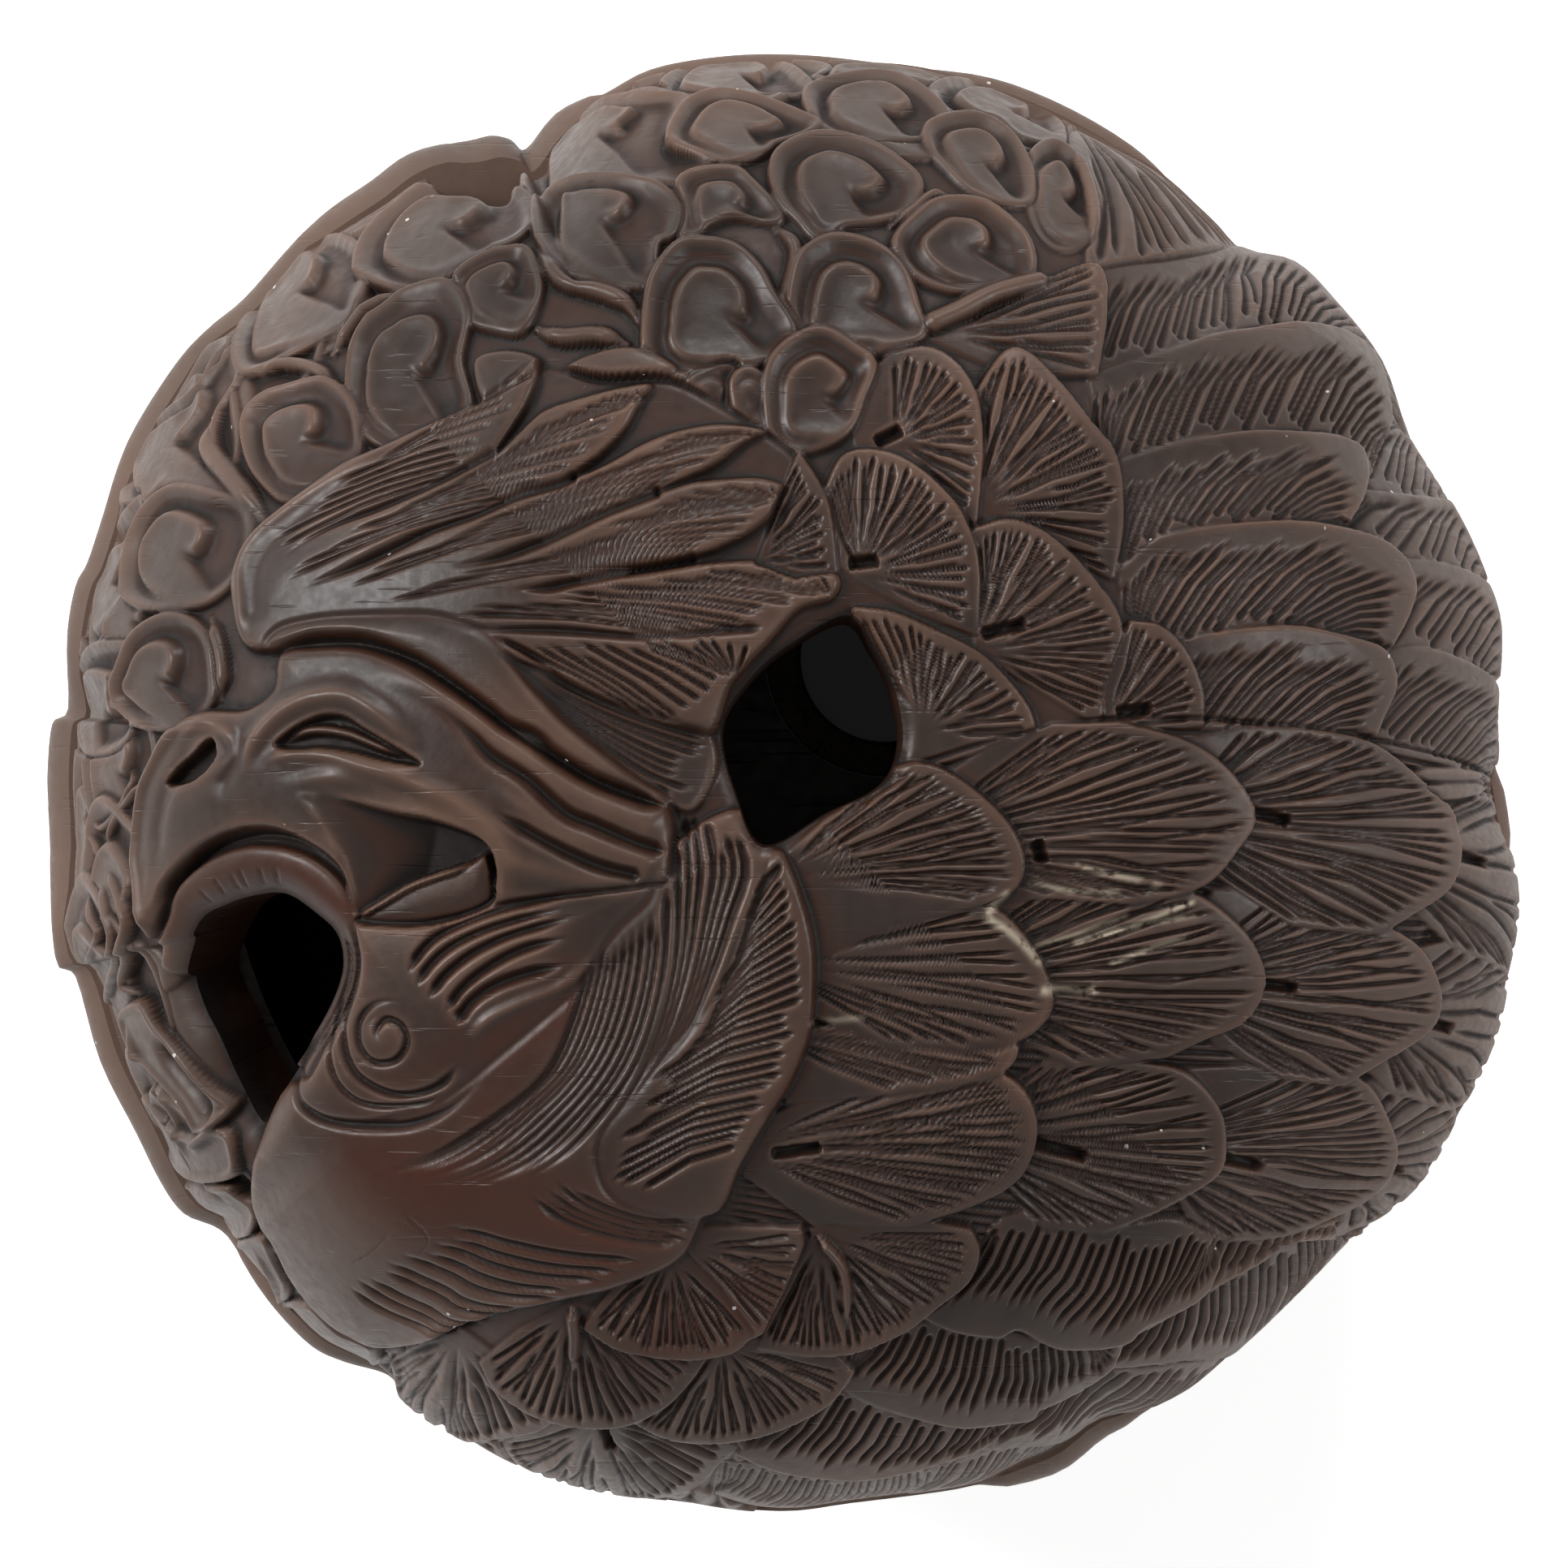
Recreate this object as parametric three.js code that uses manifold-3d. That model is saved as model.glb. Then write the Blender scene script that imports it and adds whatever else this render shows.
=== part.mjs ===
// Manju netsuke in two turned and carved halves, lying on its back
// Units are millimetres, +Z points out of the carved face, and the flat foot stands on z = 0
import * as THREE from 'three';
import { mergeVertices } from 'three/addons/utils/BufferGeometryUtils.js';
import Module from 'manifold-3d';

const wasm = await Module();
wasm.setup();

// Bun shape
const rimRadius = 21;
const faceHeight = 14;
const backDepth = 11.5;
const footRadius = 9.8;
const roundness = 2.3;

// Hollow and walls
const faceWall = 3;
const backFloor = 3;
const sideWall = 3.2;

// Turned joint between the halves
const rimLand = 3.8;
const spigotWall = 1.3;
const spigotHeight = 3;
const spigotTopGap = 0.2;
const fitClearance = 0.1;

// Cord hole in the back, with its lining ring
const cordHoleRadius = 2.4;
const cordHoleX = 2.9;
const cordHoleY = 3.6;
const ringOuterRadius = 3.4;
const ringHeight = 1.2;
const ringRecess = 0.2;
const ringChamfer = 0.25;

// Cord eyelet, a peg let into the underside of the face
const eyeletX = 6.6;
const eyeletY = 4.2;
const eyeletRadius = 1.3;
const eyeletDrop = 3.6;
const eyeletSunk = 1.4;
const eyeletHoleRadius = 0.7;
const eyeletHoleRise = 1.4;

// Inlaid pupil of the bird's eye
const pupilRadius = 0.6;
const pupilLength = 1.8;
const pupilStand = 0.15;

// Clearance round let-in pieces, and the overrun of every cutter
const seatClearance = 0.3;
const cutOverrun = 1.2;

// Places on the face, as shares of the rim radius seen from straight above
const pupilPlaceShare = [-0.602, 0.077];
const centreHoleShares = [
  [-0.086, 0.077], [-0.044, 0.146], [0.011, 0.192], [0.088, 0.231], [0.124, 0.187],
  [0.151, 0.132], [0.163, 0.055], [0.137, -0.003], [0.06, -0.042], [-0.027, -0.087],
  [-0.066, -0.016],
];
const beakHoleShares = [
  [-0.828, -0.263], [-0.808, -0.191], [-0.771, -0.167], [-0.729, -0.154], [-0.685, -0.152],
  [-0.644, -0.178], [-0.614, -0.208], [-0.606, -0.252], [-0.622, -0.301], [-0.652, -0.356],
  [-0.68, -0.4], [-0.705, -0.438], [-0.726, -0.476], [-0.742, -0.465], [-0.771, -0.411],
  [-0.795, -0.356], [-0.819, -0.306],
];
const sideHoleShares = [
  [-0.488, 0.826], [-0.47, 0.848], [-0.43, 0.858], [-0.38, 0.862], [-0.345, 0.852],
  [-0.34, 0.826], [-0.37, 0.812], [-0.43, 0.808], [-0.475, 0.812],
];

// The photograph from straight above: middle of the turned rim and its radius, in pixels
const photoCentreX = 965;
const photoCentreY = 965.5;
const photoRimPixels = 912;

// Outer edge of the whole netsuke in pixels of the photograph, from the right and round by its foot
const silhouettePixels = [
  [1852, 900], [1865, 1000], [1882, 1110], [1870, 1200], [1850, 1290], [1797, 1400], [1762, 1460],
  [1720, 1500], [1670, 1535], [1600, 1605], [1500, 1700], [1450, 1735], [1370, 1775], [1300, 1825],
  [1180, 1848], [1050, 1865], [960, 1875], [830, 1862], [700, 1840], [600, 1800], [500, 1740],
  [470, 1705], [420, 1685], [380, 1665], [335, 1620], [290, 1560], [265, 1520], [220, 1500],
  [190, 1460], [160, 1400], [115, 1310], [85, 1205], [60, 1180], [50, 1010], [48, 950], [55, 890],
  [75, 872], [75, 780], [85, 720], [100, 690], [120, 630], [150, 540], [205, 450], [250, 400],
  [295, 362], [350, 300], [400, 250], [450, 215], [500, 180], [570, 163], [642, 172], [680, 130],
  [740, 105], [800, 75], [880, 60], [965, 56], [1080, 62], [1200, 80], [1300, 115], [1400, 170],
  [1450, 210], [1500, 260], [1540, 302], [1600, 318], [1650, 365], [1710, 440], [1745, 530],
  [1800, 620], [1850, 735], [1858, 810],
];

// Where the back's rim shows past the face's: direction and spread in degrees, and pixels that show
const backShows = [
  { at: 181, pixels: 34, spread: 10 }, { at: 205, pixels: 26, spread: 14 },
  { at: 228, pixels: 12, spread: 8 }, { at: 163, pixels: 20, spread: 9 },
  { at: 150, pixels: 22, spread: 8 }, { at: 137, pixels: 20, spread: 7 },
  { at: 124, pixels: 34, spread: 8 }, { at: 113, pixels: 42, spread: 7 },
  { at: 96, pixels: 8, spread: 12 }, { at: 68, pixels: 10, spread: 9 },
  { at: 293, pixels: 22, spread: 6 }, { at: 358, pixels: 12, spread: 3 },
];

// How far the back's rim stays inside the edge where the face hides it
const hiddenInsetPixels = 10;
const hiddenFadePixels = 12;

// Share of the rim radius from which the uneven edge spreads outwards
const edgeStartShare = 0.62;

// Main raised masses of the carving: centre, width and height as shares of the rim radius
const massShares = [
  { x: -0.56, y: 0.02, width: 0.34, height: 0.04 },
  { x: -0.44, y: -0.52, width: 0.3, height: 0.04 },
  { x: -0.3, y: 0.34, width: 0.26, height: 0.025 },
  { x: 0.56, y: 0.34, width: 0.36, height: 0.035 },
  { x: 0.45, y: -0.3, width: 0.36, height: 0.025 },
  { x: -0.2, y: 0.75, width: 0.22, height: 0.03 },
];

// Depth of the carving, of which the levels of its forms are shares, and the softness of their steps
const carvingDepth = 0.7;
const groundShare = -0.8;
const sideGroundShare = -0.5;
const sideStartShare = 0.9;
const stepSoftness = 0.4;

// Carved form: levels at its root and tip as shares of the carving depth, and its places in pixels
function carved(rootShare, tipShare, root, tip, outline) {
  return { rootShare, tipShare, root, tip, outline };
}

// Main forms of the carving in the order of cutting, so that each lies over the ones before it
const carvedForms = [
  // Flight feathers of the wing
  carved(-0.8, -0.5, [1330, 180], [1480, 280], [
    [1320, 150], [1400, 165], [1500, 262], [1540, 303], [1400, 322], [1345, 335]]),
  carved(-0.7, -0.2, [1700, 700], [1860, 700], [
    [1700, 490], [1750, 533], [1808, 630], [1856, 720], [1862, 840], [1856, 940], [1760, 950],
    [1690, 905], [1680, 600]]),
  carved(-0.65, 0, [1520, 420], [1540, 303], [
    [1350, 328], [1450, 312], [1545, 303], [1652, 365], [1712, 440], [1750, 535], [1705, 500],
    [1650, 410], [1550, 405], [1450, 428], [1345, 458]]),
  carved(-0.65, 0, [1520, 540], [1540, 402], [
    [1345, 460], [1450, 425], [1550, 402], [1650, 405], [1703, 452], [1716, 518], [1695, 580],
    [1600, 536], [1500, 538], [1365, 572]]),
  carved(-0.65, 0, [1520, 650], [1540, 530], [
    [1362, 572], [1450, 543], [1550, 530], [1650, 538], [1686, 580], [1668, 635], [1600, 646],
    [1500, 651], [1385, 700]]),
  carved(-0.65, 0, [1560, 780], [1570, 645], [
    [1385, 700], [1450, 656], [1550, 644], [1650, 650], [1732, 690], [1744, 722], [1722, 792],
    [1650, 786], [1500, 784], [1400, 790]]),
  carved(-0.65, 0, [1560, 912], [1580, 774], [
    [1440, 800], [1500, 781], [1600, 773], [1700, 798], [1719, 848], [1700, 905], [1550, 912],
    [1450, 905]]),
  // Coverts
  carved(-0.5, 0, [1180, 410], [1350, 390], [
    [1150, 410], [1290, 342], [1352, 328], [1362, 455], [1250, 455]]),
  carved(-0.5, 0, [1200, 625], [1330, 520], [
    [1198, 628], [1207, 480], [1250, 430], [1342, 520], [1384, 640], [1374, 708]]),
  carved(-0.5, 0, [1090, 540], [1190, 480], [
    [1048, 500], [1100, 432], [1192, 468], [1208, 535], [1202, 640], [1120, 580]]),
  carved(-0.5, 0, [1220, 795], [1350, 720], [
    [1203, 652], [1250, 643], [1350, 720], [1380, 770], [1352, 887], [1205, 802]]),
  carved(-0.5, 0.05, [1070, 700], [1180, 640], [
    [1018, 604], [1045, 560], [1100, 562], [1186, 640], [1204, 778], [1060, 712]]),
  carved(-0.5, 0, [1380, 890], [1450, 800], [[1396, 768], [1458, 802], [1484, 890], [1370, 902]]),
  carved(-0.5, 0, [1140, 900], [1220, 830], [
    [1055, 752], [1152, 780], [1264, 870], [1278, 915], [1120, 935], [1080, 830]]),
  // Lower feathers
  carved(-0.7, -0.3, [1380, 1690], [1400, 1780], [
    [1225, 1800], [1300, 1735], [1380, 1700], [1530, 1668], [1450, 1740], [1350, 1784]]),
  carved(-0.7, -0.2, [1080, 1735], [1080, 1828], [
    [905, 1800], [1040, 1722], [1160, 1758], [1250, 1764], [1172, 1806], [1060, 1828]]),
  carved(-0.7, -0.2, [1500, 1560], [1560, 1650], [
    [1365, 1696], [1430, 1632], [1560, 1545], [1670, 1535], [1602, 1605], [1540, 1657]]),
  carved(-0.65, -0.05, [1200, 1650], [1220, 1763], [
    [1036, 1720], [1120, 1640], [1290, 1655], [1388, 1650], [1332, 1715], [1268, 1752], [1150, 1760]]),
  carved(-0.65, -0.2, [740, 1750], [760, 1850], [
    [660, 1765], [740, 1750], [850, 1775], [908, 1795], [845, 1846], [700, 1840], [615, 1788]]),
  carved(-0.65, -0.1, [560, 1650], [590, 1770], [
    [520, 1662], [620, 1690], [685, 1750], [602, 1779], [500, 1737]]),
  carved(-0.65, 0, [890, 1665], [920, 1770], [
    [770, 1752], [888, 1658], [1000, 1662], [1050, 1700], [925, 1773]]),
  carved(-0.6, 0, [703, 1620], [710, 1755], [
    [590, 1688], [703, 1614], [868, 1678], [765, 1757], [650, 1742]]),
  carved(-0.6, -0.05, [1420, 1520], [1530, 1590], [
    [1395, 1650], [1370, 1530], [1480, 1525], [1650, 1505], [1605, 1530], [1500, 1588]]),
  carved(-0.6, 0, [1290, 1505], [1310, 1660], [
    [1135, 1626], [1228, 1520], [1330, 1505], [1500, 1530], [1480, 1602], [1386, 1656], [1230, 1651]]),
  carved(-0.55, 0, [835, 1550], [830, 1670], [[720, 1640], [835, 1545], [925, 1645], [800, 1670]]),
  carved(-0.6, 0, [1010, 1525], [1080, 1660], [
    [935, 1668], [1005, 1520], [1195, 1520], [1190, 1580], [1110, 1642], [1000, 1674]]),
  // Body feathers in three rows, each over the one to its right
  carved(-0.65, 0, [1450, 1425], [1700, 1430], [
    [1460, 1325], [1600, 1330], [1716, 1392], [1702, 1463], [1600, 1521], [1470, 1505], [1440, 1430]]),
  carved(-0.65, 0.05, [1240, 1410], [1500, 1410], [
    [1240, 1350], [1300, 1310], [1458, 1325], [1508, 1410], [1430, 1493], [1290, 1518], [1240, 1460]]),
  carved(-0.6, 0.05, [950, 1420], [1270, 1400], [
    [940, 1385], [1080, 1325], [1215, 1312], [1274, 1400], [1195, 1487], [1000, 1512], [915, 1450]]),
  carved(-0.65, -0.2, [1720, 1240], [1860, 1260], [
    [1760, 1175], [1880, 1210], [1825, 1350], [1720, 1345], [1680, 1310]]),
  carved(-0.65, 0.05, [1520, 1215], [1770, 1225], [
    [1500, 1100], [1640, 1138], [1774, 1225], [1700, 1312], [1590, 1330], [1500, 1285]]),
  carved(-0.65, 0.05, [1250, 1210], [1550, 1210], [
    [1228, 1105], [1390, 1088], [1555, 1195], [1528, 1260], [1440, 1302], [1330, 1315], [1240, 1275]]),
  carved(-0.6, 0.1, [1010, 1200], [1290, 1220], [
    [1000, 1150], [1190, 1102], [1294, 1238], [1222, 1292], [1100, 1290], [995, 1250]]),
  carved(-0.65, -0.2, [1760, 1060], [1885, 1090], [
    [1812, 978], [1882, 1050], [1888, 1180], [1800, 1165], [1740, 1112]]),
  carved(-0.65, 0.05, [1510, 1010], [1795, 1040], [
    [1500, 950], [1600, 898], [1748, 958], [1799, 1050], [1705, 1150], [1600, 1140], [1500, 1075]]),
  carved(-0.65, 0.1, [1190, 1030], [1540, 1000], [
    [1180, 950], [1300, 895], [1460, 915], [1544, 1002], [1482, 1090], [1300, 1105], [1170, 1060]]),
  carved(-0.6, 0.1, [1000, 1085], [1250, 1040], [
    [998, 1110], [1020, 1010], [1108, 948], [1203, 980], [1259, 1060], [1212, 1112], [1100, 1140],
    [1008, 1180]]),
  // Curls round the upper left
  carved(-0.4, -0.4, [200, 480], [200, 600], [
    [148, 600], [180, 520], [285, 420], [256, 545], [300, 620], [165, 640]]),
  carved(-0.2, -0.2, [1080, 85], [1080, 160], [
    [998, 100], [1045, 86], [1100, 85], [1173, 138], [1110, 161], [1015, 145]]),
  carved(-0.15, -0.15, [740, 120], [740, 220], [
    [650, 238], [667, 165], [745, 117], [845, 112], [872, 192], [850, 218], [705, 224]]),
  carved(-0.15, -0.15, [900, 110], [900, 190], [
    [826, 168], [852, 120], [930, 112], [1008, 143], [955, 167], [895, 192]]),
  carved(-0.15, -0.15, [1200, 140], [1200, 240], [
    [1148, 148], [1200, 137], [1271, 195], [1273, 236], [1200, 224]]),
  carved(-0.15, -0.15, [900, 210], [900, 290], [[843, 216], [900, 203], [957, 264], [905, 259], [846, 292]]),
  carved(-0.1, -0.1, [1040, 170], [1040, 280], [
    [953, 206], [1010, 163], [1105, 192], [1133, 218], [1080, 263], [1010, 287], [963, 240]]),
  carved(-0.1, -0.1, [1190, 250], [1190, 350], [
    [1106, 293], [1160, 246], [1237, 262], [1272, 332], [1190, 352], [1118, 322]]),
  carved(-0.15, -0.15, [350, 300], [350, 450], [
    [286, 442], [302, 372], [350, 315], [442, 302], [425, 385], [350, 431]]),
  carved(-0.1, -0.1, [540, 225], [540, 345], [
    [436, 322], [470, 265], [532, 222], [632, 226], [652, 268], [560, 325], [480, 347]]),
  carved(-0.2, -0.2, [750, 215], [750, 345], [
    [660, 272], [700, 221], [805, 221], [834, 245], [803, 330], [740, 342], [669, 297]]),
  carved(0, 0, [610, 305], [610, 400], [
    [560, 366], [600, 311], [642, 302], [661, 350], [638, 402], [580, 390]]),
  carved(-0.2, -0.2, [500, 350], [500, 545], [
    [430, 502], [440, 410], [500, 357], [572, 380], [574, 500], [542, 545], [482, 548]]),
  carved(-0.2, -0.2, [370, 470], [370, 610], [
    [303, 562], [312, 496], [396, 467], [437, 530], [396, 603], [322, 592]]),
  carved(-0.05, -0.05, [1050, 290], [1050, 440], [
    [977, 432], [985, 321], [1042, 289], [1113, 327], [1137, 407], [1040, 437]]),
  carved(-0.05, -0.05, [880, 295], [880, 460], [
    [799, 442], [804, 345], [850, 295], [932, 325], [978, 402], [930, 442], [828, 462]]),
  carved(-0.1, -0.1, [1010, 410], [1010, 550], [
    [946, 477], [985, 414], [1052, 427], [1074, 446], [1040, 530], [955, 540]]),
  carved(-0.1, -0.1, [230, 600], [230, 745], [
    [149, 727], [159, 660], [210, 599], [297, 622], [287, 702], [205, 746]]),
  carved(-0.1, -0.1, [200, 760], [200, 895], [[139, 862], [159, 785], [222, 761], [254, 830], [200, 895]]),
  // Breast and neck
  carved(0.2, 0.2, [500, 1350], [500, 1650], [
    [345, 1342], [307, 1440], [308, 1485], [352, 1572], [422, 1645], [505, 1662], [620, 1622],
    [760, 1596], [850, 1560], [930, 1440], [960, 1350], [760, 1180], [560, 1320], [480, 1375]]),
  carved(0.15, 0.15, [880, 1010], [760, 1480], [
    [790, 1095], [880, 1005], [925, 1000], [985, 1100], [1001, 1260], [955, 1355], [850, 1478],
    [680, 1462], [615, 1440], [690, 1260]]),
  // Crest and head
  carved(0.3, 0.15, [400, 700], [950, 650], [
    [285, 762], [295, 670], [380, 595], [500, 546], [668, 454], [630, 510], [822, 462], [760, 530],
    [942, 527], [880, 590], [1004, 590], [940, 655], [1005, 690], [948, 778], [870, 860], [720, 860],
    [560, 790], [440, 788], [340, 797]]),
  carved(0.45, 0.4, [400, 790], [840, 950], [
    [348, 798], [520, 775], [620, 792], [760, 862], [845, 888], [858, 975], [790, 995], [650, 910],
    [540, 835], [400, 812]]),
  carved(0.6, 0.55, [250, 900], [800, 1040], [
    [250, 872], [192, 925], [161, 1050], [186, 1192], [245, 1072], [345, 1036], [425, 1085],
    [500, 1140], [610, 1104], [750, 1092], [828, 1060], [828, 1005], [730, 957], [600, 860],
    [500, 808], [345, 800], [300, 832]]),
  carved(0.35, 0.3, [440, 1200], [700, 1130], [
    [418, 1125], [500, 1142], [605, 1108], [790, 1090], [722, 1206], [592, 1300], [500, 1370],
    [400, 1350], [402, 1272]]),
  carved(-0.8, -0.8, [400, 980], [600, 1100], [
    [368, 980], [450, 988], [550, 1017], [609, 1070], [552, 1126], [442, 1132], [388, 1040]]),
  carved(0.35, 0.35, [200, 1190], [430, 1130], [
    [182, 1192], [214, 1104], [300, 1044], [386, 1053], [436, 1112], [438, 1150], [405, 1165],
    [320, 1103], [236, 1130]]),
];

// Rows of lappets round the back, as shares of the way from the foot to the rim
const backRowShares = [
  { end: 0.38, level: -0.12 }, { end: 0.61, level: -0.12 },
  { end: 0.81, level: -0.16 }, { end: 0.97, level: -0.2 },
];
const backRowRootShare = -0.65;
const backRowStepShare = 0.015;

const carvedSides = 144;
const turnedSides = 72;
const faceRings = 36;
const innerRings = 7;
const roundSides = 24;
const outlineSteps = 40;

// Heights along the axis
const seamZ = backDepth;
const faceHollowHeight = faceHeight - faceWall;
const backHollowDepth = backDepth - backFloor;
const backCurveDepth = backDepth / (1 - (footRadius / rimRadius) ** roundness) ** (1 / roundness);

// Radii round the axis
const hollowRadius = rimRadius - sideWall;
const spigotRadius = rimRadius - rimLand;
const spigotInnerRadius = spigotRadius - spigotWall;

const woodLook = { color: 0x40362f, roughness: 0.45, metalness: 0 };
const innerWoodLook = { color: 0x3a2f28, roughness: 0.5, metalness: 0 };
const hornLook = { color: 0x1c1815, roughness: 0.3, metalness: 0 };

// Place in the plan under a pixel of the photograph, as shares of the rim radius
function planShare([pixelX, pixelY]) {
  return [(pixelX - photoCentreX) / photoRimPixels, (photoCentreY - pixelY) / photoRimPixels];
}

// The whole outline's directions and reaches, in order round the axis
const edgeShares = silhouettePixels
  .map((pixel) => planShare(pixel))
  .map(([x, y]) => ({ turn: Math.atan2(y, x), reach: Math.hypot(x, y) }))
  .sort((a, b) => a.turn - b.turn);

// Share of the rim radius that the whole outline reaches in one direction
function wholeShareAt(angle) {
  const turn = THREE.MathUtils.euclideanModulo(angle + Math.PI, 2 * Math.PI) - Math.PI;
  const found = edgeShares.findIndex((place) => place.turn > turn);
  const after = edgeShares[found < 0 ? 0 : found];
  const before = edgeShares[found <= 0 ? edgeShares.length - 1 : found - 1];
  const span = THREE.MathUtils.euclideanModulo(after.turn - before.turn, 2 * Math.PI);
  const gone = THREE.MathUtils.euclideanModulo(turn - before.turn, 2 * Math.PI);
  return THREE.MathUtils.lerp(before.reach, after.reach, gone / span);
}

// Pixels of the back's rim that show past the face in one direction
function showingPixels(angle) {
  let showing = 0;
  for (const place of backShows) {
    const gone = THREE.MathUtils.radToDeg(angle) - place.at;
    const turn = THREE.MathUtils.euclideanModulo(gone + 180, 360) - 180;
    showing = Math.max(showing, place.pixels * Math.exp(-((turn / place.spread) ** 4)));
  }
  return showing;
}

// Rim of the face in one direction, as a share of the rim radius
function faceShareAt(angle) {
  return wholeShareAt(angle) - showingPixels(angle) / photoRimPixels;
}

// Rim of the back in one direction, as a share of the rim radius
function backShareAt(angle) {
  const hidden = 1 - Math.min(showingPixels(angle) / hiddenFadePixels, 1);
  return wholeShareAt(angle) - hiddenInsetPixels / photoRimPixels * hidden;
}

// Radius in one direction, once the uneven edge has spread into it
function unevenRadius(radius, share) {
  const spread = THREE.MathUtils.smoothstep(radius / rimRadius, edgeStartShare, 1);
  return radius * THREE.MathUtils.lerp(1, share, spread);
}

// Signed depth of a place inside a closed outline, as a share of the rim radius
function depthInside(x, y, outline) {
  let nearest = Infinity;
  let isInside = false;
  for (let step = 0; step < outline.length; step += 1) {
    const [ax, ay] = outline[step];
    const [bx, by] = outline[(step + 1) % outline.length];
    const [alongX, alongY] = [bx - ax, by - ay];
    const along = ((x - ax) * alongX + (y - ay) * alongY) / (alongX ** 2 + alongY ** 2);
    const held = THREE.MathUtils.clamp(along, 0, 1);
    nearest = Math.min(nearest, Math.hypot(x - ax - held * alongX, y - ay - held * alongY));
    if ((ay > y) !== (by > y) && x < ax + (y - ay) * alongX / alongY) isInside = !isInside;
  }
  return isInside ? nearest : -nearest;
}

// Carved forms in shares of the plan, with the way from root to tip
const plannedForms = carvedForms.map(({ rootShare, tipShare, root, tip, outline }) => ({
  rootShare,
  tipShare,
  root: planShare(root),
  tip: planShare(tip),
  outline: outline.map((pixel) => planShare(pixel)),
}));

// Level of the carving over the bun at a place in the plan
function carvingLevel(x, y) {
  const [planX, planY] = [x / rimRadius, y / rimRadius];
  const out = THREE.MathUtils.smoothstep(Math.hypot(planX, planY), sideStartShare, 1);
  let level = THREE.MathUtils.lerp(groundShare, sideGroundShare, out);
  for (const form of plannedForms) {
    const depth = depthInside(planX, planY, form.outline) * rimRadius / stepSoftness;
    const cover = THREE.MathUtils.clamp(1 / 2 + depth, 0, 1);
    if (cover > 0) {
      const way = new THREE.Vector2(...form.tip).sub(new THREE.Vector2(...form.root));
      const gone = new THREE.Vector2(planX, planY).sub(new THREE.Vector2(...form.root));
      const along = THREE.MathUtils.clamp(gone.dot(way) / way.lengthSq(), 0, 1);
      const own = THREE.MathUtils.lerp(form.rootShare, form.tipShare, along);
      level = THREE.MathUtils.lerp(level, own, cover);
    }
  }
  return level * carvingDepth;
}

// Height of a rounded bun curve above its widest plane
function curveHeight(radius, widest, height) {
  const share = Math.min(radius / widest, 1);
  return height * (1 - share ** roundness) ** (1 / roundness);
}

// Radius and height at one step along a rounded bun curve, from 0 at the axis to 1 at the rim
function curveStep(step, widest, height) {
  const angle = (1 - step) * Math.PI / 2;
  const power = 2 / roundness;
  return { radius: widest * Math.cos(angle) ** power, height: height * Math.sin(angle) ** power };
}

// Point on the face and its outward direction, above a place in the plan
function facePoint(x, y) {
  const radius = Math.hypot(x, y);
  const height = curveHeight(radius, rimRadius, faceHeight);
  const outward = (radius / rimRadius) ** (roundness - 1) / rimRadius;
  const upward = (height / faceHeight) ** (roundness - 1) / faceHeight;
  const normal = new THREE.Vector3(
    radius > 0 ? outward * x / radius : 0,
    radius > 0 ? outward * y / radius : 0,
    upward,
  ).normalize();
  return { point: new THREE.Vector3(x, y, seamZ + height), normal };
}

// Height of the carving's main masses above the bun curve
function massHeight(x, y) {
  let height = 0;
  for (const mass of massShares) {
    const away = Math.hypot(x / rimRadius - mass.x, y / rimRadius - mass.y) / mass.width;
    height += mass.height * rimRadius * Math.exp(-away * away);
  }
  return height;
}

// Height of the carved face above the bun curve
function surfaceRise(x, y) {
  const height = curveHeight(Math.hypot(x, y), rimRadius, faceHeight);
  return massHeight(x, y) * height / faceHeight + carvingLevel(x, y);
}

// Ring of points round the axis
function ring(radiusAt, z, sides = carvedSides) {
  const points = [];
  for (let side = 0; side < sides; side += 1) {
    const angle = side / sides * 2 * Math.PI;
    const radius = radiusAt(angle);
    points.push(new THREE.Vector3(radius * Math.cos(angle), radius * Math.sin(angle), z));
  }
  return points;
}

// Plain circle of points round the axis
function circle(radius, z, sides = turnedSides) {
  return ring(() => radius, z, sides);
}

// Closed skin through an axis point, a run of rings and another axis point
function skin(firstZ, rings, lastZ) {
  const sides = rings[0].length;
  const positions = [0, 0, firstZ];
  for (const points of rings) {
    for (const point of points) positions.push(point.x, point.y, point.z);
  }
  positions.push(0, 0, lastZ);
  const last = 1 + rings.length * sides;
  const index = [];
  for (let side = 0; side < sides; side += 1) {
    const next = (side + 1) % sides;
    index.push(0, 1 + side, 1 + next);
    for (let row = 0; row + 1 < rings.length; row += 1) {
      const here = 1 + row * sides;
      const below = here + sides;
      index.push(here + side, below + side, below + next);
      index.push(here + side, below + next, here + next);
    }
    const end = last - sides;
    index.push(end + side, last, end + next);
  }
  const geometry = new THREE.BufferGeometry();
  geometry.setAttribute('position', new THREE.Float32BufferAttribute(positions, 3));
  geometry.setIndex(index);
  return geometry;
}

// Solid for joining and cutting, from a closed geometry
function toSolid(geometry) {
  const bare = geometry.clone();
  bare.deleteAttribute('normal');
  bare.deleteAttribute('uv');
  const merged = mergeVertices(bare);
  return new wasm.Manifold(new wasm.Mesh({
    numProp: 3,
    vertProperties: Float32Array.from(merged.attributes.position.array),
    triVerts: Uint32Array.from(merged.index.array),
  }));
}

// Geometry from a solid
function toGeometry(solid) {
  const mesh = solid.getMesh();
  const geometry = new THREE.BufferGeometry();
  geometry.setAttribute('position', new THREE.BufferAttribute(mesh.vertProperties, 3));
  geometry.setIndex(new THREE.BufferAttribute(mesh.triVerts, 1));
  geometry.computeVertexNormals();
  return geometry;
}

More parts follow.
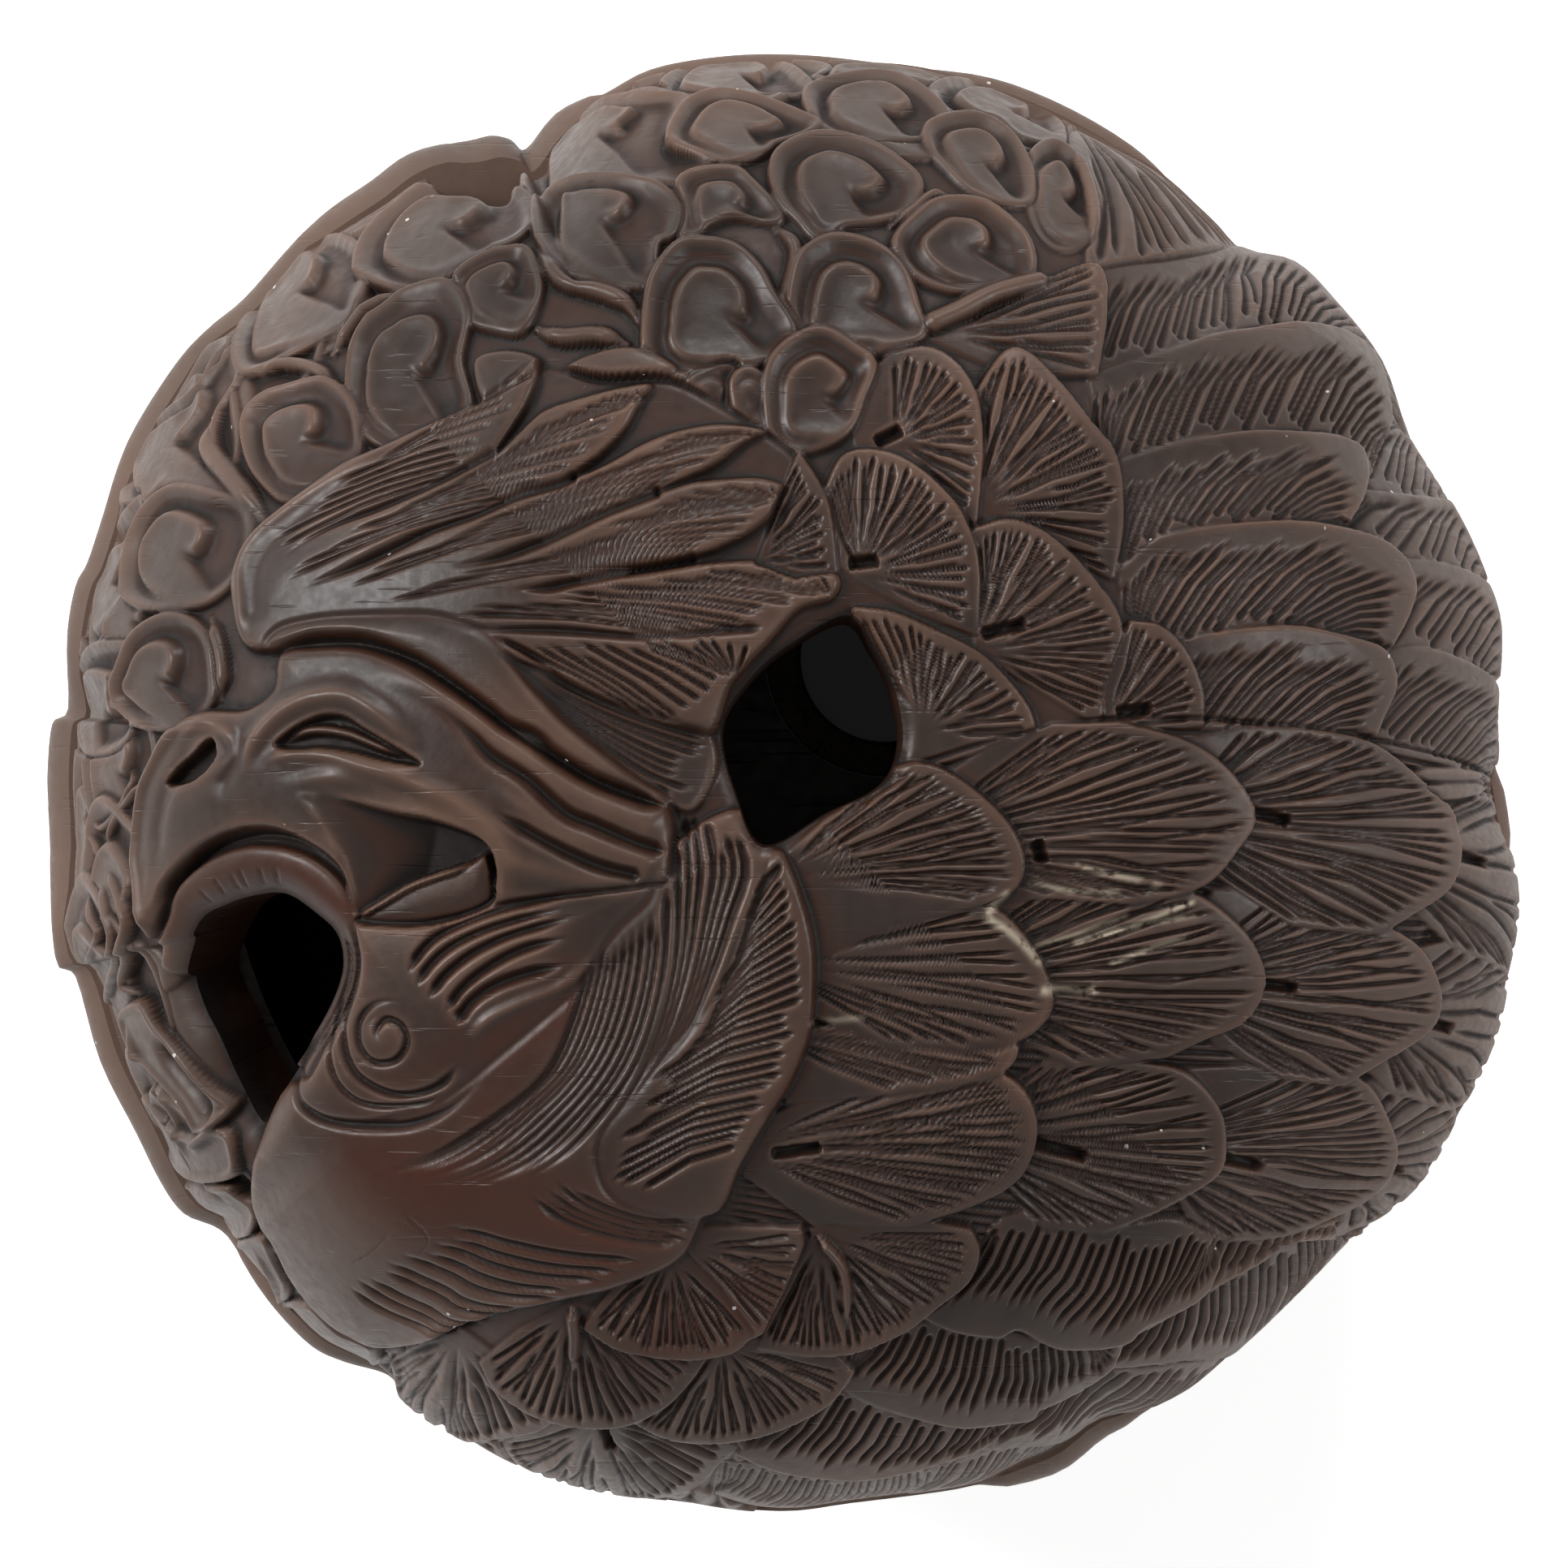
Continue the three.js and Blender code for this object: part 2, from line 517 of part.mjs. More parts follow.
// Upright round bar from one height to another
function uprightBar(radius, x, y, lowZ, highZ) {
  const bar = new THREE.CylinderGeometry(radius, radius, highZ - lowZ, roundSides);
  bar.rotateX(Math.PI / 2);
  bar.translate(x, y, (lowZ + highZ) / 2);
  return bar;
}

// Cutter that follows a closed outline on the face and goes in along the face's own direction
function faceCutter(shares, depth) {
  const plan = new THREE.SplineCurve([...shares, shares[0]].map(
    ([x, y]) => new THREE.Vector2(x * rimRadius, y * rimRadius),
  ));
  const outline = plan.getPoints(outlineSteps).slice(0, -1);
  if (THREE.ShapeUtils.isClockWise(outline)) outline.reverse();
  const count = outline.length;
  const outer = [];
  const inner = [];
  for (const place of outline) {
    const { point, normal } = facePoint(place.x, place.y);
    const rise = massHeight(place.x, place.y) + cutOverrun;
    outer.push(...point.clone().addScaledVector(normal, rise).toArray());
    inner.push(...point.clone().addScaledVector(normal, -depth).toArray());
  }
  const index = [];
  for (let step = 0; step < count; step += 1) {
    const next = (step + 1) % count;
    index.push(step, count + step, count + next, step, count + next, next);
  }
  for (const [a, b, c] of THREE.ShapeUtils.triangulateShape(outline, [])) {
    index.push(a, b, c, count + a, count + c, count + b);
  }
  const geometry = new THREE.BufferGeometry();
  geometry.setAttribute('position', new THREE.Float32BufferAttribute([...outer, ...inner], 3));
  geometry.setIndex(index);
  return geometry;
}

// Pupil's seat: where it stands and which way it points
function pupilSeat() {
  const x = pupilPlaceShare[0] * rimRadius;
  const y = pupilPlaceShare[1] * rimRadius;
  const { point, normal } = facePoint(x, y);
  point.addScaledVector(normal, surfaceRise(x, y));
  const turn = new THREE.Quaternion().setFromUnitVectors(new THREE.Vector3(0, 1, 0), normal);
  return { point, normal, turn };
}

// Socket for the pupil
function pupilSocket() {
  const { point, normal, turn } = pupilSeat();
  const length = pupilLength - pupilStand + seatClearance + cutOverrun;
  const socket = new THREE.CylinderGeometry(
    pupilRadius + seatClearance, pupilRadius + seatClearance, length, roundSides,
  );
  socket.applyQuaternion(turn);
  const middle = point.clone().addScaledVector(normal, cutOverrun - length / 2);
  socket.translate(middle.x, middle.y, middle.z);
  return socket;
}

// Height of the underside of the face where the eyelet hangs
function eyeletCeiling() {
  return seamZ + curveHeight(Math.hypot(eyeletX, eyeletY), hollowRadius, faceHollowHeight);
}

// Turned hollow of the face, with the socket for the spigot
function faceHollow() {
  const socketRadius = spigotRadius + fitClearance;
  const socketHeight = spigotHeight + spigotTopGap;
  const rings = [];
  for (let row = 1; row < innerRings; row += 1) {
    const { radius, height } = curveStep(row / innerRings, hollowRadius, faceHollowHeight);
    if (height > socketHeight && radius < socketRadius) rings.push(circle(radius, seamZ + height));
  }
  rings.push(circle(socketRadius, seamZ + socketHeight), circle(socketRadius, seamZ - cutOverrun));
  return skin(seamZ + faceHollowHeight, rings, seamZ - cutOverrun);
}

// Carved face half with its turned socket
function faceHalf() {
  const rings = [];
  for (let row = 1; row <= faceRings; row += 1) {
    const { radius, height } = curveStep(row / faceRings, rimRadius, faceHeight);
    const points = ring((angle) => unevenRadius(radius, faceShareAt(angle)), seamZ + height);
    if (row < faceRings) {
      for (const point of points) {
        const { normal } = facePoint(point.x, point.y);
        const mass = massHeight(point.x, point.y) * height / faceHeight;
        point.addScaledVector(normal, mass + carvingLevel(point.x, point.y));
      }
    }
    rings.push(points);
  }
  const topZ = seamZ + faceHeight + surfaceRise(0, 0);
  const body = toSolid(skin(topZ, rings, seamZ)).subtract(toSolid(faceHollow()));
  const depth = faceWall + cutOverrun;
  const ceiling = eyeletCeiling();
  const pierced = body
    .subtract(toSolid(faceCutter(centreHoleShares, depth)))
    .subtract(toSolid(faceCutter(beakHoleShares, depth)))
    .subtract(toSolid(faceCutter(sideHoleShares, depth)))
    .subtract(toSolid(pupilSocket()))
    .subtract(toSolid(uprightBar(
      eyeletRadius + seatClearance, eyeletX, eyeletY,
      ceiling - cutOverrun, ceiling + eyeletSunk + seatClearance,
    )));
  return toGeometry(pierced);
}

// Point on the back at a share of the way from the foot to the rim, and its outward direction
function backPoint(share) {
  const radius = THREE.MathUtils.lerp(footRadius, rimRadius, Math.sin(share * Math.PI / 2));
  const height = curveHeight(radius, rimRadius, backCurveDepth);
  const outward = (radius / rimRadius) ** (roundness - 1) / rimRadius;
  const upward = (height / backCurveDepth) ** (roundness - 1) / backCurveDepth;
  const size = Math.hypot(outward, upward);
  return { radius, z: seamZ - height, outward: outward / size, upward: -upward / size };
}

// Roots and tips of the rows of lappets, from the rim down to the foot
function backSteps() {
  const steps = [];
  let start = backRowStepShare;
  for (const row of backRowShares) {
    const middle = (start + row.end) / 2;
    steps.push(
      { share: start + backRowStepShare, level: backRowRootShare },
      { share: middle, level: (backRowRootShare + row.level) / 2 },
      { share: row.end, level: row.level },
    );
    start = row.end;
  }
  return steps.reverse();
}

// Turned hollow of the back, up through its spigot
function backHollow() {
  const openZ = seamZ + spigotHeight + cutOverrun;
  const rings = [circle(spigotInnerRadius, openZ), circle(spigotInnerRadius, seamZ)];
  for (let row = innerRings - 1; row >= 1; row -= 1) {
    const { radius, height } = curveStep(row / innerRings, spigotInnerRadius, backHollowDepth);
    rings.push(circle(radius, seamZ - height));
  }
  return skin(openZ, rings, seamZ - backHollowDepth);
}

// Carved back half with its turned spigot, flat foot and cord hole
function backHalf() {
  const rings = [ring((angle) => unevenRadius(rimRadius, backShareAt(angle)), seamZ)];
  for (const { share, level } of backSteps()) {
    const { radius, z, outward, upward } = backPoint(share);
    const drop = level * carvingDepth;
    rings.push(ring(
      (angle) => unevenRadius(radius, backShareAt(angle)) + outward * drop, z + upward * drop,
    ));
  }
  rings.push(circle(footRadius, 0, carvedSides));
  const spigotTop = seamZ + spigotHeight;
  const spigot = [circle(spigotRadius, spigotTop), circle(spigotRadius, seamZ - cutOverrun)];
  const body = toSolid(skin(seamZ, rings, 0))
    .add(toSolid(skin(spigotTop, spigot, seamZ - cutOverrun)))
    .subtract(toSolid(backHollow()));
  const bored = body
    .subtract(toSolid(uprightBar(cordHoleRadius, cordHoleX, cordHoleY, -cutOverrun, seamZ)))
    .subtract(toSolid(uprightBar(
      ringOuterRadius + seatClearance, cordHoleX, cordHoleY, -cutOverrun, ringRecess + ringHeight,
    )));
  return toGeometry(bored);
}

// Ring that lines the mouth of the cord hole
function cordHoleRing() {
  const profile = [
    [cordHoleRadius, ringChamfer], [cordHoleRadius + ringChamfer, 0], [ringOuterRadius, 0],
    [ringOuterRadius, ringHeight], [cordHoleRadius, ringHeight], [cordHoleRadius, ringChamfer],
  ].map(([radius, z]) => new THREE.Vector2(radius, z));
  const geometry = new THREE.LatheGeometry(profile, roundSides);
  geometry.rotateX(Math.PI / 2);
  return geometry;
}

// Peg with a cross hole that the cord is tied to
function cordEyelet() {
  const ceiling = eyeletCeiling();
  const peg = toSolid(uprightBar(eyeletRadius, eyeletX, eyeletY, ceiling - eyeletDrop, ceiling + eyeletSunk));
  const span = 2 * (eyeletRadius + cutOverrun);
  const bore = new THREE.CylinderGeometry(eyeletHoleRadius, eyeletHoleRadius, span, roundSides);
  bore.translate(eyeletX, eyeletY, ceiling - eyeletDrop + eyeletHoleRise);
  return toGeometry(peg.subtract(toSolid(bore)));
}

// Named mesh with its own material
function piece(name, geometry, look) {
  const mesh = new THREE.Mesh(geometry, new THREE.MeshStandardMaterial(look));
  mesh.name = name;
  return mesh;
}

const back = new THREE.Group();
const ringPiece = piece('cord_hole_ring', cordHoleRing(), hornLook);
ringPiece.position.set(cordHoleX, cordHoleY, ringRecess);
back.add(piece('back_half', backHalf(), innerWoodLook), ringPiece);

const face = new THREE.Group();
const seat = pupilSeat();
const pupilBar = new THREE.CylinderGeometry(pupilRadius, pupilRadius, pupilLength, roundSides);
const pupil = piece('eye_pupil', pupilBar, hornLook);
pupil.quaternion.copy(seat.turn);
pupil.position.copy(seat.point).addScaledVector(seat.normal, pupilStand - pupilLength / 2);
face.add(
  piece('face_half', faceHalf(), woodLook),
  piece('cord_eyelet', cordEyelet(), hornLook),
  pupil,
);

const group = new THREE.Group();
group.add(back, face);

export default group;
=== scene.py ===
import logging
import math
from dataclasses import dataclass, field
from enum import Enum
from typing import ClassVar

import bmesh
import bpy
import numpy as np
from mathutils import Matrix, Vector


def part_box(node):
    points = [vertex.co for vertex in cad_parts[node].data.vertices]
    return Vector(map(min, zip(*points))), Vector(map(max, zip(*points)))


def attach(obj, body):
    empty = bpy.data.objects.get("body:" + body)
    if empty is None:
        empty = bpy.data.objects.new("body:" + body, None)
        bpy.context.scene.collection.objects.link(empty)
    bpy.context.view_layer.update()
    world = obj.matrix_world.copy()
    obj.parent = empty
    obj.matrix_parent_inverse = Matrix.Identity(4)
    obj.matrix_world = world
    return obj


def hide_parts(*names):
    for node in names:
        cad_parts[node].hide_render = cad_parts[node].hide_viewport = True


Array = np.ndarray
Place = tuple[float, float]
Line = tuple[Place, ...]

MM = 0.001
FULL_TURN = 2.0 * math.pi
CARVING = "carving"
BAKE_MAP = "OFBake"
BELL_REACH = 2.3
TINT_REACH = 2.5

logger = logging.getLogger("manju")
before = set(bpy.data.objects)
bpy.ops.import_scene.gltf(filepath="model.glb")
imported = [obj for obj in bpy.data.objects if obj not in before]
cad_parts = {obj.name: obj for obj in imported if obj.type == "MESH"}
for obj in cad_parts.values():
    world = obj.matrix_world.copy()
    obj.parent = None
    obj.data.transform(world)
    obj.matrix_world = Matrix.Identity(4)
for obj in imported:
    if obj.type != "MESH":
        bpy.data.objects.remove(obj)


@dataclass(frozen=True)
class BunSizes:
    """Turned sizes of the two halves, in millimetres."""

    rim_radius: float = 21.0
    roundness: float = 2.3
    foot_radius: float = 9.8
    face_wall: float = 3.0
    back_floor: float = 3.0
    socket_radius: float = 17.3
    socket_height: float = 3.2
    spigot_radius: float = 17.2
    spigot_inner: float = 15.9
    spigot_height: float = 3.0
    rim_round: float = 0.28
    rim_drop: float = 0.16


@dataclass(frozen=True)
class PhotoView:
    """Straight look down at the face, in pixels of the photograph."""

    centre_x: float = 965.0
    centre_y: float = 965.5
    rim_pixels: float = 912.0
    image_pixels: float = 1932.0
    distance: float = 1000.0


@dataclass(frozen=True)
class Swell:
    """Broad raised mass of the carving, in shares of the rim radius."""

    x: float
    y: float
    width: float
    height: float


SIZES = BunSizes()
VIEW = PhotoView()

MASSES = (
    Swell(-0.56, 0.02, 0.34, 0.04),
    Swell(-0.44, -0.52, 0.3, 0.04),
    Swell(-0.3, 0.34, 0.26, 0.025),
    Swell(0.56, 0.34, 0.36, 0.035),
    Swell(0.45, -0.3, 0.36, 0.025),
    Swell(-0.2, 0.75, 0.22, 0.03),
)

# Outer edge of the whole netsuke, from the right and on round by the foot of the picture
SILHOUETTE: Line = (
    (1852, 900), (1865, 1000), (1882, 1110), (1870, 1200), (1850, 1290), (1797, 1400), (1762, 1460),
    (1720, 1500), (1670, 1535), (1600, 1605), (1500, 1700), (1450, 1735), (1370, 1775), (1300, 1825),
    (1180, 1848), (1050, 1865), (960, 1875), (830, 1862), (700, 1840), (600, 1800), (500, 1740),
    (470, 1705), (420, 1685), (380, 1665), (335, 1620), (290, 1560), (265, 1520), (220, 1500),
    (190, 1460), (160, 1400), (115, 1310), (85, 1205), (60, 1180), (50, 1010), (48, 950), (55, 890),
    (75, 872), (75, 780), (85, 720), (100, 690), (120, 630), (150, 540), (205, 450), (250, 400),
    (295, 362), (350, 300), (400, 250), (450, 215), (500, 180), (570, 163), (600, 155), (625, 160),
    (642, 172), (680, 130), (740, 105), (800, 75), (880, 60), (965, 56), (1080, 62), (1200, 80),
    (1300, 115), (1400, 170), (1450, 210), (1500, 260), (1540, 302), (1600, 318), (1650, 365),
    (1710, 440), (1745, 530), (1800, 620), (1850, 735), (1858, 810),
)

# Where the back's rim shows past the face: compass angle in degrees, pixels that show, spread in degrees
BACK_SHOWS = (
    (181, 34, 10), (205, 26, 14), (228, 12, 8), (163, 20, 9), (150, 22, 8), (137, 20, 7),
    (124, 34, 8), (113, 42, 7), (96, 8, 12), (68, 10, 9), (293, 22, 6), (358, 12, 3),
)


def smooth(points: Array, closed: bool = False, steps: int = 6) -> Array:
    """Round a run of points off into a Catmull-Rom curve.

    Args:
        points: Points to pass through, one a row.
        closed: Whether the run joins up with its start.
        steps: Points made for each span.

    Returns:
        The points of the curve, one a row.
    """
    points = np.asarray(points, float)
    if len(points) < 3:
        return points
    if closed:
        before, start = np.roll(points, 1, 0), points
        end, after = np.roll(points, -1, 0), np.roll(points, -2, 0)
    else:
        first, last = 2 * points[0] - points[1], 2 * points[-1] - points[-2]
        padded = np.vstack([first, points, last])
        before, start, end, after = padded[:-3], padded[1:-2], padded[2:-1], padded[3:]
    t = (np.arange(steps) / steps)[:, None, None]
    curve = 0.5 * (
        2 * start
        + (end - before) * t
        + (2 * before - 5 * start + 4 * end - after) * t**2
        + (3 * start - before - 3 * end + after) * t**3
    )
    curve = curve.transpose(1, 0, 2).reshape(-1, points.shape[1])
    return curve if closed else np.vstack([curve, points[-1]])


def ease(value: Array) -> Array:
    """Return the smooth step of a value clipped to 0..1."""
    value = np.clip(value, 0.0, 1.0)
    return value * value * (3.0 - 2.0 * value)


def faded(share: Array, fade: Place) -> Array:
    """Return a stroke's strength at shares of its length, when it fades in and out over two shares."""
    return ease(np.minimum(share / max(fade[0], 1e-3), (1.0 - share) / max(fade[1], 1e-3)))


def near_line(line: Array, u: Array, v: Array) -> tuple[Array, Array, Array, Array]:
    """Measure chart cells against a polyline.

    Args:
        line: Points of the polyline, one a row.
        u: First chart coordinate of each cell.
        v: Second chart coordinate of each cell.

    Returns:
        Distance to the line, share of its length, and the nearest point's two coordinates.
    """
    spans = np.diff(line, axis=0)
    lengths = np.hypot(spans[:, 0], spans[:, 1])
    run = np.concatenate([[0.0], np.cumsum(lengths)])
    best = np.full(u.shape, np.inf)
    share, near_u, near_v = np.zeros(u.shape), np.zeros(u.shape), np.zeros(u.shape)
    for start, span, length, before in zip(line[:-1], spans, lengths, run[:-1]):
        if length <= 0.0:
            continue
        at = np.clip(((u - start[0]) * span[0] + (v - start[1]) * span[1]) / length**2, 0.0, 1.0)
        foot_u, foot_v = start[0] + at * span[0], start[1] + at * span[1]
        away = (u - foot_u) ** 2 + (v - foot_v) ** 2
        closer = away < best
        best = np.where(closer, away, best)
        share = np.where(closer, (before + at * length) / run[-1], share)
        near_u, near_v = np.where(closer, foot_u, near_u), np.where(closer, foot_v, near_v)
    return np.sqrt(best), share, near_u, near_v


def inside(outline: Array, u: Array, v: Array) -> Array:
    """Tell which chart cells lie inside a closed outline.

    Args:
        outline: Corners of the outline, one a row.
        u: First chart coordinate of each cell.
        v: Second chart coordinate of each cell.

    Returns:
        True for each cell inside.
    """
    crossed = np.zeros(u.shape, bool)
    for start, end in zip(outline, np.roll(outline, -1, 0)):
        if start[1] == end[1]:
            continue
        spans = (start[1] > v) != (end[1] > v)
        crossed ^= spans & (u < start[0] + (v - start[1]) * (end[0] - start[0]) / (end[1] - start[1]))
    return crossed


def depth_inside(outline: Array, u: Array, v: Array) -> tuple[Array, Array, Array]:
    """Measure how deep chart cells lie inside a closed outline.

    Args:
        outline: Corners of the outline, one a row.
        u: First chart coordinate of each cell.
        v: Second chart coordinate of each cell.

    Returns:
        Depth inside, below 0 outside, and the two coordinates of the nearest point of the outline.
    """
    distance, _, near_u, near_v = near_line(np.vstack([outline, outline[:1]]), u, v)
    return np.where(inside(outline, u, v), distance, -distance), near_u, near_v


def box_blur(values: Array, reach: int) -> Array:
    """Blur a grid with three passes of a square box.

    Args:
        values: The grid.
        reach: Half the box's side, in cells.

    Returns:
        The blurred grid.
    """
    span = 2 * reach + 1
    for _ in range(3):
        for axis in (0, 1):
            width = [(0, 0), (0, 0)]
            width[axis] = (reach + 1, reach)
            run = np.cumsum(np.pad(values, width, mode="edge"), axis=axis, dtype=np.float64)
            high = run[span:, :] if axis == 0 else run[:, span:]
            low = run[:-span, :] if axis == 0 else run[:, :-span]
            values = ((high - low) / span).astype(np.float32)
    return values


def add_object(name: str, data: bpy.types.ID) -> bpy.types.Object:
    """Return a new object of the scene that shows the data."""
    thing = bpy.data.objects.new(name, data)
    bpy.context.scene.collection.objects.link(thing)
    return thing


class Turning:
    """Turned profile from the axis to the rim, against the share of its own length."""

    def __init__(self, radii: Array, heights: Array, facing: float) -> None:
        """Measure a profile.

        Args:
            radii: Distances from the axis, in millimetres.
            heights: Heights along the axis, in millimetres.
            facing: 1 where the surface faces up, -1 where it faces down.
        """
        run = np.cumsum(np.hypot(np.diff(radii), np.diff(heights)))
        self.length = float(run[-1])
        self.shares = np.concatenate([[0.0], run]) / self.length
        self.radii, self.heights, self.facing = radii, heights, facing
        along_r, along_z = np.gradient(radii, self.shares), np.gradient(heights, self.shares)
        size = np.hypot(along_r, along_z)
        self.outward = np.abs(along_z) / size
        self.upward = facing * along_r / size

    def at(self, share: Array) -> tuple[Array, Array, Array, Array]:
        """Look the profile up.

        Args:
            share: Shares of the length, 0 at the axis and 1 at the rim.

        Returns:
            Radius, height, and the outward and upward parts of the surface's direction.
        """
        share = np.clip(share, 0.0, 1.0)
        return tuple(
            np.interp(share, self.shares, values)
            for values in (self.radii, self.heights, self.outward, self.upward)
        )

    @classmethod
    def face(cls, seam: float, height: float) -> "Turning":
        """Turn the face's bun above the seam.

        Args:
            seam: Height of the seam.
            height: Height of the bun over it.

        Returns:
            The face's profile.
        """
        turn = np.linspace(math.pi / 2, 0.0, 4000)
        power = 2.0 / SIZES.roundness
        return cls(
            SIZES.rim_radius * np.cos(turn).clip(0) ** power,
            seam + height * np.sin(turn).clip(0) ** power,
            1.0,
        )

    @classmethod
    def back(cls, seam: float) -> "Turning":
        """Turn the back, from the flat foot up to the seam.

        Args:
            seam: Height of the seam.

        Returns:
            The back's profile.
        """
        radii = SIZES.foot_radius + (SIZES.rim_radius - SIZES.foot_radius) * np.sin(
            np.linspace(0.0, math.pi / 2, 3000)
        )
        share = (SIZES.foot_radius / SIZES.rim_radius) ** SIZES.roundness
        depth = seam / (1.0 - share) ** (1.0 / SIZES.roundness)
        curve = 1.0 - (radii / SIZES.rim_radius) ** SIZES.roundness
        heights = seam - depth * curve.clip(0) ** (1.0 / SIZES.roundness)
        flat = np.linspace(0.0, SIZES.foot_radius, 400)[:-1]
        return cls(
            np.concatenate([flat, radii]), np.concatenate([np.zeros(len(flat)), heights]), -1.0
        )


class Edge:
    """Uneven carved outline of a half's rim, as a share of the rim radius in each direction."""

    def __init__(self, inset: float, shows: float) -> None:
        """Take the outline from the silhouette.

        Args:
            inset: Pixels by which it lies inside the silhouette everywhere.
            shows: 1 to lie inside by what shows of the back too, 0 to lie on the silhouette there.
        """
        curve = smooth(np.array(SILHOUETTE), closed=True, steps=4)
        x, y = curve[:, 0] - VIEW.centre_x, VIEW.centre_y - curve[:, 1]
        angle, reach = np.arctan2(y, x), np.hypot(x, y)
        gap = np.zeros(len(angle))
        for at, pixels, spread in BACK_SHOWS:
            turn = (np.degrees(angle) - at + 180.0) % 360.0 - 180.0
            gap = np.maximum(gap, pixels * np.exp(-((turn / spread) ** 4)))
        held = inset * (1.0 - np.clip(gap / 12.0, 0.0, 1.0)) if shows < 0.5 else inset
        order = np.argsort(angle)
        self.angles = angle[order]
        self.shares = ((reach - shows * gap - held) / VIEW.rim_pixels)[order]
        self.shown = ((1.0 - shows) * gap / VIEW.rim_pixels * SIZES.rim_radius)[order]

    def shoulder(self, cos: Array, sin: Array) -> Array:
        """Return by how many millimetres the rim rounds over where it shows."""
        return np.interp(np.arctan2(sin, cos), self.angles, self.shown, period=FULL_TURN)

    def share(self, cos: Array, sin: Array) -> Array:
        """Return the outline's share of the rim radius in each direction."""
        return np.interp(np.arctan2(sin, cos), self.angles, self.shares, period=FULL_TURN)


class CarvedSurface:
    """Outer surface of one half, unrolled round its pole into a flat chart in millimetres."""

    def __init__(self, turning: Turning, edge: Edge, seam: float, masses: tuple[Swell, ...]) -> None:
        """Set the surface up.

        Args:
            turning: Its turned profile.
            edge: Its uneven rim.
            seam: Height of the seam between the halves.
            masses: Broad raised masses of its carving.
        """
        self.turning, self.edge, self.seam, self.masses = turning, edge, seam, masses
        self.length = turning.length
        self.rise = float(np.ptp(turning.heights))

    def polar(self, u: Array, v: Array) -> tuple[Array, Array, Array]:
        """Return a chart place's share of the profile and its direction's cosine and sine."""
        reach = np.hypot(u, v)
        safe = np.maximum(reach, 1e-9)
        cos = np.where(reach > 1e-9, u / safe, 1.0)
        return reach / self.length, cos, v / safe

    def stand(self, share: Array, cos: Array, sin: Array, level: Array) -> tuple[Array, Array]:
        """Place points over the profile.

        Args:
            share: Share of the profile's length.
            cos: Cosine of the direction from the axis.
            sin: Sine of it.
            level: Height of the carving over its broad masses.

        Returns:
            Distance from the axis and height, in millimetres.
        """
        radius, height, outward, upward = self.turning.at(share)
        spread = ease((radius / SIZES.rim_radius - 0.62) / 0.38)
        radius = radius * (1.0 + (self.edge.share(cos, sin) - 1.0) * spread)
        over = np.zeros(np.shape(radius))
        for mass in self.masses:
            away = np.hypot(
                radius * cos / SIZES.rim_radius - mass.x, radius * sin / SIZES.rim_radius - mass.y
            )
            over = over + mass.height * SIZES.rim_radius * np.exp(-((away / mass.width) ** 2))
        over = over * np.abs(height - self.seam) / self.rise
        from_rim = (1.0 - np.clip(share, 0.0, 1.0)) * self.length
        over = over - 0.14 * ease((share - 0.5) / 0.35)
        shoulder = self.edge.shoulder(cos, sin)
        rounding, drop = SIZES.rim_round + 1.5 * shoulder, SIZES.rim_drop + 0.7 * shoulder
        over = over - drop * (1.0 - np.clip(from_rim / rounding, 0.0, 1.0)) ** 2
        over = over + level * np.clip(from_rim / 0.12, 0.0, 1.0)
        return radius + outward * over, height + upward * over

    def points(self, u: Array, v: Array, level: Array) -> Array:
        """Return the places in space of chart places that stand at a level."""
        share, cos, sin = self.polar(u, v)
        radius, height = self.stand(share, cos, sin, level)
        return np.stack([radius * cos, radius * sin, height], axis=-1)

    def chart(self, places: Line) -> Array:
        """Find chart places under pixels of the photograph.

        Args:
            places: Pixels of the photograph.

        Returns:
            Chart places, one a row.
        """
        pixels = np.array(places, float).reshape(-1, 2)
        scale = VIEW.rim_pixels / SIZES.rim_radius
        x, y = (pixels[:, 0] - VIEW.centre_x) / scale, (VIEW.centre_y - pixels[:, 1]) / scale
        reach = np.maximum(np.hypot(x, y), 1e-6)
        cos, sin = x / reach, y / reach
        shares = np.linspace(0.0, 1.0, 500)
        grid = np.broadcast_to(shares, (len(x), len(shares)))
        radius, height = self.stand(grid, cos[:, None], sin[:, None], np.zeros(grid.shape))
        seen = radius * VIEW.distance / (VIEW.distance - (height - self.seam))
        seen = np.maximum.accumulate(seen, axis=1)
        share = np.array([np.interp(r, row, shares) for r, row in zip(reach, seen)])
        share = share + np.maximum(reach - seen[:, -1], 0.0) / self.length
        return np.stack([cos * share, sin * share], axis=-1) * self.length


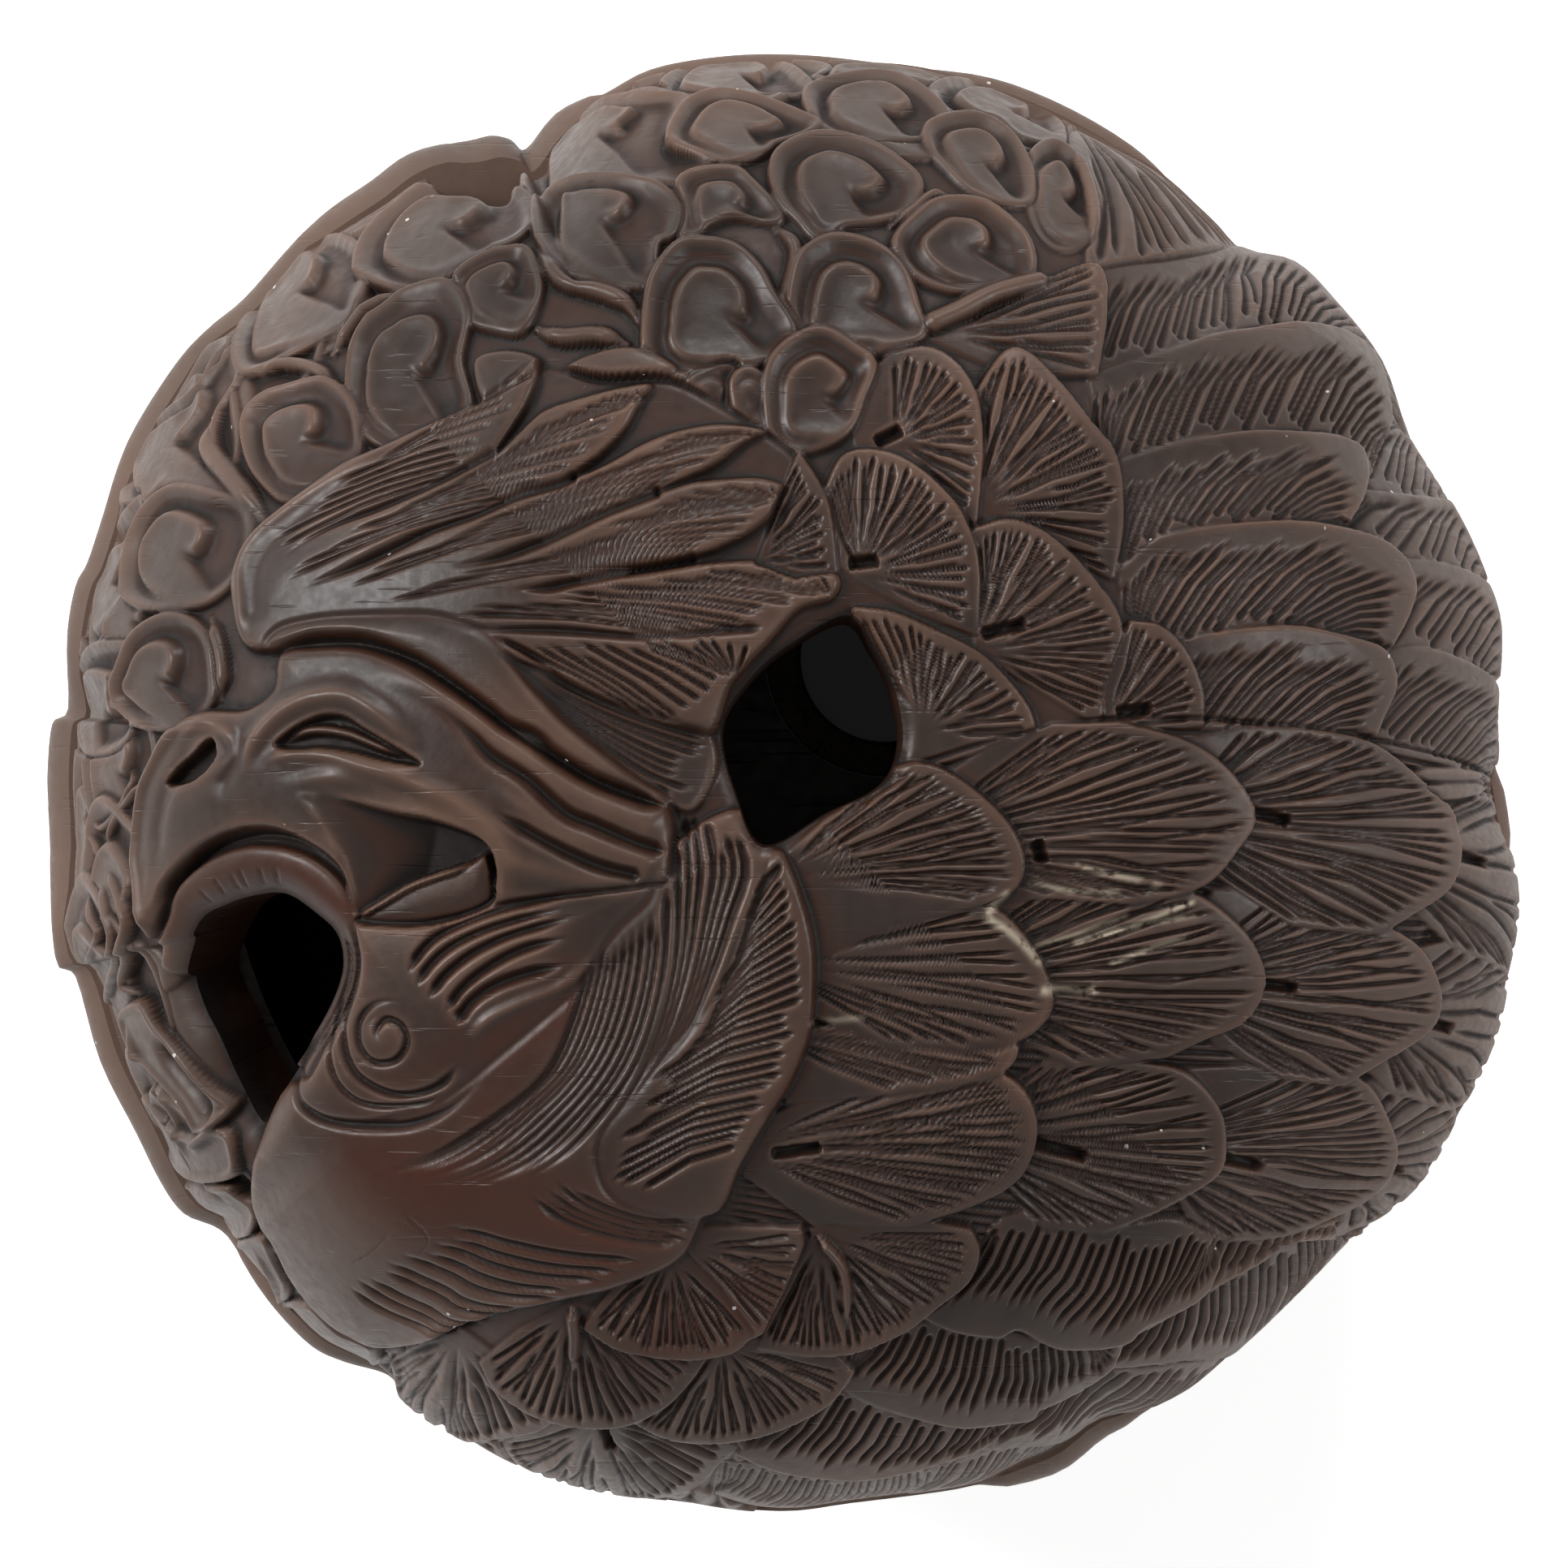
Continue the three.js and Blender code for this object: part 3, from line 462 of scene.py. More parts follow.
class Relief:
    """Height of a half's carving over its bun, painted in the chart."""

    def __init__(self, surface: CarvedSurface, ground: float, pitch: float, seed: int) -> None:
        """Lay an even ground.

        Args:
            surface: Surface that the carving stands on.
            ground: Level of the ground between the carved forms.
            pitch: Side of one cell, in millimetres.
            seed: Seed of the hand's small irregularities.
        """
        self.surface, self.pitch = surface, pitch
        self.half = int(math.ceil((surface.length + 1.5) / pitch))
        side = 2 * self.half + 1
        self.level = np.full((side, side), ground, np.float32)
        self.stain = np.zeros((side, side), np.float32)
        self.wax = np.zeros((side, side), np.float32)
        self.groove = np.zeros((side, side), np.float32)
        self.hand = np.random.default_rng(seed)

    def window(self, points: Array, margin: float) -> tuple[slice, slice]:
        """Return the cells round some chart points, with a margin in millimetres."""
        low = np.floor((points.min(0) - margin) / self.pitch).astype(int) + self.half
        high = np.ceil((points.max(0) + margin) / self.pitch).astype(int) + self.half + 1
        low, high = np.clip(low, 0, 2 * self.half), np.clip(high, 1, 2 * self.half + 1)
        return slice(low[0], high[0]), slice(low[1], high[1])

    def cells(self, window: tuple[slice, slice]) -> tuple[Array, Array]:
        """Return the chart coordinates of a window's cells."""
        u = (np.arange(window[0].start, window[0].stop) - self.half) * self.pitch
        v = (np.arange(window[1].start, window[1].stop) - self.half) * self.pitch
        return np.meshgrid(u, v, indexing="ij")

    def plate(
        self, outline: Array, low: float, high: float, crown: float = 0.0, lip: float = 0.3,
        drop: float = 0.12, lean: tuple[Array, Array] | None = None, soft: float = 0.08,
        grow: float = 0.0,
    ) -> tuple[tuple[slice, slice], Array]:
        """Lay a carved form over what is there.

        Args:
            outline: Its outline in the chart.
            low: Level at its root.
            high: Level at its tip.
            crown: Rise of its middle, or hollow where it is below 0.
            lip: Width over which its edge rounds down.
            drop: How far the edge rounds down.
            lean: Chart places of root and tip, between which it rises.
            soft: Width of the step round it.
            grow: How far it reaches past its outline.

        Returns:
            The window painted, and how far each of its cells belongs to the form.
        """
        window = self.window(outline, soft + grow)
        u, v = self.cells(window)
        depth, _, _ = depth_inside(outline, u, v)
        depth = depth + grow
        cover = np.clip(0.5 + depth / soft, 0.0, 1.0)
        along = np.ones(u.shape)
        if lean is not None:
            root, way = lean[0], lean[1] - lean[0]
            along = np.clip(((u - root[0]) * way[0] + (v - root[1]) * way[1]) / (way @ way), 0.0, 1.0)
        widest = max(float(depth.max()), 1e-3)
        level = low + (high - low) * along**1.3
        level = level + crown * (1.0 - (1.0 - np.clip(depth / widest, 0.0, 1.0)) ** 2)
        level = level - drop * (1.0 - np.clip(depth / lip, 0.0, 1.0)) ** 2
        self.level[window] += (level - self.level[window]) * cover
        return window, cover

    def cut(
        self, lines: list[Array], half_width: float, depth: float, fade: Place = (0.2, 0.2),
        keep: tuple[tuple[slice, slice], Array] | None = None, sharp: float = 2.0,
    ) -> None:
        """Cut grooves, of which the deepest counts where they meet.

        Args:
            lines: Polylines in the chart.
            half_width: Half the width of a groove at its widest.
            depth: Its depth there.
            fade: Shares of its length over which it starts and ends.
            keep: Window and cover of the form that the grooves stay on.
            sharp: Power of the groove's section: 2 for a narrow foot, below 1 for a flat one.
        """
        low = np.min([line.min(0) for line in lines], axis=0)
        high = np.max([line.max(0) for line in lines], axis=0)
        whole = self.window(np.array([low, high]), half_width)
        for line in lines:
            window = self.window(line, half_width)
            u, v = self.cells(window)
            if not u.size:
                continue
            distance, share, _, _ = near_line(line, u, v)
            taper = faded(share, fade)
            width = half_width * (0.35 + 0.65 * taper)
            section = (1.0 - np.clip(distance / width, 0.0, 1.0)) ** sharp
            self.groove[window] = np.maximum(self.groove[window], depth * taper * section)
        if keep is None:
            self.level[whole] -= self.groove[whole]
        else:
            self.level[keep[0]] -= self.groove[keep[0]] * keep[1]
        self.groove[whole] = 0.0

    def _lift(self, window: tuple[slice, slice], within: Array, level: Array) -> None:
        """Raise the cells within a form to its level, where that lies above what is there."""
        here = self.level[window]
        self.level[window] = np.where(within, np.maximum(here, level), here)

    def bead(
        self, line: Array, half_width: float, top: float, foot: float, fade: Place = (0.25, 0.25)
    ) -> None:
        """Raise a rounded ridge.

        Args:
            line: Polyline in the chart.
            half_width: Half the ridge's width.
            top: Level of its top.
            foot: Level of its two feet.
            fade: Shares of its length over which it rises and sinks.
        """
        window = self.window(line, half_width)
        u, v = self.cells(window)
        distance, share, _, _ = near_line(line, u, v)
        taper = faded(share, fade)
        across = np.clip(distance / (half_width * (0.45 + 0.55 * taper)), 0.0, 1.0)
        level = foot + (top - foot) * taper * (1.0 - across**2.2)
        self._lift(window, across < 1.0, level)

    def swell(self, line: Array, spread: float, rise: float, fade: Place) -> None:
        """Swell or hollow what is there, softly, along a line.

        Args:
            line: Polyline in the chart.
            spread: Distance over which the swelling fades.
            rise: Its height on the line, or its depth below 0.
            fade: Shares of its length over which it starts and ends.
        """
        window = self.window(line, BELL_REACH * spread)
        u, v = self.cells(window)
        distance, share, _, _ = near_line(line, u, v)
        bell = np.exp(-((distance / spread) ** 2)) - math.exp(-(BELL_REACH**2))
        self.level[window] += rise * faded(share, fade) * np.maximum(bell, 0.0)

    def dome(self, centre: Array, radius: float, top: float, foot: float) -> None:
        """Raise a round knob.

        Args:
            centre: Its centre in the chart.
            radius: Its radius.
            top: Level of its top.
            foot: Level of its foot.
        """
        window = self.window(centre.reshape(1, 2), radius)
        u, v = self.cells(window)
        across = np.hypot(u - centre[0], v - centre[1]) / radius
        level = foot + (top - foot) * np.sqrt(np.clip(1.0 - across**2, 0.0, 1.0))
        self._lift(window, across < 1.0, level)

    def tint(self, layer: Array, line: Array, spread: float, strength: float) -> None:
        """Colour a layer along a line.

        Args:
            layer: The stain or the wax layer.
            line: Polyline in the chart.
            spread: Distance over which the colour fades.
            strength: Its strength on the line.
        """
        window = self.window(line, TINT_REACH * spread)
        u, v = self.cells(window)
        distance, _, _, _ = near_line(line, u, v)
        layer[window] = np.maximum(layer[window], strength * np.exp(-((distance / spread) ** 2)))

    def sample(self, layer: Array, u: Array, v: Array) -> Array:
        """Read a layer between its cells.

        Args:
            layer: The layer.
            u: First chart coordinate of each place.
            v: Second chart coordinate.

        Returns:
            The layer's values there.
        """
        x = np.clip(u / self.pitch + self.half, 0, 2 * self.half - 1e-3)
        y = np.clip(v / self.pitch + self.half, 0, 2 * self.half - 1e-3)
        i, j = x.astype(int), y.astype(int)
        x, y = x - i, y - j
        low = layer[i, j] * (1 - y) + layer[i, j + 1] * y
        high = layer[i + 1, j] * (1 - y) + layer[i + 1, j + 1] * y
        return low * (1 - x) + high * x


# Length of one strip of the turned joint, in millimetres
STRIP_LENGTH = 0.8


@dataclass(frozen=True)
class InnerWall:
    """Turned inside of a half, against the share of the outer profile above it."""

    shares: Array
    radii: Array
    heights: Array
    corners: Array

    @classmethod
    def below(
        cls, turning: Turning, wall: float, limit: float, corners: list[Place], rings: int
    ) -> "InnerWall":
        """Offset the outer profile inwards as far as the first corner, and go round the rest.

        Args:
            turning: Outer profile.
            wall: Thickness of the wall.
            limit: Widest radius of the hollow.
            corners: Radius and height of each turned corner, in order towards the rim.
            rings: Coarse rings from the axis to the rim.

        Returns:
            The inside of the half.
        """
        shares = np.arange(rings + 1) / rings
        radius, height, outward, upward = turning.at(shares)
        radius, height = radius - wall * outward, height - wall * upward
        stops = (height - corners[0][1]) * turning.facing <= 0.0
        first = int(np.argmax(stops | (radius >= limit)))
        steps = [max(1, round(math.dist(a, b) / STRIP_LENGTH)) for a, b in zip(corners, corners[1:])]
        while sum(steps) > rings - first - 1:
            steps[int(np.argmax(steps))] -= 1
        at = (first + np.cumsum([0] + steps)) / rings
        ends = np.array(corners)
        return cls(
            np.concatenate([shares[:first], at, [1.0]]),
            np.concatenate([np.minimum(radius[:first], limit), ends[:, 0], [SIZES.rim_radius]]),
            np.concatenate([height[:first], ends[:, 1], ends[-1:, 1]]),
            at,
        )

    def points(self, share: Array, cos: Array, sin: Array, rim: Array) -> Array:
        """Place the inside.

        Args:
            share: Share of the outer profile.
            cos: Cosine of the direction from the axis.
            sin: Sine of it.
            rim: Rim radius in that direction.

        Returns:
            Places in space, in millimetres.
        """
        radius = np.interp(share, self.shares, self.radii)
        last = np.clip((share - self.corners[-1]) / (1.0 - self.corners[-1]), 0.0, 1.0)
        radius = np.where(last > 0.0, self.radii[-2] + (rim - self.radii[-2]) * last, radius)
        height = np.interp(share, self.shares, self.heights)
        return np.stack([radius * cos, radius * sin, height], axis=-1)


@dataclass
class Faces:
    """Faces gathered for one block of a shell, with the group and bake place of each corner."""

    corners: list[Array] = field(default_factory=list)
    counts: list[Array] = field(default_factory=list)
    groups: list[Array] = field(default_factory=list)
    places: list[Array] = field(default_factory=list)

    def quads(self, corners: Array, group: Array | int, places: Array) -> None:
        """Add four-sided faces, one a row of corners, with their places in the bake map."""
        if len(corners):
            self.corners.append(corners.reshape(-1))
            self.counts.append(np.full(len(corners), 4))
            self.groups.append(np.broadcast_to(group, len(corners)))
            self.places.append(places.reshape(-1, 2))

    def one(self, corners: list[int], group: int, places: list[Place]) -> None:
        """Add one face with any number of corners, without those that fall together at the rim."""
        kept = [step for step, corner in enumerate(corners) if corner != corners[step - 1]]
        if len(kept) > 2:
            self.corners.append(np.array(corners)[kept])
            self.counts.append(np.array([len(kept)]))
            self.groups.append(np.array([group]))
            self.places.append(np.array(places)[kept])


@dataclass(frozen=True)
class BakeMap:
    """Layout of a block's bake map: the outside in one square, and a narrow strip for all the rest."""

    square: float = 0.86
    strip: float = 0.12
    left: float = 0.875
    margin: float = 0.005
    sides: float = 0.16
    side_step: float = 0.03
    side_height: float = 0.02
    bore_low: float = 0.3
    bore_high: float = 0.5

    def outside(self, i: Array, j: Array, span: int) -> Array:
        """Return the places of grid points on the outside."""
        return np.stack([i, j], axis=-1) / span * self.square + self.margin

    def inside(self, i: Array | int, j: Array | int, span: int) -> Array:
        """Return the places of grid points on the inside."""
        return np.stack([i / span * self.strip + self.left, j / span * self.strip + self.margin], axis=-1)

    def across(self, step: int, steps: int) -> float:
        """Return how far across the strip a step out of so many lies."""
        return self.left + self.strip * step / steps


@dataclass(frozen=True)
class ShadeWearAndHighlightScale:
    """What counts as hollow or as proud of its surroundings, within one reach in millimetres. Hollows get
    painted shade; proud parts get wear and a painted highlight.
    """

    reach: float
    deep: float
    cavity: float
    proud: float
    ridge: float


BAKE = BakeMap()
# Painted shade in hollows, and wear with a painted highlight on proud parts, at three reaches
SHADE_WEAR_AND_HIGHLIGHT = (
    ShadeWearAndHighlightScale(0.1, 0.06, 0.6, 0.05, 0.55),
    ShadeWearAndHighlightScale(0.45, 0.26, 0.5, 0.25, 0.5),
    ShadeWearAndHighlightScale(1.2, 0.5, 0.35, 0.4, 0.2),
)
# The rim is lighter by wear and a painted highlight, and loses its painted shade
RIM_WEAR_AND_HIGHLIGHT = 0.55
RIM_WEAR_AND_HIGHLIGHT_START = 0.955
RIM_WEAR_AND_HIGHLIGHT_FADE = 0.03
# Painted shade given to the inside and to the walls of the holes
INSIDE_PAINTED_SHADE = 0.22


class ShellMesher:
    """Cuts one carved half into closed blocks of fine mesh."""

    OUTSIDE, SIDE, BORE, INSIDE = 0, 1, 2, 3
    HOLE_MARGIN = 0.3

    def __init__(
        self, relief: Relief, inner: InnerWall, cells: int, coarse: int, holes: tuple[Array, ...]
    ) -> None:
        """Lay the grid and open the holes.

        Args:
            relief: Painted carving.
            inner: Inside of the half.
            cells: Cells across the half.
            coarse: Fine cells along one coarse cell.
            holes: Outlines of the holes in the chart.
        """
        self.relief, self.inner, self.cells, self.coarse = relief, inner, cells, coarse
        surface = relief.surface
        line = np.linspace(-1.0, 1.0, cells + 1)
        a, b = np.meshgrid(line, line, indexing="ij")
        wide = np.abs(a) >= np.abs(b)
        reach = np.where(wide, a, b)
        safe = np.where(np.abs(reach) < 1e-12, 1.0, reach)
        turn = np.where(wide, math.pi / 4 * b / safe, math.pi / 2 - math.pi / 4 * a / safe)
        self.u = surface.length * reach * np.cos(turn)
        self.v = surface.length * reach * np.sin(turn)
        self.open = np.zeros((cells, cells), bool)
        for hole in holes:
            self._open(hole)
        level = relief.sample(relief.level, self.u, self.v)
        self.outer = surface.points(self.u, self.v, level)
        share, cos, sin = surface.polar(self.u, self.v)
        rim, _ = surface.stand(np.ones(share.shape), cos, sin, np.zeros(share.shape))
        self.inside = inner.points(share, cos, sin, rim)
        self.ring = np.searchsorted(inner.corners - 1e-9, np.clip(share, 0.0, 1.0))
        across = np.gradient(self.outer, axis=0), np.gradient(self.outer, axis=1)
        normal = np.cross(*across) * surface.turning.facing
        self.normal = normal / np.maximum(np.linalg.norm(normal, axis=-1, keepdims=True), 1e-12)
        self.colour = self._colours(level)

    def _open(self, hole: Array) -> None:
        """Drop the cells inside a hole and draw the border vertices onto its outline.

        Args:
            hole: Outline of the hole in the chart.
        """
        low, high = hole.min(0) - self.HOLE_MARGIN, hole.max(0) + self.HOLE_MARGIN
        near = (self.u > low[0]) & (self.u < high[0]) & (self.v > low[1]) & (self.v < high[1])
        depth = np.full(self.u.shape, -9.0)
        depth[near], near_u, near_v = depth_inside(hole, self.u[near], self.v[near])
        middle = (depth[:-1, :-1] + depth[1:, :-1] + depth[:-1, 1:] + depth[1:, 1:]) / 4.0
        gone = middle > 0.0
        self.open |= gone
        framed = np.pad(gone, 1)
        touches = framed[:-1, :-1] | framed[1:, :-1] | framed[:-1, 1:] | framed[1:, 1:]
        whole = framed[:-1, :-1] & framed[1:, :-1] & framed[:-1, 1:] & framed[1:, 1:]
        border = touches & ~whole
        spot = border[near]
        self.u[border], self.v[border] = near_u[spot], near_v[spot]

    def _colours(self, level: Array) -> Array:
        """Work out the painted shade in the hollows, the wear and painted highlight on the ridges, and the
        stain and wax.

        Args:
            level: Level of the carving at each vertex.

        Returns:
            Cavity (painted shade), ridge (wear and painted highlight), stain and wax of each vertex, each
            from 0 to 1.
        """
        relief = self.relief
        cavity, ridge = np.zeros(level.shape), np.zeros(level.shape)
        # Below the blurred level: painted shade; above it: wear and a painted highlight
        for scale in SHADE_WEAR_AND_HIGHLIGHT:
            blurred = box_blur(relief.level, max(1, round(scale.reach / relief.pitch)))
            under = relief.sample(blurred, self.u, self.v) - level
            cavity = cavity + np.clip(under / scale.deep, 0.0, 1.0) * scale.cavity
            ridge = ridge + np.clip(-under / scale.proud, 0.0, 1.0) * scale.ridge
        share, _, _ = relief.surface.polar(self.u, self.v)
        # Lighter rim by wear and a painted highlight, with no painted shade there
        rim = ease((share - RIM_WEAR_AND_HIGHLIGHT_START) / RIM_WEAR_AND_HIGHLIGHT_FADE)
        cavity, ridge = cavity * (1.0 - rim), np.maximum(ridge, RIM_WEAR_AND_HIGHLIGHT * rim)
        stain = relief.sample(relief.stain, self.u, self.v)
        wax = relief.sample(relief.wax, self.u, self.v)
        return np.clip(np.stack([cavity, ridge, stain, wax], axis=-1), 0.0, 1.0)

    def block(self, name: str, rows: tuple[int, int], columns: tuple[int, int]) -> bpy.types.Object:
        """Build one closed block.

        Args:
            name: Name of the piece.
            rows: First and last grid line along the first axis.
            columns: First and last grid line along the second.

        Returns:
            The new object.
        """
        k, n = self.coarse, self.cells
        i0, i1, j0, j1 = rows[0], rows[1], columns[0], columns[1]
        wide, tall = i1 - i0, j1 - j0
        kept = ~self.open[i0:i1, j0:j1]
        used = np.zeros((wide + 1, tall + 1), bool)
        for di in (0, 1):
            for dj in (0, 1):
                used[di:di + wide, dj:dj + tall] |= kept
        outer = np.full(used.shape, -1)
        outer[used] = np.arange(used.sum())
        blocks = kept.reshape(wide // k, k, tall // k, k)
        fine = ~blocks.all(axis=(1, 3))
        some = blocks.any(axis=(1, 3))
        deep = np.zeros(used.shape, bool)
        deep[::k, ::k] = True
        for ci, cj in np.argwhere(fine):
            deep[ci * k:(ci + 1) * k + 1, cj * k:(cj + 1) * k + 1] = True
        deep &= used
        line_i, line_j = np.arange(i0, i1 + 1), np.arange(j0, j1 + 1)
        rim = ((line_i == 0) | (line_i == n))[:, None] | ((line_j == 0) | (line_j == n))[None, :]
        deep &= ~rim
        inner = np.full(used.shape, -1)
        inner[deep] = used.sum() + np.arange(deep.sum())
        inner[rim] = outer[rim]
        faces = Faces()
        span = max(wide, tall)
        ci, cj = np.nonzero(kept)
        steps_i, steps_j = np.array([0, 1, 1, 0]), np.array([0, 0, 1, 1])
        gi, gj = ci[:, None] + steps_i, cj[:, None] + steps_j
        faces.quads(outer[gi, gj], self.OUTSIDE, BAKE.outside(gi, gj, span))
        in_fine = fine[ci // k, cj // k]
        gi, gj = gi[in_fine][:, ::-1], gj[in_fine][:, ::-1]
        group = self.INSIDE + self.ring[i0:i1 + 1, j0:j1 + 1][gi, gj].min(axis=1)
        faces.quads(inner[gi, gj], group, BAKE.inside(gi, gj, span))
        for ci, cj in np.argwhere(some & ~fine):
            self._coarse(faces, (ci, cj), fine, inner, rim, (i0, j0), span)
        beyond = (self.ring[i0:i1 + 1, j0:j1 + 1] > 0) & (self.relief.surface.turning.facing < 0)
        self._sides(faces, fine, kept, outer, inner, rim, beyond)
        self._bores(faces, kept, outer, inner)
        points = np.vstack([
            self.outer[i0:i1 + 1, j0:j1 + 1][used], self.inside[i0:i1 + 1, j0:j1 + 1][deep]
        ])
        colours = np.zeros((len(points), 4))
        colours[:used.sum()] = self.colour[i0:i1 + 1, j0:j1 + 1][used]
        # Painted shade on the inside and the walls of the holes
        colours[used.sum():, 0] = INSIDE_PAINTED_SHADE
        normals = np.zeros((len(points), 3))
        normals[:used.sum()] = self.normal[i0:i1 + 1, j0:j1 + 1][used]
        return self._mesh(name, points, faces, colours, normals)

    def _coarse(
        self, faces: Faces, place: Place, fine: Array, inner: Array, rim: Array, start: Place, span: int
    ) -> None:
        """Add one coarse face of the inside, with every vertex that its fine neighbours share.

        Args:
            faces: Faces of the block.
            place: The coarse cell.
            fine: Coarse cells whose inside is as fine as the outside.
            inner: Inner vertex at each grid point.
            rim: Grid points on the rim.
            start: First grid lines of the block.
            span: Cells along the block's longer side.
        """
        k = self.coarse
        i, j = place[0] * k, place[1] * k
        walk: list[Place] = []
        for di, dj, side in ((1, 0, (0, -1)), (0, 1, (1, 0)), (-1, 0, (0, 1)), (0, -1, (-1, 0))):
            beside = place[0] + side[0], place[1] + side[1]
            within = 0 <= beside[0] < fine.shape[0] and 0 <= beside[1] < fine.shape[1]
            middle = (i + di * k // 2, j + dj * k // 2)
            dense = (within and fine[beside]) or bool(rim[middle])
            for step in range(k if dense else 1):
                walk.append((i + di * step, j + dj * step))
            i, j = i + di * k, j + dj * k
        walk = walk[::-1]
        middle_i, middle_j = place[0] * k + k // 2 + start[0], place[1] * k + k // 2 + start[1]
        group = self.INSIDE + int(self.ring[middle_i, middle_j])
        spots = [tuple(BAKE.inside(a, b, span)) for a, b in walk]
        faces.one([int(inner[a, b]) for a, b in walk], group, spots)

    def _sides(
        self, faces: Faces, fine: Array, kept: Array, outer: Array, inner: Array, rim: Array,
        beyond: Array,
    ) -> None:
        """Add the cut sides of a block, strip by strip.

        Args:
            faces: Faces of the block.
            fine: Coarse cells whose inside is as fine as the outside.
            kept: Fine cells that aren't in a hole.
            outer: Outer vertex at each grid point.
            inner: Inner vertex at each grid point.
            rim: Grid points on the rim.
            beyond: Grid points beyond the inside's first turned corner.
        """
        k = self.coarse
        wide, tall = kept.shape
        borders = (
            [(i, 0) for i in range(wide + 1)],
            [(wide, j) for j in range(tall + 1)],
            [(i, tall) for i in range(wide, -1, -1)],
            [(0, j) for j in range(tall, -1, -1)],
        )
        for strip, border in enumerate(borders):
            if rim[border[k // 2]]:
                continue
            run: list[Place] = []
            for first in range(0, len(border) - 1, k):
                line = border[first:first + k + 1]
                cell = min(line[0][0], line[-1][0]), min(line[0][1], line[-1][1])
                cell = min(cell[0], wide - 1), min(cell[1], tall - 1)
                joined = bool(beyond[line[k // 2]]) and not fine[cell[0] // k, cell[1] // k]
                if joined:
                    run += line[bool(run):]
                if run and (not joined or first + k >= len(border) - 1):
                    self._side(faces, run, strip, border, outer, inner, k)
                    run = []
                if joined:
                    continue
                if not fine[cell[0] // k, cell[1] // k]:
                    self._side(faces, line, strip, border, outer, inner, k)
                    continue
                for p, q in zip(line, line[1:]):
                    spot = min(p[0], q[0], wide - 1), min(p[1], q[1], tall - 1)
                    if kept[spot]:
                        self._side(faces, [p, q], strip, border, outer, inner, 1)

    def _side(
        self, faces: Faces, line: list[Place], strip: int, border: list[Place], outer: Array,
        inner: Array, step: int,
    ) -> None:
        """Add one face of a cut side.

        Args:
            faces: Faces of the block.
            line: Grid points along its outer edge.
            strip: Number of the block's side.
            border: All grid points of that side.
            outer: Outer vertex at each grid point.
            inner: Inner vertex at each grid point.
            step: Grid points from one inner vertex to the next.
        """
        base, span = BAKE.sides + strip * BAKE.side_step, len(border) - 1
        begin = border.index(line[0])
        face = [int(outer[point]) for point in line[::-1]] + [int(inner[point]) for point in line[::step]]
        across = [BAKE.across(begin + at, span) for at in range(len(line))]
        spots = [(place, base + BAKE.side_height) for place in across[::-1]]
        spots += [(place, base) for place in across[::step]]
        faces.one(face, self.SIDE, spots)

    def _bores(self, faces: Faces, kept: Array, outer: Array, inner: Array) -> None:
        """Add the walls of the holes.

        Args:
            faces: Faces of the block.
            kept: Fine cells that aren't in a hole.
            outer: Outer vertex at each grid point.
            inner: Inner vertex at each grid point.
        """
        gone = ~kept
        edges: list[tuple[Place, Place]] = []
        for di, dj, first, second in (
            (0, -1, (0, 0), (1, 0)), (1, 0, (1, 0), (1, 1)), (0, 1, (1, 1), (0, 1)), (-1, 0, (0, 1), (0, 0))
        ):
            framed = np.pad(gone, 1)
            beside = framed[1 + di:1 + di + gone.shape[0], 1 + dj:1 + dj + gone.shape[1]]
            for i, j in np.argwhere(kept & beside):
                edges.append(((i + first[0], j + first[1]), (i + second[0], j + second[1])))
        following = {start: (start, end) for start, end in edges}
        ordered: list[tuple[Place, Place]] = []
        while following:
            start = next(iter(following))
            while start in following:
                edge = following.pop(start)
                ordered.append(edge)
                start = edge[1]
        low, high = BAKE.bore_low, BAKE.bore_high
        for step, (p, q) in enumerate(ordered):
            left, right = BAKE.across(step, len(ordered)), BAKE.across(step + 1, len(ordered))
            face = [int(outer[q]), int(outer[p]), int(inner[p]), int(inner[q])]
            faces.one(face, self.BORE, [(right, high), (left, high), (left, low), (right, low)])

    def _mesh(
        self, name: str, points: Array, faces: Faces, colours: Array, normals: Array
    ) -> bpy.types.Object:
        """Make the object of one block.

        Args:
            name: Name of the piece.
            points: Vertices, in millimetres.
            faces: Faces gathered for it.
            colours: Carving colour of each vertex.
            normals: Direction of each outer vertex.

        Returns:
            The new object.
        """
        corners, counts = np.concatenate(faces.corners), np.concatenate(faces.counts)
        groups, places = np.concatenate(faces.groups), np.vstack(faces.places)
        starts = np.concatenate([[0], np.cumsum(counts)[:-1]])
        if self.relief.surface.turning.facing < 0:
            flip = np.repeat(starts + starts + counts - 1, counts) - np.arange(len(corners))
            corners, places = corners[flip], places[flip]
        mesh = bpy.data.meshes.new(name)
        mesh.vertices.add(len(points))
        mesh.vertices.foreach_set("co", (points * MM).astype(np.float32).ravel())
        mesh.loops.add(len(corners))
        mesh.loops.foreach_set("vertex_index", corners.astype(np.int32))
        mesh.polygons.add(len(counts))
        mesh.polygons.foreach_set("loop_start", starts.astype(np.int32))
        mesh.polygons.foreach_set("loop_total", counts.astype(np.int32))
        mesh.polygons.foreach_set("use_smooth", np.ones(len(counts), bool))
        mesh.update(calc_edges=True)
        layer = mesh.attributes.new(CARVING, "FLOAT_COLOR", "POINT")
        layer.data.foreach_set("color", colours.astype(np.float32).ravel())
        mesh.uv_layers.new(name=BAKE_MAP).data.foreach_set("uv", places.astype(np.float32).ravel())
        own = np.zeros(len(counts) * 3, np.float32)
        mesh.polygons.foreach_get("normal", own)
        area = np.zeros(len(counts), np.float32)
        mesh.polygons.foreach_get("area", area)
        face_of = np.repeat(np.arange(len(counts)), counts)
        group = groups[face_of]
        plain = group != self.OUTSIDE
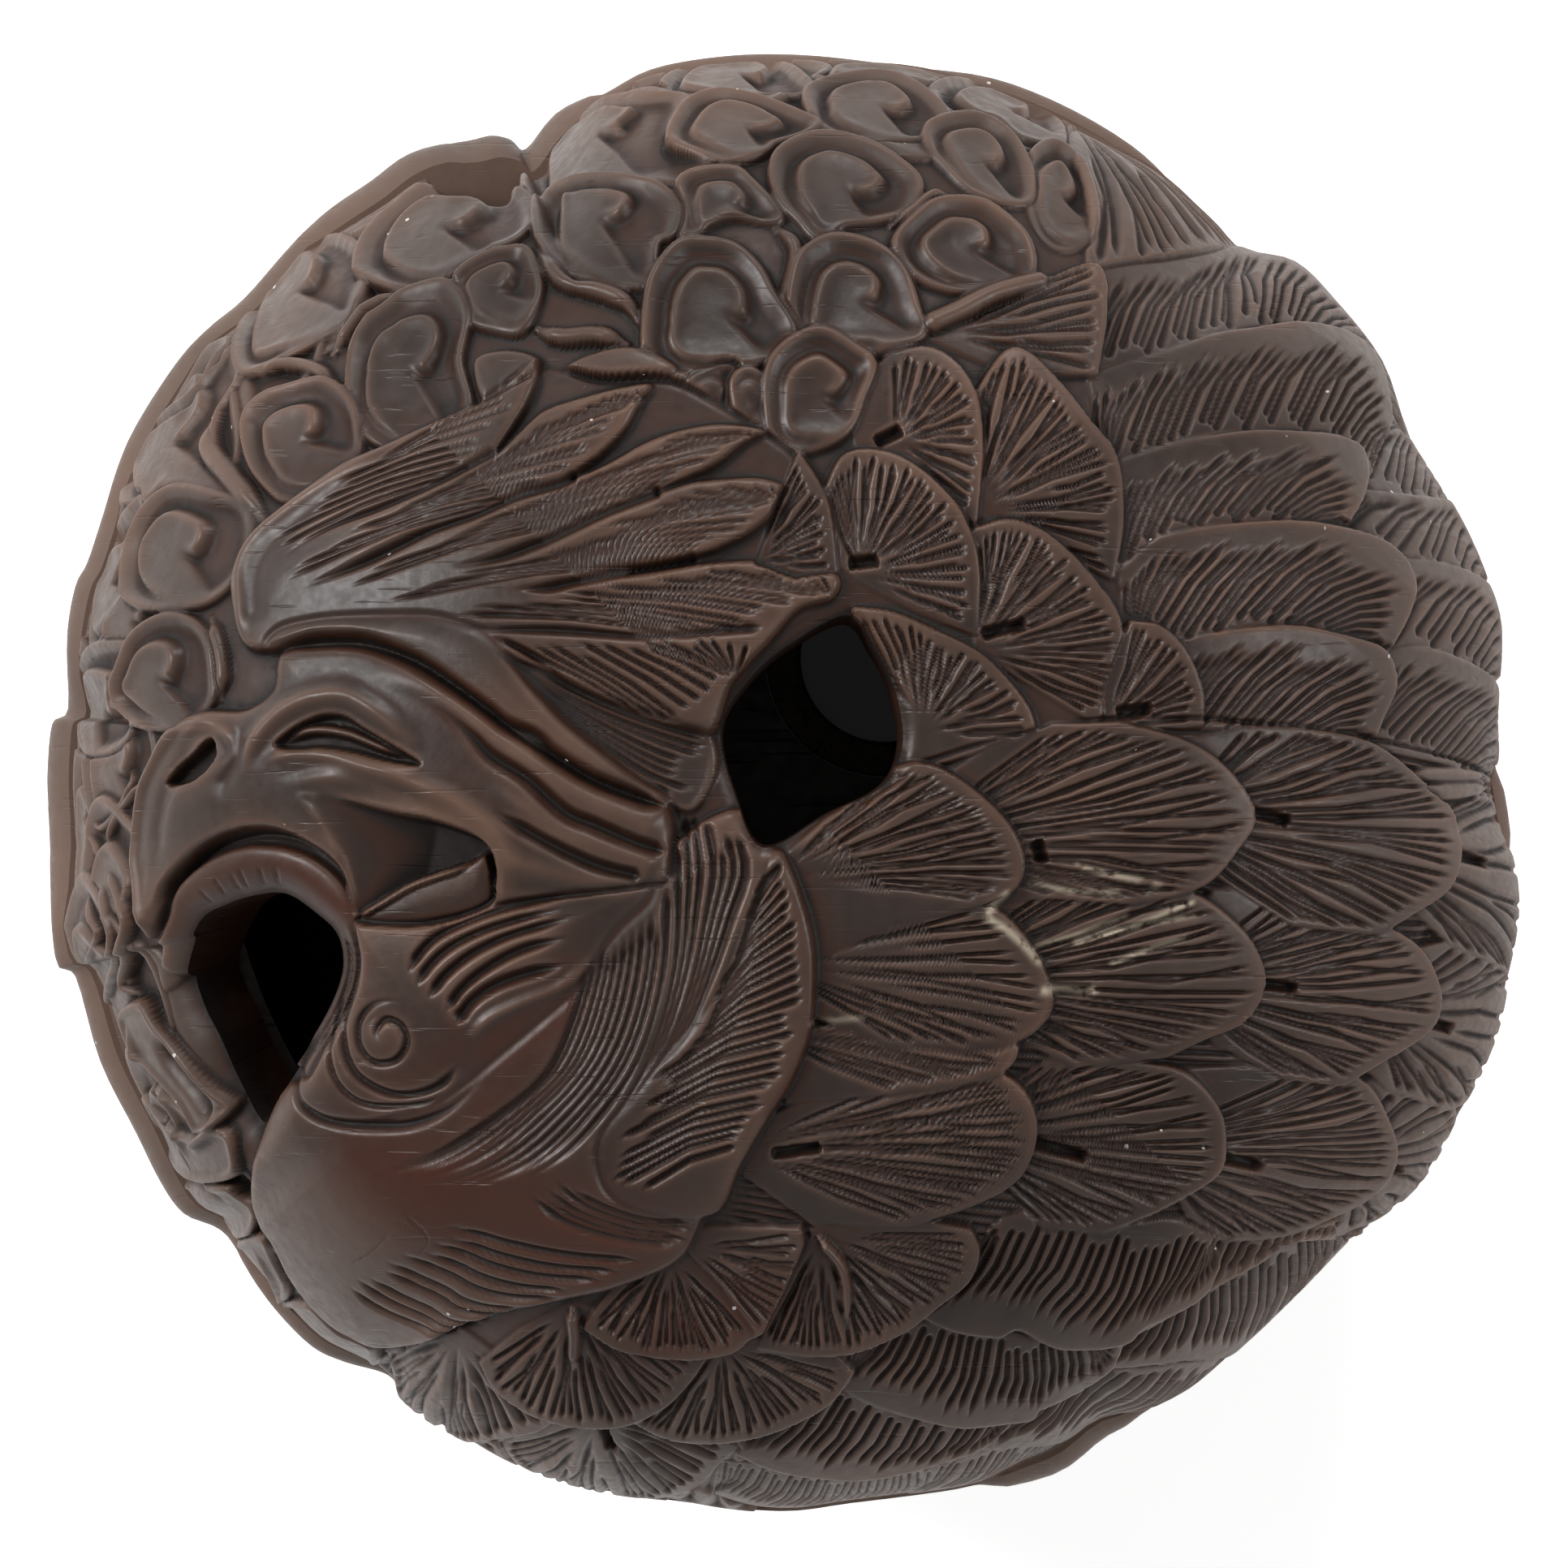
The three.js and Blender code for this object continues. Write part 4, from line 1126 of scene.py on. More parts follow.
        keys, back = np.unique(corners[plain] * 16 + group[plain], return_inverse=True)
        total = np.zeros((len(keys), 3))
        np.add.at(total, back, (own.reshape(-1, 3) * area[:, None])[face_of[plain]])
        total /= np.maximum(np.linalg.norm(total, axis=1, keepdims=True), 1e-20)
        loop_normals = normals[corners]
        loop_normals[plain] = total[back]
        flat = group == self.SIDE
        loop_normals[flat] = own.reshape(-1, 3)[face_of[flat]]
        mesh.normals_split_custom_set(loop_normals.astype(np.float32))
        return add_object(name, mesh)


def numbered(kind: type["Form"], name: str, *rows: tuple) -> tuple["Form", ...]:
    """Return forms of one kind, each named by its number, from the rest of their fields."""
    return tuple(kind(f"{name} {number}", *row) for number, row in enumerate(rows, 1))


def resample(line: Array, count: int) -> Array:
    """Space points evenly along a polyline.

    Args:
        line: The polyline, one point a row.
        count: Number of points wanted.

    Returns:
        The even points.
    """
    run = np.concatenate([[0.0], np.cumsum(np.hypot(*np.diff(line, axis=0).T))])
    at = np.linspace(0.0, run[-1], count)
    return np.stack([np.interp(at, run, line[:, 0]), np.interp(at, run, line[:, 1])], axis=-1)


class Form:
    """One carved form, placed by pixels of the photograph."""

    def carve(self, relief: Relief) -> None:
        """Carve the form into a relief."""
        raise NotImplementedError


@dataclass(frozen=True)
class Plate(Form):
    """Raised or sunk form with a rounded edge."""

    name: str
    outline: Line
    low: float = 0.0
    high: float | None = None
    crown: float = 0.06
    lip: float = 0.3
    drop: float = 0.12
    root: Place | None = None
    tip: Place | None = None
    rim: float = 0.0
    rim_width: float = 0.3
    soft: float = 0.08
    grow: float = 0.0

    def carve(self, relief: Relief) -> None:
        """Lay the plate at its pixels."""
        chart = relief.surface.chart
        lean = None if self.root is None else (chart((self.root,))[0], chart((self.tip,))[0])
        self.lay(relief, smooth(chart(self.outline), closed=True), lean)

    def lay(self, relief: Relief, outline: Array, lean: tuple[Array, Array] | None) -> None:
        """Lay the plate at chart places, and raise its rim where it has one.

        Args:
            relief: Relief to carve.
            outline: Its closed outline.
            lean: Places between which it rises, if it does.
        """
        high = self.low if self.high is None else self.high
        window, cover = relief.plate(
            outline, self.low, high, self.crown, self.lip, self.drop, lean, self.soft, self.grow
        )
        if self.rim:
            u, v = relief.cells(window)
            depth, _, _ = depth_inside(outline, u, v)
            across = (depth - 0.55 * self.rim_width) / self.rim_width
            relief.level[window] += self.rim * np.exp(-(across**2) * 2.5) * cover


@dataclass(frozen=True)
class Fan(Form):
    """Feather whose barbs spread from one place to a rounded edge."""

    name: str
    apex: Place
    edge: Line
    base: Line = ()
    barbs: int = 12
    low: float = -0.34
    high: float = 0.02
    crown: float = 0.05
    start: float = 0.2
    band: float = 0.06
    depth: float = 0.2
    slot: Line = ()
    lip: float = 0.11
    thick: float = 1.45
    near: float = 1.0
    fill: float = 0.36
    STARTS: ClassVar[tuple[float, ...]] = (0.35, 1.3, 0.8, 1.9)

    def carve(self, relief: Relief) -> None:
        """Lay the feather, cut its barbs and sink the slot of its quill."""
        chart = relief.surface.chart
        apex = chart((self.apex,))[0]
        rest = chart(self.base) if self.base else apex.reshape(1, 2)
        self.lay(relief, apex, smooth(chart(self.edge)), rest)
        if self.slot:
            relief.cut([chart(self.slot)], half_width=0.19, depth=0.4, fade=(0.05, 0.05), sharp=0.5)

    def lay(self, relief: Relief, apex: Array, edge: Array, rest: Array) -> None:
        """Lay the feather at chart places.

        Args:
            relief: Relief to carve.
            apex: Place from which the barbs spread.
            edge: Its rounded edge.
            rest: The rest of its outline.
        """
        tip = edge[len(edge) // 2]
        keep = relief.plate(
            np.vstack([edge, rest]), self.low, self.high, self.crown, self.lip, 0.06,
            (rest.mean(0), tip), grow=0.12,
        )
        count = round(self.thick * self.barbs)
        wide = float(np.hypot(*(rest - apex).T).min()) > self.near
        before, after = (rest[-1:], rest[:1]) if wide else (edge[:0], edge[:0])
        ends = resample(np.vstack([before, edge, after]), 4 * count + 1)
        reach = float(np.hypot(*np.diff(edge, axis=0).T).sum())
        lines = []
        for barb in range(count):
            at = (barb + 0.5 + relief.hand.uniform(-0.28, 0.28)) / count
            end = ends[int(at * 4 * count)]
            start = self.start * self.STARTS[barb % 4] + relief.hand.uniform(-0.03, 0.1)
            way = end - apex
            across = np.array([-way[1], way[0]]) * relief.hand.uniform(-0.04, 0.04)
            stop = 1.0 - (self.band + relief.hand.uniform(-0.04, 0.3)) / float(np.hypot(*way))
            middle = apex + way * (start + stop) / 2 + across
            lines.append(np.array([apex + way * start, middle, apex + way * stop]))
        relief.cut(lines, self.fill * reach / count, self.depth, (0.3, 0.1), keep, 1.2)


@dataclass(frozen=True)
class Vane(Form):
    """Long feather with slanting barbs between its leading and its trailing edge."""

    name: str
    leading: Line
    trailing: Line
    barbs: int = 16
    slant: float = 0.2
    low: float = -0.3
    high: float = 0.05
    start: float = 0.06
    stop: float = 0.8
    depth: float = 0.21
    lip: float = 0.15
    crown: float = 0.04
    thick: float = 1.4
    fill: float = 0.34

    def carve(self, relief: Relief) -> None:
        """Lay the feather and cut its barbs.

        Args:
            relief: Relief to carve.
        """
        chart = relief.surface.chart
        leading, trailing = smooth(chart(self.leading)), smooth(chart(self.trailing))
        outline = np.vstack([leading, trailing[::-1]])
        lean = (trailing[len(trailing) // 2], leading[len(leading) // 2])
        keep = relief.plate(outline, self.low, self.high, self.crown, self.lip, 0.07, lean, grow=0.1)
        count = round(self.thick * self.barbs)
        steps = 8 * count
        lead, trail = resample(leading, steps + 1), resample(trailing, steps + 1)
        reach = float(np.hypot(*np.diff(leading, axis=0).T).sum())
        lines = []
        for barb in range(count + int(abs(self.slant) * count) + 1):
            at = (barb + 0.5 + relief.hand.uniform(-0.14, 0.14)) / count - max(-self.slant, 0.0)
            low, high = at - self.slant, at
            foot = trail[int(np.clip(low, 0, 1) * steps)]
            head = lead[int(np.clip(high, 0, 1) * steps)]
            way = head - foot
            start = self.start + relief.hand.uniform(-0.05, 0.12)
            stop = self.stop + relief.hand.uniform(-0.06, 0.12)
            across = np.array([-way[1], way[0]]) * relief.hand.uniform(0.03, 0.05)
            middle = foot + way * (start + stop) / 2 + across
            lines.append(np.array([foot + way * start, middle, foot + way * stop]))
        relief.cut(lines, self.fill * reach / count, self.depth, (0.06, 0.25), keep, 1.2)


@dataclass(frozen=True)
class Strands(Form):
    """Long fine grooves that run between two guide lines."""

    name: str
    first: Line
    last: Line
    count: int = 8
    width: float = 0.16
    depth: float = 0.1
    loose: float = 0.12
    fade: Place = (0.3, 0.3)
    sharp: float = 1.7
    SPANS: ClassVar[int] = 24

    def carve(self, relief: Relief) -> None:
        """Cut the grooves, each a little shorter or longer than the next.

        Args:
            relief: Relief to carve.
        """
        chart, spans = relief.surface.chart, self.SPANS
        first = resample(smooth(chart(self.first)), spans + 1)
        last = resample(smooth(chart(self.last)), spans + 1)
        lines = []
        for strand in range(self.count):
            share = (strand + 0.5 + relief.hand.uniform(-0.18, 0.18)) / self.count
            line = first + (last - first) * share
            cut_start = int(spans * relief.hand.uniform(0.0, self.loose))
            cut_end = spans + 1 - int(spans * relief.hand.uniform(0.0, self.loose))
            lines.append(line[cut_start:cut_end])
        relief.cut(lines, self.width, self.depth, self.fade, None, self.sharp)


@dataclass(frozen=True)
class Groove(Form):
    """Single cut groove."""

    name: str
    line: Line
    width: float = 0.2
    depth: float = 0.2
    fade: Place = (0.2, 0.2)
    sharp: float = 1.5
    stain: float = 0.0

    def carve(self, relief: Relief) -> None:
        """Cut the groove, and stain it where it is stained."""
        line = smooth(relief.surface.chart(self.line))
        relief.cut([line], self.width, self.depth, self.fade, None, self.sharp)
        if self.stain:
            relief.tint(relief.stain, line, self.width, self.stain)


@dataclass(frozen=True)
class Ridge(Form):
    """Single raised rounded ridge."""

    name: str
    line: Line
    width: float = 0.25
    top: float = 0.1
    foot: float = -0.15
    fade: Place = (0.25, 0.25)

    def carve(self, relief: Relief) -> None:
        """Raise the ridge."""
        line = smooth(relief.surface.chart(self.line))
        relief.bead(line, self.width, self.top, self.foot, self.fade)


@dataclass(frozen=True)
class Roll(Form):
    """Soft swelling or hollow that runs along a line."""

    name: str
    line: Line
    spread: float = 0.3
    rise: float = 0.12
    fade: Place = (0.2, 0.2)

    def carve(self, relief: Relief) -> None:
        """Swell the surface."""
        relief.swell(smooth(relief.surface.chart(self.line)), self.spread, self.rise, self.fade)


@dataclass(frozen=True)
class Knob(Form):
    """Round raised knob."""

    name: str
    centre: Place
    radius: float
    top: float
    foot: float = -0.2

    def carve(self, relief: Relief) -> None:
        """Raise the knob."""
        relief.dome(relief.surface.chart((self.centre,))[0], self.radius, self.top, self.foot)


@dataclass(frozen=True)
class Tint(Form):
    """Colour rubbed or left in the wood along a line."""

    name: str
    line: Line
    spread: float
    strength: float = 1.0
    wax: bool = False

    def carve(self, relief: Relief) -> None:
        """Colour the stain or the wax layer."""
        line = smooth(relief.surface.chart(self.line))
        relief.tint(relief.wax if self.wax else relief.stain, line, self.spread, self.strength)


@dataclass(frozen=True)
class Barbs(Form):
    """Fine grooves, each from one guide line across to another."""

    name: str
    inner: Line
    outer: Line
    count: int = 20
    width: float = 0.15
    depth: float = 0.14
    bend: float = 0.08
    slant: float = 0.0
    fade: Place = (0.3, 0.2)

    def carve(self, relief: Relief) -> None:
        """Cut the grooves, of which each ends further along the outer line by the slant.

        Args:
            relief: Relief to carve.
        """
        chart = relief.surface.chart
        steps = 8 * self.count
        inner = resample(smooth(chart(self.inner)), steps + 1)
        outer = resample(smooth(chart(self.outer)), steps + 1)
        lines = []
        for barb in range(self.count):
            at = (barb + 0.5 + relief.hand.uniform(-0.2, 0.2)) / self.count
            start = inner[int(at * steps)]
            end = outer[int(np.clip(at + self.slant, 0.0, 1.0) * steps)]
            way = end - start
            first, last = relief.hand.uniform(0.0, 0.2), 1.0 - relief.hand.uniform(0.03, 0.12)
            across = np.array([-way[1], way[0]]) * self.bend
            middle = start + way * 0.55 + across
            lines.append(np.array([start + way * first, middle, start + way * last]))
        relief.cut(lines, self.width, self.depth, self.fade, None, 1.3)


@dataclass(frozen=True)
class Curl(Form):
    """Curling lappet: ledges with a sharp crest that wind into the middle as a spiral."""

    name: str
    outline: Line
    level: float = 0.0
    rim: float = 0.06
    bowl: float = 0.4
    start: float = -0.12
    grow: float = 0.2
    TURNS: ClassVar[tuple[float, ...]] = (0.0, 0.12, 0.3, 0.55, 0.8, 0.94, 1.0)
    CREST: ClassVar[tuple[float, ...]] = (1.05, 0.8, 0.66, 0.57, 0.5, 0.3, 0.0)

    def carve(self, relief: Relief) -> None:
        """Lay the curl and wind its crest inwards, clockwise from the lower right."""
        outline = smooth(relief.surface.chart(self.outline), closed=True)
        self.lay(relief, outline)

    def lay(self, relief: Relief, outline: Array) -> None:
        """Lay the curl at chart places.

        Args:
            relief: Relief to carve.
            outline: Its closed outline.
        """
        middle = (outline.max(0) + outline.min(0)) / 2.0
        turn = math.radians(130.0 + relief.hand.uniform(-40.0, 40.0))
        way = np.array([math.cos(turn), math.sin(turn)]) * np.ptp(outline, axis=0) / 2.0
        lean = (middle - way, middle + way)
        window, cover = relief.plate(
            outline, self.level - 0.14, self.level + 0.1, 0.0, 0.22, 0.16, lean, grow=self.grow
        )
        u, v = relief.cells(window)
        spokes = outline - middle
        around = np.arctan2(spokes[:, 1], spokes[:, 0])
        order = np.argsort(around)
        angle = np.arctan2(v - middle[1], u - middle[0])
        reach = np.interp(angle, around[order], np.hypot(*spokes[order].T), period=FULL_TURN) + self.grow
        share = np.hypot(u - middle[0], v - middle[1]) / reach
        turn = (self.start + relief.hand.uniform(-0.07, 0.07) - angle / FULL_TURN) % 1.0
        crest = np.interp(turn, self.TURNS, self.CREST)
        outer = share > crest
        inwards = (np.where(outer, 1.0, crest) - share) * reach
        bowl = np.where(outer, self.bowl, 0.3 * self.bowl)
        hollow = bowl * (1.0 - np.exp(-((inwards / 0.5) ** 2)))
        ledge = self.rim * np.exp(-((inwards / 0.25) ** 2)) - hollow
        depth = np.where(share > 1.0, 0.0, ledge * np.clip(4.0 * (1.0 - share), 0.0, 1.0))
        relief.level[window] += box_blur(depth, 2) * cover


WING: tuple[Form, ...] = (
    Fan("flight feather at the top", (1325, 125), ((1440, 200), (1505, 262), (1545, 303), (1470, 312),
        (1400, 322), (1345, 335)), base=((1345, 240), (1320, 160), (1345, 135), (1400, 165)), barbs=15,
        low=-0.3, high=-0.12, start=0.25),
    Vane("second row, first", ((1700, 490), (1715, 506), (1750, 533), (1787, 575), (1808, 630)), ((1685, 555),
        (1697, 590), (1720, 604), (1760, 609), (1800, 628)), barbs=9, slant=0.25, low=-0.35, high=-0.12),
    Vane("second row, second", ((1690, 598), (1725, 603), (1770, 610), (1802, 625), (1832, 660), (1856, 720)),
        ((1660, 650), (1700, 672), (1735, 694), (1785, 700), (1845, 725)), barbs=10, slant=0.25, low=-0.35,
        high=-0.08),
    Vane("second row, third", ((1735, 684), (1780, 689), (1822, 704), (1852, 735), (1862, 780), (1862, 840)),
        ((1715, 795), (1745, 803), (1775, 806), (1805, 815), (1830, 832), (1850, 850)), barbs=11, slant=0.3,
        low=-0.35, high=-0.06),
    Vane("second row, fourth", ((1715, 800), (1760, 796), (1802, 809), (1842, 835), (1860, 865), (1862, 900),
        (1856, 940)), ((1700, 905), (1720, 922), (1750, 940), (1785, 952), (1815, 955), (1840, 950)),
        barbs=13, slant=0.3, low=-0.35, high=-0.04),
    Vane("flight feather 1", ((1350, 328), (1400, 318), (1450, 312), (1500, 305), (1545, 303), (1602, 318),
        (1652, 365), (1682, 400), (1712, 440), (1737, 490), (1750, 535)), ((1345, 458), (1400, 443),
        (1450, 428), (1500, 411), (1550, 405), (1600, 400), (1650, 410), (1685, 440), (1705, 490),
        (1712, 520)), barbs=25, slant=0.1, low=-0.32, high=0.02, stop=0.78),
    Vane("flight feather 2", ((1345, 460), (1400, 440), (1450, 425), (1500, 408), (1550, 402), (1600, 397),
        (1650, 405), (1682, 422), (1703, 452), (1712, 490), (1716, 518)), ((1365, 572), (1410, 558),
        (1450, 547), (1500, 538), (1550, 533), (1600, 536), (1650, 545), (1680, 562), (1695, 580),
        (1705, 560)), barbs=22, slant=0.16, low=-0.32, high=0.04, stop=0.76),
    Vane("flight feather 3", ((1362, 572), (1410, 555), (1450, 543), (1500, 535), (1550, 530), (1600, 533),
        (1650, 538), (1678, 552), (1686, 580), (1680, 610), (1668, 635)), ((1385, 700), (1420, 672),
        (1450, 660), (1500, 651), (1550, 647), (1600, 646), (1640, 650), (1660, 655)), barbs=18, stop=0.78),
    Vane("flight feather 4", ((1385, 700), (1425, 665), (1450, 656), (1500, 648), (1550, 644), (1600, 643),
        (1650, 650), (1702, 665), (1732, 690), (1744, 722), (1737, 760), (1722, 792)), ((1400, 790),
        (1460, 795), (1500, 784), (1550, 778), (1600, 776), (1650, 786), (1690, 800), (1710, 805)), barbs=20,
        slant=0.24, high=0.06),
    Vane("flight feather 5", ((1440, 800), (1460, 791), (1500, 781), (1550, 775), (1600, 773), (1650, 783),
        (1700, 798), (1716, 820), (1719, 848), (1708, 880), (1700, 905)), ((1450, 905), (1500, 912),
        (1550, 912), (1600, 912), (1640, 912), (1680, 912)), barbs=17, slant=0.3, high=0.07, stop=0.82),
    Fan("covert 1", (1150, 410), ((1290, 342), (1352, 328), (1362, 385), (1352, 455)), base=((1250, 455),
        (1150, 412), (1200, 384), (1250, 356)), barbs=10, high=0.06),
    Fan("covert 2", (1198, 628), ((1207, 480), (1250, 430), (1300, 468), (1342, 520), (1374, 562),
        (1384, 640), (1374, 708)), base=((1290, 668), (1198, 628)), barbs=24, high=0.06, start=0.22),
    Fan("covert 3", (1105, 540), ((1100, 432), (1150, 430), (1192, 468), (1208, 535), (1202, 640)),
        base=((1120, 580), (1060, 560), (1048, 500), (1070, 460)), barbs=14, high=0.06, slot=((1080, 541),
        (1112, 526))),
    Fan("covert 4", (1205, 802), ((1203, 652), (1250, 643), (1300, 668), (1350, 720), (1380, 770),
        (1378, 850), (1352, 887)), base=((1290, 850), (1205, 802)), barbs=22, high=0.07, start=0.22,
        slot=((1212, 780), (1266, 766))),
    Fan("covert 5", (1060, 706), ((1018, 604), (1045, 560), (1100, 562), (1150, 595), (1186, 640),
        (1204, 700), (1204, 778)), base=((1130, 750), (1060, 712), (1020, 680)), barbs=22, high=0.09,
        start=0.16, slot=((1046, 692), (1083, 688))),
    Fan("covert 6", (1368, 898), ((1396, 768), (1430, 775), (1458, 802), (1480, 848), (1484, 890)),
        base=((1430, 905), (1370, 902), (1366, 850)), barbs=9, high=0.08, slot=((1380, 877), (1424, 872))),
    Fan("covert 7", (1138, 902), ((1055, 752), (1100, 758), (1152, 780), (1212, 812), (1264, 870),
        (1278, 915)), base=((1200, 940), (1120, 935), (1080, 830)), barbs=16, high=0.08, start=0.24),
)

